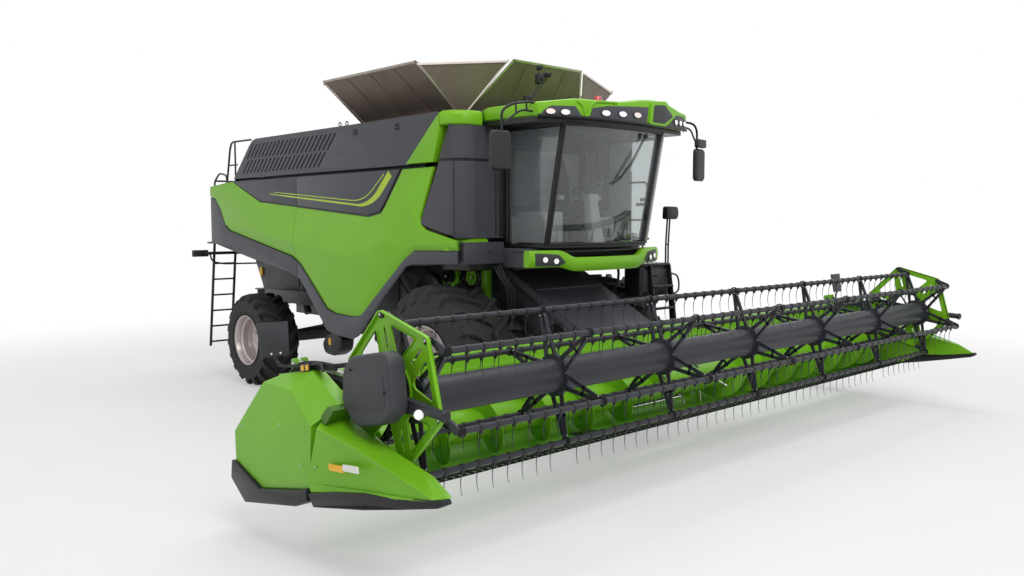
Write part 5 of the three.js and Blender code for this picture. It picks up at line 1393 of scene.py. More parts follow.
def header_frame():
    shape = Shape()
    curve = [(AUGER_Y + TROUGH * math.sin(math.radians(a)), AUGER_Z - TROUGH * math.cos(math.radians(a)))
             for a in range(0, 91, 6)]
    thick = [(AUGER_Y + (TROUGH + 0.012) * math.sin(math.radians(a)),
              AUGER_Z - (TROUGH + 0.012) * math.cos(math.radians(a)))
             for a in range(90, -1, -6)]
    sheet = [(-2.28, 0.025), *curve, (-1.835, 0.955), (-1.823, 0.955), *thick, (-2.28, 0.013)]
    mouth = [(y, z) for y, z in sheet]
    for low, high in ((-HEAD_HALF + 0.012, -0.60), (0.60, HEAD_HALF - 0.012)):
        shape.prism(mouth, "x", low, high, GREEN_DEEP, 0.0, angle=60)
    lower = [(-2.28, 0.025), *[c for c in curve if c[1] < 0.13], (-1.93, 0.13), (-1.92, 0.12),
             *[c for c in thick if c[1] < 0.12], (-2.28, 0.013)]
    shape.prism(lower, "x", -0.60, 0.60, GREEN_DEEP, 0.0)
    shape.prism([(-1.835, 0.76), (-1.835, 0.955), (-1.823, 0.955), (-1.823, 0.76)], "x", -0.60, 0.60,
                GREEN_DEEP, 0.0)
    # Bare floor strip behind the knife and its seams.
    shape.prism([(-2.61, 0.013), (-2.61, 0.027), (-2.281, 0.027), (-2.281, 0.013)], "x",
                -HEAD_HALF + 0.012, HEAD_HALF - 0.012, FLOOR_STEEL, 0.002)
    for k in range(-5, 6):
        shape.box((k * 0.83 - 0.004, -2.605, 0.026), (k * 0.83 + 0.004, -2.285, 0.0285), BLACK, 0.0)
    # Back beams, uprights and gussets.
    shape.box((-HEAD_HALF, -1.83, 0.86), (HEAD_HALF, -1.70, 0.98), GREEN_DEEP, 0.014, 3)
    shape.box((-HEAD_HALF, -1.83, 0.025), (HEAD_HALF, -1.70, 0.105), GREEN_DEEP, 0.01)
    for x in (-4.45, -3.4, -2.3, -1.4, -0.66, 0.66, 1.4, 2.3, 3.4, 4.45):
        wide = 0.05 if abs(x) in (4.45, 2.3, 0.66) else 0.03
        shape.box((x - wide, -1.825, 0.10), (x + wide, -1.702, 0.87), GREEN_DEEP, 0.008)
        for s in (-1, 1):
            shape.prism([(x + s * wide, 0.85), (x + s * (wide + 0.12), 0.86), (x + s * wide, 0.72)][::s],
                        "y", -1.80, -1.79, GREEN_DEEP, 0.0)
    # Strip with fixed screws under the top beam, on the trough's inner side.
    shape.box((-HEAD_HALF + 0.02, -1.848, 0.80), (HEAD_HALF - 0.02, -1.834, 0.84), GREEN_DEEP, 0.003)
    for k in range(-21, 22):
        shape.bolt((k * 0.21, -1.849, 0.82), (0, -1, 0), 0.008, STEEL)
    for x in (-4.3, -3.1, -1.9, 1.9, 3.1, 4.3):
        shape.box((x - 0.10, -1.86, 0.36), (x + 0.10, -1.835, 0.39), STEEL, 0.004)
    # Skids.
    for s in (-1, 1):
        shape.prism([(-1.865, 0.003), (-2.5, 0.003), (-2.5, 0.013), (-1.865, 0.055)], "x", s * 1.5,
                    s * 1.8, BLACK, 0.004)
    # End sheets and the reel arm's posts.
    end = rounded([(-1.70, 0.03), (-1.70, 0.98), (-1.90, 0.98), (-2.39, 0.62), (-2.95, 0.27),
                   (-2.95, 0.11), (-2.64, 0.014)], 0.03)
    for s in (-1, 1):
        shape.prism(end, "x", *sorted((s * HEAD_HALF, s * (HEAD_HALF - 0.012))), GREEN_DEEP, 0.002)
        for x in (4.462, 4.546):
            shape.prism(pane(-1.82, 0.94, -1.70, 1.115, 0.03), "x",
                        *sorted((s * x, s * (x + 0.012))), GREEN_DEEP, 0.002)
        shape.tube([(s * 4.44, -1.76, 1.065), (s * 4.58, -1.76, 1.065)], 0.022, STEEL, 16)
        shape.tube(soft_line([(s * 4.54, -2.02, 0.99), (s * 4.54, -2.40, 0.72), (s * 4.54, -2.88, 0.36)],
                             0.1), 0.012, GREEN_DEEP, 8)
    # Drive boxes and the shaft at the right end, hoses along the back beam.
    shape.box((-4.56, -1.70, 0.30), (-4.30, -1.60, 0.62), BLACK, 0.02, 3)
    shape.tube([(-4.36, -1.64, 0.46), (-0.75, -1.64, 0.46)], 0.028, BLACK, 12)
    shape.box((-0.86, -1.70, 0.34), (-0.64, -1.58, 0.58), BLACK, 0.02, 3)
    for k in range(3):
        line = [(-4.42 + 0.03 * k, -1.68, 0.995 + 0.012 * k), (-2.2, -1.69, 0.992), (-0.72, -1.69, 0.99)]
        shape.tube(soft_line(line, 0.2), 0.011, HOSE, 8)
    # Marker plate on its bent tube at the right end.
    stem = soft_line([(-4.66, -2.36, 0.985), (-4.66, -2.34, 1.05), (-4.68, -1.90, 1.055),
                      (-4.72, -1.78, 1.075), (-4.74, -1.78, 1.20)], 0.05)
    shape.tube(stem, 0.013, BLACK, 10)
    plate = rounded([(-4.86, 1.145), (-4.62, 1.145), (-4.60, 1.42), (-4.88, 1.42)], 0.012)
    shape.prism(plate, "y", -1.80, -1.785, CHARCOAL, 0.004)
    for x, z in ((-4.70, 1.17), (-4.78, 1.17)):
        shape.bolt((x, -1.802, z), (0, -1, 0), 0.009, WHITE)
    stem = soft_line([(4.60, -1.80, 0.99), (4.66, -1.80, 1.10), (4.74, -1.79, 1.16)], 0.04)
    shape.tube(stem, 0.013, BLACK, 10)
    shape.prism([(-x, z) for x, z in plate][::-1], "y", -1.80, -1.785, CHARCOAL, 0.004)
    # The hose bundle that climbs over the end sheet to the reel drive, with its clamps.
    for k in range(4):
        off = 0.024 * k
        line = [(-4.555 - off * 0.4, -1.72, 0.93 + off), (-4.60 - off * 0.3, -1.95, 1.00 + off),
                (-4.62 - off * 0.3, -2.25, 1.02 + off * 0.6),
                (-4.62, -2.48, 0.99 + off * 0.4)]
        shape.tube(soft_line(line, 0.12, 6), 0.014, HOSE, 8)
    shape.prism([(-2.06, 0.99), (-2.20, 1.015), (-2.20, 1.075), (-2.06, 1.05)], "x", -4.685, -4.665, BLACK,
                0.004)
    for y in (-2.075, -2.145):
        shape.prism([(y, 1.005), (y - 0.045, 1.012), (y - 0.045, 1.055), (y, 1.048)], "x", -4.6875, -4.684,
                    AMBER, 0.0)
    shape.piece("frame_header", "header", "body_green", HEADER, replaces=["header_frame"], smooth=30)


def cutterbar():
    shape = Shape()
    half = 4.555
    shape.box((-half, -2.645, 0.012), (half, -2.612, 0.042), BLACK, 0.003)
    shape.box((-half, -2.70, 0.024), (half, -2.655, 0.028), STEEL, 0.0)
    pitch = 0.0762
    count = int(2 * (half - 0.03) / pitch)
    for i in range(count):
        x = (i - (count - 1) / 2) * pitch
        shape.loft([[(x - w, y, z0), (x + w, y, z0), (x + w, y, z1), (x - w, y, z1)] for y, w, z0, z1 in
                    ((-2.64, 0.014, 0.012, 0.040), (-2.69, 0.011, 0.010, 0.038),
                     (-2.735, 0.006, 0.018, 0.034), (-2.765, 0.001, 0.027, 0.030))], BLACK)
        knife = [(x + 0.004, -2.655), (x + 0.072, -2.655), (x + 0.045, -2.712), (x + 0.031, -2.712)]
        shape.prism(knife, "z", 0.029, 0.0315, STEEL, 0.0)
    for k in range(-11, 12):
        shape.box((k * 0.40 - 0.02, -2.68, 0.034), (k * 0.40 + 0.02, -2.62, 0.046), BLACK, 0.004)
    shape.piece("bar_cutter", "header", "black_paint", HEADER, replaces=["cutterbar"])


def intake_auger():
    """The cross auger: a smooth drum, two opposed flights and a middle band of fingers."""
    shape = Shape()
    half, core, reach, pitch, steps = 4.55, 0.15, 0.30, 0.60, 28
    shape.tube([(-half, AUGER_Y, AUGER_Z), (half, AUGER_Y, AUGER_Z)], core, GREEN_DEEP, 36)
    for low, high, hand in ((-4.53, -0.62, 1), (0.62, 4.53, -1)):
        count = int((high - low) / pitch * steps)
        rings = []
        for i in range(count + 1):
            x = low + (high - low) * i / count
            a = hand * 2 * math.pi * (x - low) / pitch
            out = Vector((0, math.cos(a), math.sin(a)))
            centre = Vector((x, AUGER_Y, AUGER_Z))
            rings.append([centre + out * core * 0.97 + Vector((-0.004, 0, 0)),
                          centre + out * reach + Vector((-0.003, 0, 0)),
                          centre + out * reach + Vector((0.003, 0, 0)),
                          centre + out * core * 0.97 + Vector((0.004, 0, 0))])
        shape.loft(rings, GREEN_DEEP)
    for i in range(12):
        a = 2 * math.pi * i / 12 * 5
        x = -0.55 + i * 0.1
        out = Vector((0, math.cos(a), math.sin(a)))
        centre = Vector((x, AUGER_Y, AUGER_Z))
        shape.tube([centre + out * 0.14, centre + out * 0.285], 0.009, STEEL, 8)
        shape.turned([(0, 0), (0, 0.03), (0.008, 0.024), (0.008, 0)], centre + out * (core - 0.003), out,
                     BLACK, 12)
    shape.piece("auger_intake", "intake_auger", "body_green", HEADER, replaces=["intake_auger"], smooth=40)


header_frame()
cutterbar()
intake_auger()


# ---- Reel ----

REEL_Y, REEL_Z, REEL_RADIUS, REEL_HALF, BAY = -3.072, 0.716, 0.555, 4.377, 1.459
PLATE_Y, PLATE_Z = REEL_Y + 0.13, REEL_Z + 0.086
BAT_ANGLES = [math.radians(5 + 60 * i) for i in range(6)]


def about(radius, angle, y=REEL_Y, z=REEL_Z):
    """[y, z] at a radius and an angle, measured from the top."""
    return (y + radius * math.sin(angle), z + radius * math.cos(angle))


def reel_core():
    shape = Shape()
    shape.tube([(-REEL_HALF, REEL_Y, REEL_Z), (REEL_HALF, REEL_Y, REEL_Z)], 0.14, REEL_DARK, 40)
    shape.tube([(-4.474, REEL_Y, REEL_Z), (4.474, REEL_Y, REEL_Z)], 0.04, STEEL, 20)
    for i in range(7):
        x = -REEL_HALF + i * BAY
        shape.turned([(-0.02, 0.138), (-0.02, 0.178), (0.02, 0.178), (0.02, 0.138)], (x, REEL_Y, REEL_Z),
                     (1, 0, 0), REEL_DARK, 36)
        for a in BAT_ANGLES:
            # A spoke of two straps that meet at the bat, a tie across and the bat's bearing.
            for lean_by in (-0.33, 0.33):
                foot, tip = about(0.16, a + lean_by), about(0.525, a + lean_by * 0.05)
                along = Vector((tip[0] - foot[0], tip[1] - foot[1]))
                wide = Vector((-along.y, along.x)).normalized() * 0.017
                bar = [(foot[0] + wide.x, foot[1] + wide.y), (tip[0] + wide.x, tip[1] + wide.y),
                       (tip[0] - wide.x, tip[1] - wide.y),
                       (foot[0] - wide.x, foot[1] - wide.y)]
                shape.prism(bar, "x", x - 0.004, x + 0.004, REEL_DARK, 0.001)
                flange = [(foot[0] + wide.x, foot[1] + wide.y), (tip[0] + wide.x, tip[1] + wide.y),
                          (tip[0] + wide.x * 0.8, tip[1] + wide.y * 0.8),
                          (foot[0] + wide.x * 0.8, foot[1] + wide.y * 0.8)]
                shape.prism(flange, "x", x - 0.016, x + 0.016, REEL_DARK, 0.0)
            across = [about(0.33, a - 0.16), about(0.33, a + 0.16), about(0.355, a + 0.15),
                      about(0.355, a - 0.15)]
            shape.prism(across, "x", x - 0.004, x + 0.004, REEL_DARK, 0.001)
            y, z = about(REEL_RADIUS, a)
            for x0 in (x - 0.012, x + 0.006):
                shape.turned([(0, 0.030), (0, 0.041), (0.006, 0.041), (0.006, 0.030), (0, 0.030)],
                             (x0, y, z), (1, 0, 0), BLACK, 16)
            for turn in (-0.045, 0.045):
                p = about(0.508, a + turn)
                shape.bolt((x - 0.005, *p), (-1, 0, 0), 0.008, STEEL)
        for a in BAT_ANGLES[::2]:
            p = about(0.165, a + 0.5)
            shape.bolt((x - 0.02, *p), (-1, 0, 0), 0.009, STEEL)
    shape.piece("core_reel", "reel", "dark_paint", HEADER, replaces=["reel_core"], smooth=35)


def tine(shape, base, x):
    """A sprung tine: a curved finger that hangs from the bat."""
    rear = Vector((0, -PLUMB.z, PLUMB.y))
    points = []
    for k in range(7):
        t = k / 6
        points.append(Vector((x, base[0],
                              base[1])) + PLUMB * (0.012 + 0.205 * t) + rear * (0.045 * t * (1 - t) * 2.0 - 0.01 + 0.012 * t))
    shape.tube(points, lambda t: 0.0048 - 0.0028 * t, REEL_DARK, 5)


def bat(i):
    shape = Shape()
    y, z = about(REEL_RADIUS, BAT_ANGLES[i])
    end = 4.399
    shape.tube([(-end, y, z), (end, y, z)], 0.024, REEL_DARK, 16)
    pitch = 0.1585
    count = int((2 * REEL_HALF - 0.06) / pitch)
    for k in range(count):
        x = (k - (count - 1) / 2) * pitch
        if abs((x + REEL_HALF + BAY / 2) % BAY - BAY / 2) < 0.045:
            continue  # no tine where a spider holds the bat
        tine(shape, (y, z), x)
        # The clamp round the tube and its ear.
        shape.turned([(-0.018, 0.023), (-0.018, 0.0295), (0.018, 0.0295), (0.018, 0.023)], (x, y, z),
                     (1, 0, 0), TRIM, 10)
        ear = Vector((x, y, z)) + PLUMB * 0.034
        shape.box((x - 0.012, ear.y - 0.010, ear.z - 0.012), (x + 0.012, ear.y + 0.010, ear.z + 0.010),
                  TRIM, 0.003, 1)
    for s in (-1, 1):
        crank = [(y - 0.030, z + 0.022), (y + 0.116, z + 0.114), (y + 0.154, z + 0.086),
                 (y + 0.022, z - 0.030)]
        low, high = sorted((s * end, s * (end + 0.016)))
        shape.prism(rounded(crank, 0.018), "x", low, high, REEL_DARK, 0.003)
        shape.tube([(s * (end + 0.01), y + 0.13, z + 0.086), (s * (end + 0.03), y + 0.13, z + 0.086)],
                   0.014, STEEL, 12)
    shape.piece("bat_tube_%d" % (i + 1), "bat_%d" % (i + 1), "dark_paint", HEADER,
                replaces=["bat_%d" % (i + 1)], smooth=40)


def control_plate(side):
    """The green eccentric plate with a turned flange, six windows and a slot along each spoke."""
    shape = Shape()
    s = SIDES[side]
    low, high = sorted((s * 4.433, s * 4.441))
    corners = [about(0.595, a, PLATE_Y, PLATE_Z) for a in BAT_ANGLES]
    rim = rounded(corners, 0.035, 4)
    inner = rounded([about(0.58, a, PLATE_Y, PLATE_Z) for a in BAT_ANGLES], 0.03, 4)
    holes = [[about(0.205, 2 * math.pi * k / 40, PLATE_Y, PLATE_Z) for k in range(40)]]
    for a in BAT_ANGLES:
        mid = a + math.pi / 6
        holes.append(rounded([about(0.255, mid - 0.10, PLATE_Y, PLATE_Z),
                              about(0.255, mid + 0.10, PLATE_Y, PLATE_Z),
                              about(0.475, mid + 0.34, PLATE_Y, PLATE_Z),
                              about(0.475, mid - 0.34, PLATE_Y, PLATE_Z)], 0.045, 5))
        along = [about(r, a + d / r, PLATE_Y, PLATE_Z) for r,
                 d in ((0.30, -0.011), (0.30, 0.011), (0.46, 0.011), (0.46, -0.011))]
        holes.append(rounded(along, 0.010, 4))
    shape.cutout(rim, holes, "x", low, high, GREEN, 0.0015)
    out_low, out_high = sorted((s * 4.433, s * 4.465))
    shape.cutout(rim, [inner], "x", out_low, out_high, GREEN, 0.001)
    # Short flanges round the windows and the centre ring.
    for hole in holes[1::2]:
        middle_hole = Vector((sum(p[0] for p in hole) / len(hole), sum(p[1] for p in hole) / len(hole)))
        grown = [tuple(middle_hole + (Vector(p) - middle_hole) * 1.045) for p in hole]
        shape.cutout(grown, [hole], "x", s * 4.436, s * 4.452, GREEN, 0.001)
    ring_out = [about(0.216, 2 * math.pi * k / 40, PLATE_Y, PLATE_Z) for k in range(40)]
    shape.cutout(ring_out, [holes[0]], "x", s * 4.436, s * 4.456, GREEN, 0.001)
    for a in BAT_ANGLES:
        p = about(REEL_RADIUS, a, PLATE_Y, PLATE_Z)
        shape.turned([(0, 0), (0, 0.03), (0.012, 0.03), (0.016, 0.02), (0.016, 0)], (s * 4.44, *p),
                     (s, 0, 0), BLACK, 18)
        shape.bolt((s * 4.455, *p), (s, 0, 0), 0.012, STEEL)
    shape.piece("plate_control_" + side, "control_plate_" + side, "body_green", HEADER,
                replaces=["control_plate_" + side], smooth=30)


def reel_arm(side):
    shape = Shape()
    s = SIDES[side]
    low, high = sorted((s * 4.482, s * 4.538))
    bar = rounded([(-1.715, 1.095), (-3.40, 0.688), (-3.40, 0.612), (-3.072, 0.641), (-1.715, 1.02)],
                  [0.03, 0.01, 0.01, 0.02, 0.03])
    shape.prism(bar, "x", low, high, REEL_DARK, 0.008, 3)
    tip = [(s * 4.51, -3.30, 0.672), (s * 4.51, -3.58, 0.605)]
    shape.tube(tip, 0.036, REEL_DARK, 24)
    shape.turned([(0, 0.036), (0, 0.043), (0.022, 0.043), (0.03, 0.036), (0.03, 0)],
                 (s * 4.51, -3.575, 0.606), (0, -0.97, -0.23), TRIM, 24)
    shape.tube([(s * 4.51, -2.30, 0.965), (s * 4.51, -3.05, 0.785)], 0.03, STEEL, 20)
    # Bearing block of the reel's shaft with its bolts, and a ring with three stays round the control plate's
    # middle.
    shape.prism(pane(-3.16, 0.63, -2.98, 0.80, 0.04), "x", s * 4.475, s * 4.55, BLACK, 0.01, 3)
    for y, z in ((-3.14, 0.65), (-3.0, 0.65), (-3.14, 0.78), (-3.0, 0.78)):
        shape.bolt((s * 4.55, y, z), (s, 0, 0), 0.012, STEEL)
    ring = [(s * 4.455 + 0.0, *about(0.19, 2 * math.pi * k / 36, PLATE_Y, PLATE_Z)) for k in range(36)]
    shape.tube(ring, 0.010, BLACK, 8, loop=True)
    for k in range(3):
        a = 2 * math.pi * k / 3 + 0.4
        p = about(0.19, a, PLATE_Y, PLATE_Z)
        shape.tube([(s * 4.455, *p), (s * 4.49, PLATE_Y, PLATE_Z - 0.02)], 0.012, BLACK, 8)
    # The white working lamp near the tip.
    shape.turned([(0, 0), (0, 0.034), (0.02, 0.036), (0.032, 0.03), (0.034, 0)], (s * 4.545, -3.36, 0.625),
                 (s, -0.35, 0), LAMP, 24)
    shape.box((s * 4.52, -3.39, 0.60), (s * 4.55, -3.33, 0.65), TRIM, 0.008)
    shape.tube(soft_line([(s * 4.545, -3.34, 0.66), (s * 4.548, -3.1, 0.735), (s * 4.548, -2.6, 0.85),
                          (s * 4.545, -1.9, 1.03)], 0.1), 0.008, HOSE, 8)
    if side == "right":
        cover = rounded([(-3.255, 0.66), (-3.11, 0.575), (-2.84, 0.555), (-2.74, 0.59), (-2.625, 0.75),
                         (-2.68, 0.985), (-2.80, 1.078),
                         (-3.20, 1.082), (-3.275, 1.02)], 0.045, 5)
        shape.prism(cover, "x", -4.70, -4.545, CHARCOAL, 0.032, 4)
        shape.prism([(y * 1.0, z) for y, z in rounded([(-3.20, 0.95), (-2.80, 0.95), (-2.74, 0.70),
                                                       (-3.18, 0.68)], 0.06)],
                    "x", -4.704, -4.69, CHARCOAL, 0.004)
        shape.bolt((-4.705, -3.19, 0.80), (-1, 0, 0), 0.010, BLACK)
        shape.bolt((-4.705, -2.80, 0.98), (-1, 0, 0), 0.010, BLACK)
        shape.tube([(-4.60, -2.68, 0.76), (-4.60, -2.56, 0.77)], 0.006, STEEL, 8)
    else:
        shape.prism(pane(-3.17, 0.62, -2.97, 0.82, 0.06), "x", 4.55, 4.57, CHARCOAL, 0.008, 3)
    shape.piece("arm_reel_" + side, "reel_arms", "dark_paint", HEADER, replaces=["reel_arm_" + side])


reel_core()
for i in range(6):
    bat(i)
for side in SIDES:
    control_plate(side)
    reel_arm(side)


# ---- Wheels ----

def lug(shape, centre, radius, base, angle, side, half, pitch):
    """One bar of the tread: from the middle of the tyre, swept back round to the shoulder and down the wall."""
    rows = []
    for t, out in ((-0.04, radius), (0.25, radius), (0.55, radius - 0.004), (0.82, radius - 0.022),
                   (0.97, radius - 0.075), (1.0, radius - 0.14)):
        x = side * half * t
        turn = angle + pitch * (0.95 * max(t, 0) ** 0.9)
        low = base - (0.0 if t < 0.6 else 0.05 * (t - 0.6) / 0.4) - (0.09 if t > 0.9 else 0)
        wide = (0.026 + 0.018 * t) / radius
        ring = []
        for d, r in ((-wide * 1.5, low - 0.01), (-wide, out), (wide, out), (wide * 1.5, low - 0.01)):
            ring.append((centre.x + x, centre.y + r * math.sin(turn + d),
                         centre.z + r * math.cos(turn + d)))
        rows.append(ring)
    shape.loft(rows, RUBBER)


def wheel(end, side, radius, width, rim, bars):
    s = SIDES[side]
    box_low, box_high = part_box("%s_tyre_%s" % (end, side))
    centre = (Vector(box_low) + Vector(box_high)) / 2 - Vector((0, AXLE_Y, 0))
    half = width / 2
    tread = radius - 0.048
    shape = Shape()
    carcass = [(-half + 0.02, rim), (-half + 0.03, rim + 0.02), (-half + 0.008, rim + 0.05),
               (-half - 0.0, rim + 0.13), (-half + 0.004, rim + 0.24),
               (-half + 0.02, tread - 0.12), (-half + 0.06, tread - 0.045), (-half + 0.15, tread - 0.012),
               (0, tread)]
    carcass += [(-a, r) for a, r in reversed(carcass[:-1])]
    shape.turned([*carcass, carcass[0]], centre, (1, 0, 0), RUBBER, 72)
    for r, out in ((rim + 0.075, 0.006), (rim + 0.16, 0.004)):
        for face in (-1, 1):
            shape.turned([(face * (half - 0.012), r - 0.012), (face * (half + out - 0.003), r),
                          (face * (half - 0.012), r + 0.012)],
                         centre, (1, 0, 0), RUBBER, 72)
    pitch = 2 * math.pi / bars
    for k in range(bars):
        for face in (-1, 1):
            lug(shape, centre, radius, tread, pitch * (k + (0.5 if face > 0 else 0)), face, half, pitch)
    shape.piece("tyre_%s_%s" % (end, side), "%s_wheel_%s" % (end, side), "tyre_rubber",
                replaces=["%s_tyre_%s" % (end, side)], smooth=30)
    shape = Shape()
    w = half - 0.012
    dish = rim * 0.34
    outer = [(w + 0.004, rim + 0.014), (w + 0.004, rim + 0.002), (w - 0.012, rim - 0.010),
             (w - 0.09, rim - 0.022), (w - 0.11, rim - 0.045),
             (w - 0.20, rim - 0.052), (0.10, rim - 0.075), (0.03, rim - 0.10), (0.0, rim - 0.15),
             (-0.02, dish + 0.06), (-0.01, dish + 0.03),
             (0.03, dish), (0.03, 0.0)]
    inner = [(-0.06, 0.0), (-0.06, rim - 0.16), (0.0, rim - 0.09), (-w + 0.10, rim - 0.05),
             (-w, rim - 0.012), (-w - 0.004, rim + 0.014), (-w, rim),
             (0, rim - 0.03), (w, rim + 0.001), (w + 0.004, rim + 0.014)]
    profile = outer + inner
    shape.turned([(s * a, r) for a, r in profile], centre, (1, 0, 0), RIM, 64)
    shape.turned([(s * 0.025, 0), (s * 0.025, 0.125), (s * 0.05, 0.12), (s * 0.055, 0.085),
                  (s * 0.10, 0.08), (s * 0.112, 0.06), (s * 0.112, 0)],
                 centre, (1, 0, 0), RIM, 40)
    for k in range(12):
        a = 2 * math.pi * k / 12
        p = centre + Vector((s * 0.028, (dish - 0.02) * math.sin(a), (dish - 0.02) * math.cos(a)))
        shape.turned([(0, 0), (0, 0.014), (0.006, 0.014), (0.007, 0.0115), (0.026, 0.0105), (0.026, 0)], p,
                     (s, 0, 0), STEEL, 12)
    for k in range(8):
        a = 2 * math.pi * (k + 0.5) / 8
        p = centre + Vector((s * 0.012, (rim - 0.17) * math.sin(a), (rim - 0.17) * math.cos(a)))
        shape.turned([(-0.006, 0), (-0.006, 0.03), (-0.014, 0.024), (-0.014, 0)], p, (s, 0, 0), BLACK, 18)
    valve = centre + Vector((s * (w - 0.15), 0, rim - 0.06))
    shape.tube([valve, valve + Vector((s * 0.05, 0, -0.015))], 0.006, BLACK, 8)
    shape.piece("rim_%s_%s" % (end, side), "%s_wheel_%s" % (end, side), "rim_paint",
                replaces=["%s_rim_%s" % (end, side)], smooth=35)


for side in SIDES:
    wheel("front", side, 0.925, 0.78, 0.426, 19)
    wheel("rear", side, 0.735, 0.58, 0.38, 18)


# ---- Axles and steering ----

WHEELBASE, REAR_Z, KINGPIN = 4.69, 0.735, 1.01


def axles():
    shape = Shape()
    shape.tube([(-1.30, 0, 0.925), (1.30, 0, 0.925)], 0.115, BLACK, 32)
    for s in (-1, 1):
        shape.turned([(0.86, 0), (0.86, 0.20), (0.90, 0.245), (1.05, 0.25), (1.10, 0.22), (1.24, 0.21),
                      (1.26, 0.17), (1.305, 0.165), (1.305, 0)],
                     (0, 0, 0.925), (s, 0, 0), BLACK, 36)
        for k in range(12):
            a = 2 * math.pi * k / 12
            shape.bolt((s * 0.862, 0.215 * math.sin(a), 0.925 + 0.215 * math.cos(a)), (-s, 0, 0), 0.013,
                       STEEL)
        for x in (s * 0.49 - 0.09, s * 0.49 + 0.07):
            ear = pane(-0.13, 0.62, 0.06, 0.925, 0.03)
            shape.cutout(ear, [circle(-0.06, 0.69, 0.048, 20)],
                         "x", x, x + 0.02, BLACK, 0.002)
        shape.prism(rounded([(-0.10, 0.85), (0.10, 0.85), (0.14, 1.05), (-0.14, 1.05)], 0.02), "x",
                    s * 0.44, s * 0.50, BLACK, 0.006)
    shape.box((-0.28, -0.20, 0.74), (0.28, 0.20, 1.04), BLACK, 0.04, 3)
    shape.turned([(0.28, 0.16), (0.36, 0.14), (0.42, 0.12)], (0, 0, 0.925), (1, 0, 0), BLACK, 28)
    shape.piece("axle_front", "chassis", "black_paint", replaces=["front_axle"])
    shape = Shape()
    y, z = WHEELBASE, REAR_Z
    shape.box((-0.88, y - 0.09, z - 0.085), (0.88, y + 0.09, z + 0.085), DARK, 0.018, 3)
    shape.tube([(-0.0, y - 0.14, z), (0, y + 0.14, z)], 0.07, BLACK, 24)
    for s in (-1, 1):
        side_face = pane(y - 0.07, z - 0.17, y + 0.07, z + 0.17, 0.02)
        shape.prism(side_face, "x", s * 0.86, s * 0.92, DARK, 0.006)
        for z0 in (z + 0.125, z - 0.17):
            ear = rounded(pane(s * 0.86, y - 0.07, s * 1.08, y + 0.07)[::s], [0.0, 0.06, 0.06, 0.0][::s])
            hole = circle(s * KINGPIN, y, 0.046, 20)
            shape.cutout(ear, [hole], "z", z0, z0 + 0.045, DARK, 0.003)
        for x0, x1 in ((0.15, 0.80),):
            shape.prism([(s * x0, z + 0.08), (s * x1, z + 0.08), (s * x1, z + 0.10),
                         (s * x0, z + 0.16)][::s], "y", y - 0.012, y + 0.012, DARK, 0.002)
    # Steering cylinder behind the beam.
    shape.tube([(-0.30, y + 0.13, z + 0.05), (0.30, y + 0.13, z + 0.05)], 0.035, BLACK, 20)
    shape.piece("axle_rear", "chassis", "dark_paint", replaces=["rear_axle_beam"])
    for side, s in SIDES.items():
        shape = Shape()
        x, hub = s * KINGPIN, s * (1.42 - 0.078)
        shape.tube([(x, y, z - 0.165), (x, y, z + 0.165)], 0.038, STEEL, 20)
        shape.turned([(-0.117, 0.0), (-0.117, 0.070), (-0.10, 0.078), (0.10, 0.078), (0.117, 0.070),
                      (0.117, 0)], (x, y, z), (0, 0, 1), DARK, 28)
        shape.turned([(0, 0), (0, 0.07), (0.18, 0.06), (0.28, 0.058), (0.30, 0.12), (0.305, 0.14),
                      (abs(hub) - KINGPIN, 0.14), (abs(hub) - KINGPIN, 0)],
                     (x, y, z), (s, 0, 0), DARK, 28)
        arm = pane(x - 0.025, y + 0.04, x + 0.025, y + 0.295, 0.02)
        shape.prism(arm, "z", z - 0.02, z + 0.02, DARK, 0.005)
        shape.bolt((x, y + 0.26, z + 0.02), (0, 0, 1), 0.02, STEEL)
        shape.piece("knuckle_rear_" + side, "knuckle_" + side, "dark_paint",
                    replaces=["steering_knuckle_" + side])
    shape = Shape()
    shape.tube([(-KINGPIN, y + 0.26, z - 0.05), (KINGPIN, y + 0.26, z - 0.05)], 0.02, STEEL, 16)
    for s in (-1, 1):
        shape.turned([(-0.022, 0), (-0.022, 0.03), (-0.012, 0.036), (0.012, 0.036), (0.022, 0.03),
                      (0.022, 0)], (s * KINGPIN, y + 0.26, z - 0.046), (0, 0, 1), BLACK, 20)
        shape.tube([(s * 0.96, y + 0.26, z - 0.05), (s * 0.86, y + 0.26, z - 0.05)], 0.027, BLACK, 16)
    shape.piece("rod_tie", "tie_rod", "bright_steel", replaces=["tie_rod"])


axles()


# ---- Frame, belly, engine and rear hood ----

def pulley(shape, x, y, z, radius, s, material, width=0.05):
    """A grooved pulley on the machine's side, facing outwards."""
    shape.turned([(0, 0), (0, radius), (width * 0.35, radius - 0.014), (width * 0.65, radius - 0.014),
                  (width, radius), (width, radius - 0.02),
                  (width * 0.6, radius * 0.75), (width * 0.6, radius * 0.35), (width * 1.1, radius * 0.3),
                  (width * 1.1, 0)],
                 (s * x, y, z), (s, 0, 0), material, 32)
    shape.bolt((s * (x + width * 1.1), y, z), (s, 0, 0), 0.018, STEEL)


def belt(shape, x, one, two, s):
    """A belt round two pulleys given as (y, z, radius)."""
    a, b = Vector(one[:2]), Vector(two[:2])
    along = (b - a).normalized()
    tilt = math.acos(max(-1, min(1, (one[2] - two[2]) / (b - a).length)))
    base = math.atan2(along.y, along.x)
    line = []
    for centre, radius, start, end in ((a, one[2], base + tilt, base + 2 * math.pi - tilt),
                                       (b, two[2], base - tilt, base + tilt)):
        for k in range(13):
            t = start + (end - start) * k / 12
            line.append((s * x, centre.x + radius * math.cos(t), centre.y + radius * math.sin(t)))
    shape.tube(line, 0.011, HOSE, 6, loop=True)


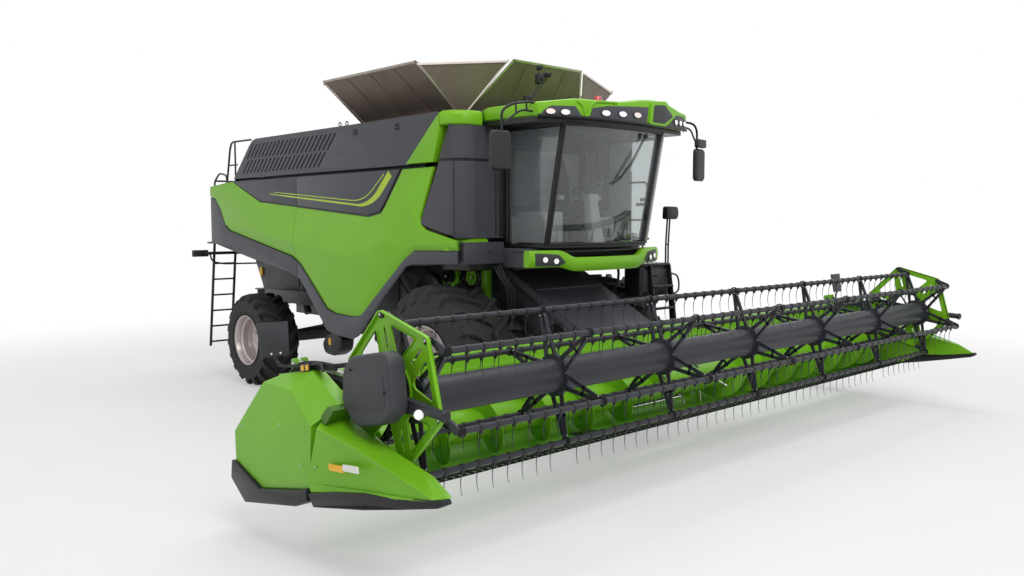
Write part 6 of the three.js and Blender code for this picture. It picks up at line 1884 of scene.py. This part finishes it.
def frame():
    shape = Shape()
    for s in (-1, 1):
        shape.box((s * 0.42, -0.25, 1.06), (s * 0.52, 5.20, 1.22), DARK, 0.012, 3)
        shape.box((s * 0.47, -0.05, 1.06), (s * 0.80, 0.10, 1.22), DARK, 0.01)
        shape.box((s * 0.70, -0.05, 1.06), (s * 0.80, 0.10, 2.285), DARK, 0.012)
        shape.box((s * 0.78, -1.0, 2.05), (s * 0.99, 0.10, 2.285), DARK, 0.014)
        shape.box((s * 0.41, 1.74, 1.035), (s * 0.53, 1.86, 1.07), BLACK, 0.004)
        for y in (0.6, 1.2, 1.8, 2.4, 3.0, 3.6, 4.2):
            shape.bolt((s * 0.52, y, 1.18), (s, 0, 0), 0.014, STEEL)
            shape.bolt((s * 0.52, y, 1.10), (s, 0, 0), 0.014, STEEL)
    for y in (-0.19, 1.2, 2.5, 5.14):
        shape.box((-0.43, y - 0.05, 1.08), (0.43, y + 0.07, 1.20), DARK, 0.01)
    shape.box((-0.43, WHEELBASE - 0.13, 1.08), (0.43, WHEELBASE + 0.13, 1.20), DARK, 0.01)
    for y in (WHEELBASE - 0.13, WHEELBASE + 0.10):
        shape.prism([(-0.15, 0.62), (0.15, 0.62), (0.24, 1.19), (-0.24, 1.19)], "y", y, y + 0.03, DARK,
                    0.006)
    shape.box((-0.13, 5.12, 1.06), (0.13, 5.38, 1.22), DARK, 0.012)
    # The ledge under the corner compartment, with a locker, hoses and a green drive pulley.
    shape.box((-1.60, -0.56, 2.10), (-0.985, -0.46, 2.36), DARK, 0.015, 3)
    shape.bolt((-1.22, -0.56, 2.24), (0, -1, 0), 0.012, BLACK)
    shape.box((-1.45, -0.46, 2.02), (-1.05, 0.05, 2.34), BLACK, 0.02)
    for s in (-1, 1):
        pulley(shape, 0.86, 0.55, 1.88, 0.165, s, GREEN)
        pulley(shape, 0.90, 0.56, 1.90, 0.09, s, BLACK, 0.07)
        pulley(shape, 0.86, 0.14, 1.90, 0.10, s, GREEN)
        pulley(shape, 0.88, 0.30, 1.72, 0.06, s, GREEN)
        belt(shape, 0.885, (0.55, 1.88, 0.16), (0.14, 1.90, 0.095), s)
        shape.box((s * 0.70, -0.02, 1.84), (s * 0.88, 0.62, 1.92), BLACK, 0.01)
        shape.box((s * 0.78, -0.10, 1.45), (s * 0.87, 0.0, 2.10), GREEN_DEEP, 0.01)
        # Black fillers behind the seam between the hood and the side covers, painted shade for the gap.
        shape.box((s * 1.44, 0.30, 3.18), (s * 1.50, 4.40, 3.36), BLACK, 0.004)
        hose = soft_line([(s * 1.02, -0.50, 2.12), (s * 1.06, -0.62, 1.98), (s * 0.96, -0.70, 1.80),
                          (s * 0.86, -0.60, 1.50), (s * 0.80, -0.30, 1.20)], 0.15, 7)
        for k in range(3):
            shape.tube([p + Vector((0.03 * k * s, 0.02 * k, 0)) for p in hose], 0.014, HOSE, 8)
    shape.box((-0.95, -1.05, 2.19), (0.95, -0.10, 2.285), BLACK, 0.01)
    for x in (-0.6, 0.6):
        shape.turned([(0, 0), (0, 0.05), (0.02, 0.06), (0.05, 0.06), (0.07, 0.05), (0.07, 0)],
                     (x, -0.95, 2.29 - 0.0), (0, 0, -1), BLACK, 20)
    shape.piece("frame_main", "chassis", "dark_paint", replaces=["main_frame"])


def belly():
    shape = Shape()
    side = pane(0.64, 1.23, 4.15, 2.39, 0.05)
    shape.prism(side, "x", -0.80, 0.80, DARK, 0.01)
    for s in (-1, 1):
        for low, high in ((0.75, 1.75), (1.82, 2.9), (2.97, 4.05)):
            panel = pane(low, 1.32, high, 2.30, 0.06)
            shape.prism(panel, "x", s * 0.795, s * 0.812, CHARCOAL, 0.005)
        wheels = [(1.05, 1.60, 0.30), (1.75, 2.05, 0.18), (2.45, 1.65, 0.24), (3.10, 2.05, 0.15),
                  (3.70, 1.60, 0.26), (1.45, 1.38, 0.10)]
        for k, (y, z, r) in enumerate(wheels):
            pulley(shape, 0.82 + 0.04 * (k % 2), y, z, r, s, GREEN if k in (1, 4) else BLACK, 0.06)
        for a, b in ((0, 1), (2, 3), (3, 4)):
            belt(shape, 0.86 + 0.04 * (a % 2), wheels[a], wheels[b], s)
    for k in range(5):
        shape.box((-0.78, 1.0 + k * 0.62, 1.215), (0.78, 1.06 + k * 0.62, 1.232), BLACK, 0.004)
    shape.piece("body_separator", "chassis", "dark_paint", replaces=["separator_body"])


def engine():
    shape = Shape()
    shape.box((-0.42, 2.66, 2.62), (0.42, 3.82, 3.12), CHARCOAL, 0.03, 3)
    shape.box((-0.36, 2.72, 3.10), (0.36, 3.76, 3.30), BLACK, 0.04, 3)
    shape.box((-0.48, 2.60, 2.50), (0.48, 3.90, 2.64), BLACK, 0.02)
    for k in range(6):
        shape.box((-0.20, 2.80 + k * 0.16, 3.29), (0.20, 2.90 + k * 0.16, 3.37), CHARCOAL, 0.02, 3)
        shape.tube([(0.30, 2.85 + k * 0.16, 3.25), (0.46, 2.85 + k * 0.16, 3.16)], 0.028, BLACK, 12)
    shape.tube([(0.45, 2.80, 3.15), (0.45, 3.70, 3.15)], 0.045, BLACK, 16)
    shape.tube([(-0.34, 2.8, 3.40), (-0.34, 3.6, 3.40)], 0.085, STEEL, 24)
    for y in (2.66, 2.60):
        shape.turned([(0, 0), (0, 0.14), (0.03, 0.12), (0.05, 0.14), (0.05, 0)], (0.0, y, 2.80),
                     (0, -1, 0), BLACK, 24)
    shape.piece("block_engine", "chassis", "black_paint", replaces=["engine"])


def rear_hood():
    shape = Shape()
    side = rounded([(4.16, 1.25), (5.65, 1.25), (5.88, 1.50), (5.88, 2.90), (5.70, 3.18), (4.16, 3.18)],
                   [0.02, 0.08, 0.08, 0.1, 0.1, 0.02])
    shape.prism(side, "x", -0.78, 0.78, DARK, 0.012, 3)
    shape.box((-1.59, 4.42, 3.235), (1.59, 5.50, 3.27), CHARCOAL, 0.006)
    shape.box((-0.70, 4.20, 3.15), (0.70, 5.48, 3.26), BLACK, 0.01)
    for k in range(9):
        shape.box((-1.5, 4.52 + 0.11 * k, 3.268), (1.5, 4.55 + 0.11 * k, 3.276), BLACK, 0.002)
    # Rear panel with a recessed grille, the chopper and its vanes below.
    panel = pane(-0.70, 1.95, 0.70, 2.86, 0.06)
    shape.prism(panel, "y", 5.87, 5.897, GREEN, 0.01, 3)
    shape.prism(pane(-0.60, 2.04, 0.60, 2.77, 0.04), "y", 5.89, 5.902, CHARCOAL, 0.004)
    for k in range(9):
        shape.box((-0.56, 5.895, 2.09 + 0.072 * k), (0.56, 5.912, 2.12 + 0.072 * k), BLACK, 0.003)
    shape.prism(pane(-0.76, 1.18, 0.76, 1.62), "y", 5.55, 5.86, BLACK, 0.02, 3)
    for k in range(-4, 5):
        shape.prism([(k * 0.16 - 0.004, 5.86), (k * 0.16 + 0.004, 5.86), (k * 0.19 + 0.004, 6.10),
                     (k * 0.19 - 0.004, 6.10)], "z", 1.20, 1.42, BLACK, 0.0)
    shape.box((-0.80, 5.84, 1.42), (0.80, 6.12, 1.445), BLACK, 0.006)
    # The lamp bar with its boxes and bent supports.
    shape.box((-1.80, 5.87, 2.06), (1.80, 5.93, 2.11), BLACK, 0.01)
    for s in (-1, 1):
        shape.box((s * 1.73, 5.90, 2.03), (s * 1.99, 5.975, 2.14), TRIM, 0.014, 3)
        shape.box((s * 1.75, 5.972, 2.05), (s * 1.85, 5.985, 2.12), RED, 0.006)
        shape.box((s * 1.87, 5.972, 2.05), (s * 1.97, 5.985, 2.12), AMBER, 0.006)
        brace = soft_line([(s * 0.77, 5.70, 1.90), (s * 1.47, 5.90, 1.90), (s * 1.66, 5.92, 1.94),
                           (s * 1.71, 5.92, 2.09)], 0.06)
        shape.tube(brace, 0.014, BLACK, 10)
        lamp_box = (s * 0.60, 5.74, 3.02)
        shape.box((lamp_box[0] - 0.08, lamp_box[1], lamp_box[2] - 0.05),
                  (lamp_box[0] + 0.08, lamp_box[1] + 0.10, lamp_box[2] + 0.05), TRIM, 0.015, 3)
        shape.prism(pane(lamp_box[0] - 0.06, 2.985, lamp_box[0] + 0.06, 3.055, 0.02),
                    "y", 5.84, 5.852, LAMP, 0.003)
        # Dark housings that show between the cover and the rear wheel.
        housing = rounded([(3.85, 1.52), (5.10, 1.50), (5.42, 2.02), (5.42, 2.25), (3.85, 2.25)], 0.03)
        shape.prism(housing, "x", s * 0.775, s * 1.16, BLACK, 0.02, 3)
        shape.prism(pane(3.95, 1.60, 4.50, 2.00, 0.03), "x", s * 1.15, s * 1.175, CHARCOAL, 0.006)
        shape.box((s * 1.15, 5.12, 1.72), (s * 1.18, 5.20, 1.86), AMBER, 0.004)
        # Struts from the housing down towards the axle and the roller guard under the cover's foot.
        for x, a, b, r in ((0.66, (4.75, 1.50), (4.55, 1.10), 0.06),
                           (0.86, (3.92, 1.60), (3.45, 1.18), 0.06),
                           (0.86, (3.70, 1.02), (3.05, 0.99), 0.055),
                           (0.86, (3.70, 1.26), (3.35, 1.31), 0.05)):
            shape.tube([(s * x, *a), (s * x, *b)], r, BLACK, 12)
        guard = [(2.58, 0.93), (2.62, 0.74), (2.80, 0.64), (3.05, 0.66), (3.12, 0.80), (3.02, 0.93),
                 (2.80, 1.0)]
        shape.prism(rounded(guard, 0.06), "x", s * 1.05, s * 1.28, BLACK, 0.03, 3)
        shape.box((s * 1.275, 2.86, 0.80), (s * 1.286, 2.93, 0.90), AMBER, 0.003)
        shape.tube([(s * 0.52, 2.95, 1.10), (s * 1.10, 2.95, 0.86)], 0.05, BLACK, 12)
    shape.piece("hood_rear", "chassis", "dark_paint", replaces=["rear_hood"])


frame()
belly()
engine()
rear_hood()


# ---- Ladders and platform ----

def rungs(shape, x0, x1, top, foot, count, first, step, deep, material):
    for i in range(count):
        z = first + i * step
        y = foot[0] + (top[0] - foot[0]) * (z - foot[1]) / (top[1] - foot[1])
        shape.box((x0, y - deep, z), (x1, y + deep, z + 0.025), material, 0.005)
        for k in range(5):
            x = x0 + (x1 - x0) * (k + 0.5) / 5
            shape.box((x - 0.02, y - deep * 0.6, z + 0.024), (x + 0.02, y + deep * 0.6, z + 0.029), STEEL,
                      0.001)


def rear_ladder():
    shape = Shape()
    floor_z, top, foot = 2.24, (5.99, 2.26), (6.25, 0.48)
    for x in (-1.58, -1.20):
        shape.tube([(x, *top), (x, *foot)], 0.022, BLACK, 14)
    rungs(shape, -1.58, -1.20, top, foot, 6, 0.54, 0.27, 0.03, BLACK)
    shape.box((-1.60, 5.895, floor_z), (-0.70, 6.24, floor_z + 0.03), BLACK, 0.006)
    for k in range(8):
        shape.box((-1.55 + k * 0.105, 5.93, floor_z + 0.028), (-1.50 + k * 0.105, 6.20, floor_z + 0.034),
                  STEEL, 0.001)
    shape.box((-0.76, 5.885, 2.18), (-0.70, 6.0, 2.25), BLACK, 0.006)
    low = soft_line([(-1.58, 5.96, 2.26), (-1.58, 5.93, 3.28), (-1.58, 5.74, 3.41), (-1.58, 5.50, 3.37),
                     (-1.58, 5.47, 3.28)], 0.07, 6)
    shape.tube(low, 0.015, BLACK, 10)
    hoop = soft_line([(-1.58, 5.46, 3.28), (-1.58, 5.33, 3.80), (-1.58, 5.26, 3.89), (-1.58, 4.62, 3.885)],
                     0.08, 6)
    shape.tube(hoop, 0.016, BLACK, 10)
    shape.tube([(-1.58, 5.40, 3.52), (-1.58, 5.10, 3.52)], 0.013, BLACK, 10)
    shape.tube([(-1.58, 5.16, 3.28), (-1.58, 5.16, 3.885)], 0.014, BLACK, 10)
    inner = soft_line([(-1.20, 5.96, 2.26), (-1.20, 5.93, 3.29), (-1.58, 5.93, 3.29)], 0.10, 6)
    shape.tube(inner, 0.016, BLACK, 10)
    shape.tube([(-1.58, 5.945, 2.80), (-1.20, 5.945, 2.80)], 0.012, BLACK, 8)
    shape.piece("ladder_rear", "chassis", "black_paint", replaces=["rear_ladder"])


def access_platform():
    shape = Shape()
    top, outer, front_y = 2.04, 1.64, -1.05
    shape.box((1.008, front_y, top - 0.04), (outer, -0.56, top), BLACK, 0.006)
    for i in range(5):
        for k in range(6):
            shape.box((1.04 + k * 0.10, front_y + 0.05 + i * 0.085, top - 0.001),
                      (1.10 + k * 0.10, front_y + 0.08 + i * 0.085, top + 0.004), STEEL, 0.001)
    shape.box((1.008, front_y + 0.02, 1.60), (outer, -0.76, 2.01), BLACK, 0.02, 3)
    shape.box((1.06, front_y + 0.012, 1.66), (outer - 0.06, front_y + 0.022, 1.96), CHARCOAL, 0.004)
    shape.box((1.28, front_y + 0.004, 1.86), (1.38, front_y + 0.014, 1.89), BLACK, 0.004)
    head, foot = (front_y, 2.02), (front_y - 0.20, 0.52)
    for x in (1.18, 1.60):
        # Solid cheeks that widen towards the foot.
        cheek = [(foot[0] - 0.05, foot[1]), (foot[0] + 0.10, foot[1]), (head[0] + 0.03, head[1]),
                 (head[0] - 0.03, head[1])]
        shape.prism(cheek, "x", x - 0.012, x + 0.012, BLACK, 0.004)
    rungs(shape, 1.18, 1.60, head, foot, 5, 0.56, 0.29, 0.05, BLACK)
    grab = soft_line([(1.61, -1.08, 1.90), (1.66, -1.15, 1.88), (1.68, -1.17, 1.78), (1.67, -1.17, 1.66),
                      (1.61, -1.12, 1.62)], 0.05)
    shape.tube(grab, 0.012, BLACK, 8)
    # The lamp box on two thin posts at the platform's front edge.
    y = front_y + 0.02
    for x in (1.56, 1.615):
        shape.tube(soft_line([(x, y, top - 0.01), (x, y, 2.30), (x + 0.03, y, 2.64)], 0.1), 0.012, BLACK, 8)
    shape.box((1.55, y - 0.008, 2.28), (1.625, y + 0.008, 2.30), BLACK, 0.003)
    lamp_face = rounded([(1.53, 2.63), (1.76, 2.63), (1.79, 2.70), (1.77, 2.80), (1.54, 2.805)], 0.035)
    shape.prism(lamp_face, "y", y - 0.05, y + 0.05, TRIM, 0.02, 3)
    shape.prism(pane(1.575, 2.66, 1.735, 2.77, 0.03), "y", y - 0.054, y - 0.045, CHARCOAL, 0.003)
    # A low hand rail beside the screen's foot.
    rail = soft_line([(1.05, -1.02, 2.05), (1.03, -1.06, 2.34), (0.99, -1.18, 2.38)], 0.06)
    shape.tube(rail, 0.012, BLACK, 8)
    shape.piece("platform_access", "chassis", "black_paint", replaces=["access_platform"])


rear_ladder()
access_platform()


# ---- Feeder house and lift ----

def feeder():
    shape = Shape()
    slope = math.radians(37.9)
    along, up = Vector((-math.cos(slope), -math.sin(slope))), Vector((-math.sin(slope), math.cos(slope)))
    pivot = Vector((0.3, 2.0))

    def at(d, h):
        p = pivot + along * d + up * h
        return (p.x, p.y)

    front = -1.69

    def edge(h):
        d = (pivot.x + up.x * h - front) / -along.x
        return at(d, h)

    half, deep = 0.62, 0.27
    top_arc = [(pivot.x + deep * math.cos(a), pivot.y + deep * math.sin(a)) for a in
               (slope - math.pi / 2 + math.pi * k / 12 for k in range(13))]
    side = [edge(-deep), *top_arc, edge(deep)]
    for s in (-1, 1):
        shape.prism(side, "x", *sorted((s * half, s * (half - 0.02))), DARK, 0.004)
        # Flanges along the side sheet's edges and ribs across it.
        for h in (-deep + 0.012, deep - 0.012):
            rim = [at(0.05, h - 0.012), edge(h - 0.012), edge(h + 0.012), at(0.05, h + 0.012)]
            shape.prism(rim, "x", *sorted((s * half, s * (half + 0.022))), DARK, 0.003)
        for d in (0.55, 1.15, 1.75):
            rib = [at(d - 0.02, -deep + 0.03), at(d + 0.02, -deep + 0.03), at(d + 0.02, deep - 0.03),
                   at(d - 0.02, deep - 0.03)]
            shape.prism(rib, "x", *sorted((s * half, s * (half + 0.018))), DARK, 0.004)
        pulley(shape, half, pivot.x, pivot.y, 0.16, s, BLACK)
        one, two = at(1.6, 0.02), at(0.05, 0.0)
        pulley(shape, half + 0.005, one[0], one[1], 0.13, s, BLACK)
        belt(shape, half + 0.045, (*one, 0.13), (*two, 0.15), s)
    for h0, h1 in ((deep - 0.02, deep), (-deep, -deep + 0.02)):
        a, b = edge(h0), edge(h1)
        shape.prism([at(0, h0), a, b, at(0, h1)], "x", -half + 0.01, half - 0.01, DARK, 0.002)
    shape.prism([(p[0], p[1]) for p in top_arc] + [(pivot.x + (deep - 0.02) * math.cos(a),
                                                    pivot.y + (deep - 0.02) * math.sin(a)) for a in
                (slope + math.pi / 2 - math.pi * k / 12 for k in range(13))], "x", -half + 0.01,
                half - 0.01, DARK, 0.0)
    for d in (0.5, 1.0, 1.5, 2.0):
        rib = [at(d - 0.025, deep), at(d + 0.025, deep), at(d + 0.018, deep + 0.016),
               at(d - 0.018, deep + 0.016)]
        shape.prism(rib, "x", -half + 0.04, half - 0.04, DARK, 0.004)
    # The conveyor's slats inside the mouth.
    for k in range(12):
        d = 0.3 + k * 0.16
        slat = [at(d - 0.012, -0.20), at(d + 0.012, -0.20), at(d + 0.012, -0.17), at(d - 0.012, -0.17)]
        shape.prism(slat, "x", -0.55, 0.55, STEEL, 0.0)
    # Lugs for the lift cylinders.
    inverse = HEADER.inverted() @ MACHINE
    pin = inverse @ Vector((0, -1.30, 0.74))
    for s in (-1, 1):
        root = -deep + 0.01
        line = [(pin.y - 0.06, pin.z - 0.05), (pin.y + 0.06, pin.z - 0.05)]
        def under(y):
            d = (pivot.x + up.x * root - y) / -along.x
            return at(d, root)
        ear = [*line, under(pin.y + 0.15), under(pin.y - 0.15)]
        shape.prism(ear, "x", *sorted((s * 0.545 - 0.012, s * 0.545 + 0.012)), DARK, 0.004)
    # A collar where the header hangs on.
    a, b, c, d = edge(-deep), edge(deep), edge(deep + 0.03), edge(-deep - 0.03)
    shape.box((-0.66, -1.70, b[1] - 0.02), (0.66, -1.62, b[1] + 0.07), DARK, 0.01)
    shape.piece("house_feeder", "header", "dark_paint", HEADER, replaces=["feeder_house"])


def lift_cylinders():
    one, two = Vector((-0.06, 0.69)), Vector((-1.30, 0.74))
    length = (two - one).length
    along = (two - one) / length

    def at(x, d):
        p = one + along * d
        return (x, p.x, p.y)

    barrels, rods = Shape(), Shape()
    barrels.tube([(-0.585, *one), (0.585, *one)], 0.034, BLACK, 16)
    rods.tube([(-0.49, *two), (0.49, *two)], 0.028, STEEL, 16)
    for x in (-0.49, 0.49):
        w = (0, along.x, along.y)
        barrels.turned([(0, 0), (0, 0.058), (0.05, 0.062), (0.79, 0.062), (0.80, 0.056), (0.80, 0.042),
                        (0.10, 0.042), (0.10, 0)], at(x, 0), w, BLACK, 28)
        barrels.turned([(0.70, 0.062), (0.70, 0.07), (0.78, 0.07), (0.78, 0.062)], at(x, 0), w, DARK, 28)
        barrels.tube([Vector(at(x, 0.12)) + Vector((0, 0, h)) for h in (0.055, 0.10)], 0.016, BLACK, 10)
        rods.tube([at(x, 0.33), at(x, length)], 0.032, STEEL, 24)
        rods.tube([(x, *two), (x + math.copysign(0.036, x), *two)], 0.044, BLACK, 24)
    barrels.piece("cylinders_lift", "lift_barrels", "black_paint", replaces=["lift_barrels"])
    rods.piece("plungers_lift", "lift_rods", "bright_steel", replaces=["lift_rods"])


feeder()
lift_cylinders()


# ---- Grain tank, its panels and the unloading auger ----

def sheet(shape, corners, thick, material):
    """A flat plate between corner points, with a bright flange along its edges on both faces."""
    corners = [Vector(c) for c in corners]
    normal = (corners[1] - corners[0]).cross(corners[-1] - corners[0]).normalized()
    centre = sum(corners, Vector()) / len(corners)
    shape.loft([[c + normal * t for c in corners] for t in (-thick / 2, thick / 2)], material)
    for a, b in zip(corners, corners[1:] + corners[:1]):
        along = (b - a).normalized()
        inward = normal.cross(along)
        if inward.dot(centre - a) < 0:
            inward = -inward
        for t in (-1, 1):
            base, top = normal * t * thick * 0.45, normal * t * (thick / 2 + 0.003)
            strip = [a, b, b + inward * 0.026, a + inward * 0.026]
            shape.loft([[p + base for p in strip], [p + top for p in strip]], FLANGE)


def grain_tank():
    shape = Shape()
    y0, y1, half = 0.09, 2.17, 1.10
    wall = 0.03
    bin_line = [(-0.74, 2.45), (0.74, 2.45), (half, 2.815), (half, 3.93), (-half, 3.93), (-half, 2.815)]
    out_line = [(-0.77, 2.42), (0.77, 2.42), (half + wall, 2.80), (half + wall, 3.93),
                (-half - wall, 3.93), (-half - wall, 2.80)]
    end_line = [(x, min(z, 3.91)) for x, z in out_line]
    for a, b in ((y0 - wall, y0), (y1, y1 + wall)):
        shape.prism(end_line, "y", a, b, TANK_STEEL, 0.004)
    for i in (0, 1, 5):
        j = (i + 1) % 6
        shape.prism([bin_line[i], bin_line[j], out_line[j], out_line[i]], "y", y0, y1, TANK_STEEL, 0.0)
    for i, j in ((2, 3), (5, 4)):
        shape.prism([bin_line[i], bin_line[j], out_line[j], out_line[i]], "y", y0, y1, TANK_STEEL, 0.0)
    # Rim angle, ribs down the walls, the cross augers and the filling auger's dome.
    for s in (-1, 1):
        shape.box((min(s * half, s * (half + 0.055)), y0 - 0.03, 3.90),
                  (max(s * half, s * (half + 0.055)), y1 + 0.03, 3.935), FLANGE, 0.004)
    for a, b in ((y0 - 0.055, y0), (y1, y1 + 0.055)):
        shape.box((-half - 0.03, a, 3.88), (half + 0.03, b, 3.915), FLANGE, 0.004)
    for x in (-0.75, -0.25, 0.25, 0.75):
        shape.box((x - 0.02, y0 - 0.055, 3.0), (x + 0.02, y0 - 0.028, 3.90), TANK_STEEL, 0.004)
        shape.box((x - 0.02, y1 + 0.028, 3.0), (x + 0.02, y1 + 0.055, 3.90), TANK_STEEL, 0.004)
    for y in (0.55, 1.15, 1.75):
        for s in (-1, 1):
            shape.box((s * 1.128, y - 0.02, 3.0), (s * 1.15, y + 0.02, 3.90), TANK_STEEL, 0.004)
    for y in (0.75, 1.55):
        shape.tube([(-0.73, y, 2.55), (0.95, y, 2.55)], 0.03, STEEL, 14)
        rings = []
        for k in range(97):
            x = -0.72 + 1.44 * k / 96
            a = 2 * math.pi * (x + 0.72) / 0.24
            out, c = Vector((0, math.cos(a), math.sin(a))), Vector((x, y, 2.55))
            rings.append([c + out * 0.028 - Vector((0.003, 0, 0)), c + out * 0.085 - Vector((0.002, 0, 0)),
                          c + out * 0.085 + Vector((0.002, 0, 0)), c + out * 0.028 + Vector((0.003, 0, 0))])
        shape.loft(rings, STEEL)
    shape.prism([(-0.9, 2.67), (0.9, 2.67), (0.0, 2.80)], "y", 0.66, 0.84, TANK_STEEL, 0.003)
    shape.prism([(-0.9, 2.67), (0.9, 2.67), (0.0, 2.80)], "y", 1.46, 1.64, TANK_STEEL, 0.003)
    # Turret that feeds the unloading auger.
    ax, ay = 1.45, 0.74
    shape.tube([(ax, ay, 2.51), (ax, ay, 3.29)], 0.17, DARK, 32)
    shape.turned([(0, 0.17), (0, 0.21), (0.03, 0.21), (0.03, 0.17)], (ax, ay, 3.25), (0, 0, 1), DARK, 32)
    shape.box((0.95, ay - 0.12, 2.53), (ax, ay + 0.12, 2.75), DARK, 0.01)
    # The fixed corner plates between the folding panels.
    for s in (-1, 1):
        for y, toward in ((y0, -1), (y1, 1)):
            base, corner = 3.90, half + 0.01
            points = [(s * (corner - 0.055), y + toward * 0.012, base),
                      (s * corner, y - toward * 0.043, base),
                      (s * (half + 0.66), y - toward * 0.01, 4.455), (s * 0.675, y + toward * 0.41, 4.565)]
            sheet(shape, points, 0.008, TANK_STEEL)
    shape.piece("bin_grain", "chassis", "tank_steel", replaces=["grain_tank"])


def tank_panels():
    rise = math.atan2(0.505, 0.68)
    length = math.hypot(0.505, 0.68)
    for side, s in SIDES.items():
        shape = Shape()
        hinge = Vector((s * 1.10, 0, 3.975))
        out = Vector((s * math.cos(rise), 0, math.sin(rise)))
        corners = [hinge + out * d + Vector((0, y, 0)) for d,
                   y in ((0.0, 0.11), (length, 0.11), (length, 2.15), (0.0, 2.15))]
        sheet(shape, corners, 0.010, TANK_STEEL)
        normal = Vector((-s * math.sin(rise), 0, math.cos(rise)))
        for y in (0.62, 1.13, 1.64):
            a, b = hinge + out * 0.06 + Vector((0, y, 0)), hinge + out * (length - 0.06) + Vector((0, y, 0))
            wide, under = Vector((0, 0.03, 0)), -normal * 0.004
            ring = [a - wide, b - wide, b + wide, a + wide]
            shape.loft([[p + under for p in ring], [p + under * 3.2 for p in ring]], TANK_STEEL)
        for y in (0.35, 1.13, 1.91):
            shape.tube([hinge + Vector((0, y - 0.06, 0)), hinge + Vector((0, y + 0.06, 0))], 0.014, STEEL,
                       10)
        shape.piece("panel_tank_" + side, "tank_panel_" + side, "tank_steel",
                    replaces=["tank_panel_" + side])
    lean_by = math.atan2(0.43, 0.635)
    length = math.hypot(0.43, 0.635)
    for end, y, toward in (("front", 0.09, -1), ("rear", 2.17, 1)):
        shape = Shape()
        hinge = Vector((0, y, 3.95))
        out = Vector((0, toward * math.sin(lean_by), math.cos(lean_by)))
        corners = [hinge + out * d + Vector((x, 0, 0)) for d,
                   x in ((0, -1.025), (0, 1.025), (length, 0.615), (length, -0.615))]
        sheet(shape, corners, 0.010, TANK_STEEL)
        normal = Vector((0, toward * math.cos(lean_by), -math.sin(lean_by)))
        for x in (-0.35, 0.35):
            a, b = hinge + out * 0.06 + Vector((x, 0, 0)), hinge + out * (length - 0.06) + Vector((x, 0, 0))
            wide = Vector((0.03, 0, 0))
            ring = [a - wide, b - wide, b + wide, a + wide]
            shape.loft([[p + normal * 0.004 for p in ring], [p + normal * 0.013 for p in ring]], TANK_STEEL)
        for x in (-0.8, 0.0, 0.8):
            shape.tube([hinge + Vector((x - 0.06, 0, 0)), hinge + Vector((x + 0.06, 0, 0))], 0.014, STEEL,
                       10)
        shape.piece("panel_tank_" + end, "tank_panel_" + end, "tank_steel", replaces=["tank_panel_" + end])


def unloading_auger():
    shape = Shape()
    x, y, z, r, length = 1.45, 0.74, 3.50, 0.17, 5.05
    elbow = soft_line([(x, y, 3.322), (x, y, z + 0.02), (x, y + 0.40, z)], 0.17, 8)
    shape.tube(elbow, r - 0.002, DARK, 36)
    shape.turned([(0, r - 0.01), (0, r + 0.03), (0.03, r + 0.03), (0.03, r - 0.01)], (x, y, 3.322),
                 (0, 0, 1), DARK, 36)
    shape.tube([(x, y + 0.30, z), (x, y + length, z)], r - 0.012, DARK, 40)
    for d in (0.40, 0.46, 2.6, 4.55):
        shape.turned([(0, r - 0.02), (0, r + 0.006), (0.03, r + 0.006), (0.03, r - 0.02)], (x, y + d, z),
                     (0, 1, 0), DARK, 40)
    for k in range(12):
        a = 2 * math.pi * k / 12
        shape.bolt((x + (r + 0.0) * math.sin(a), y + 0.46, z + (r + 0.0) * math.cos(a)), (0, -1, 0), 0.008,
                   STEEL)
    end = y + length
    shape.turned([(0, 0), (0, r - 0.03), (0.012, r - 0.02), (0.012, 0)], (x, end - 0.006, z), (0, 1, 0),
                 GREEN, 40)
    spout = [[(x - w, end - 0.32 + d, zz), (x + w, end - 0.32 + d, zz), (x + w, end - 0.005 - d, zz),
              (x - w, end - 0.005 - d, zz)]
             for w, d, zz in ((0.145, 0.0, z - 0.06), (0.14, 0.0, z - 0.15), (0.12, 0.02, z - 0.23))]
    shape.loft(spout, HOSE)
    shape.box((x - 0.03, end - 0.20, z + r - 0.014), (x + 0.03, end - 0.12, z + r + 0.03), TRIM, 0.01)
    shape.tube([(x + 0.06, y + 0.5, z + r - 0.012), (x + 0.06, end - 0.2, z + r - 0.012)], 0.01, HOSE, 8)
    shape.piece("auger_unloading", "unloading_auger", "dark_paint", replaces=["unloading_auger"])


grain_tank()
tank_panels()
unloading_auger()
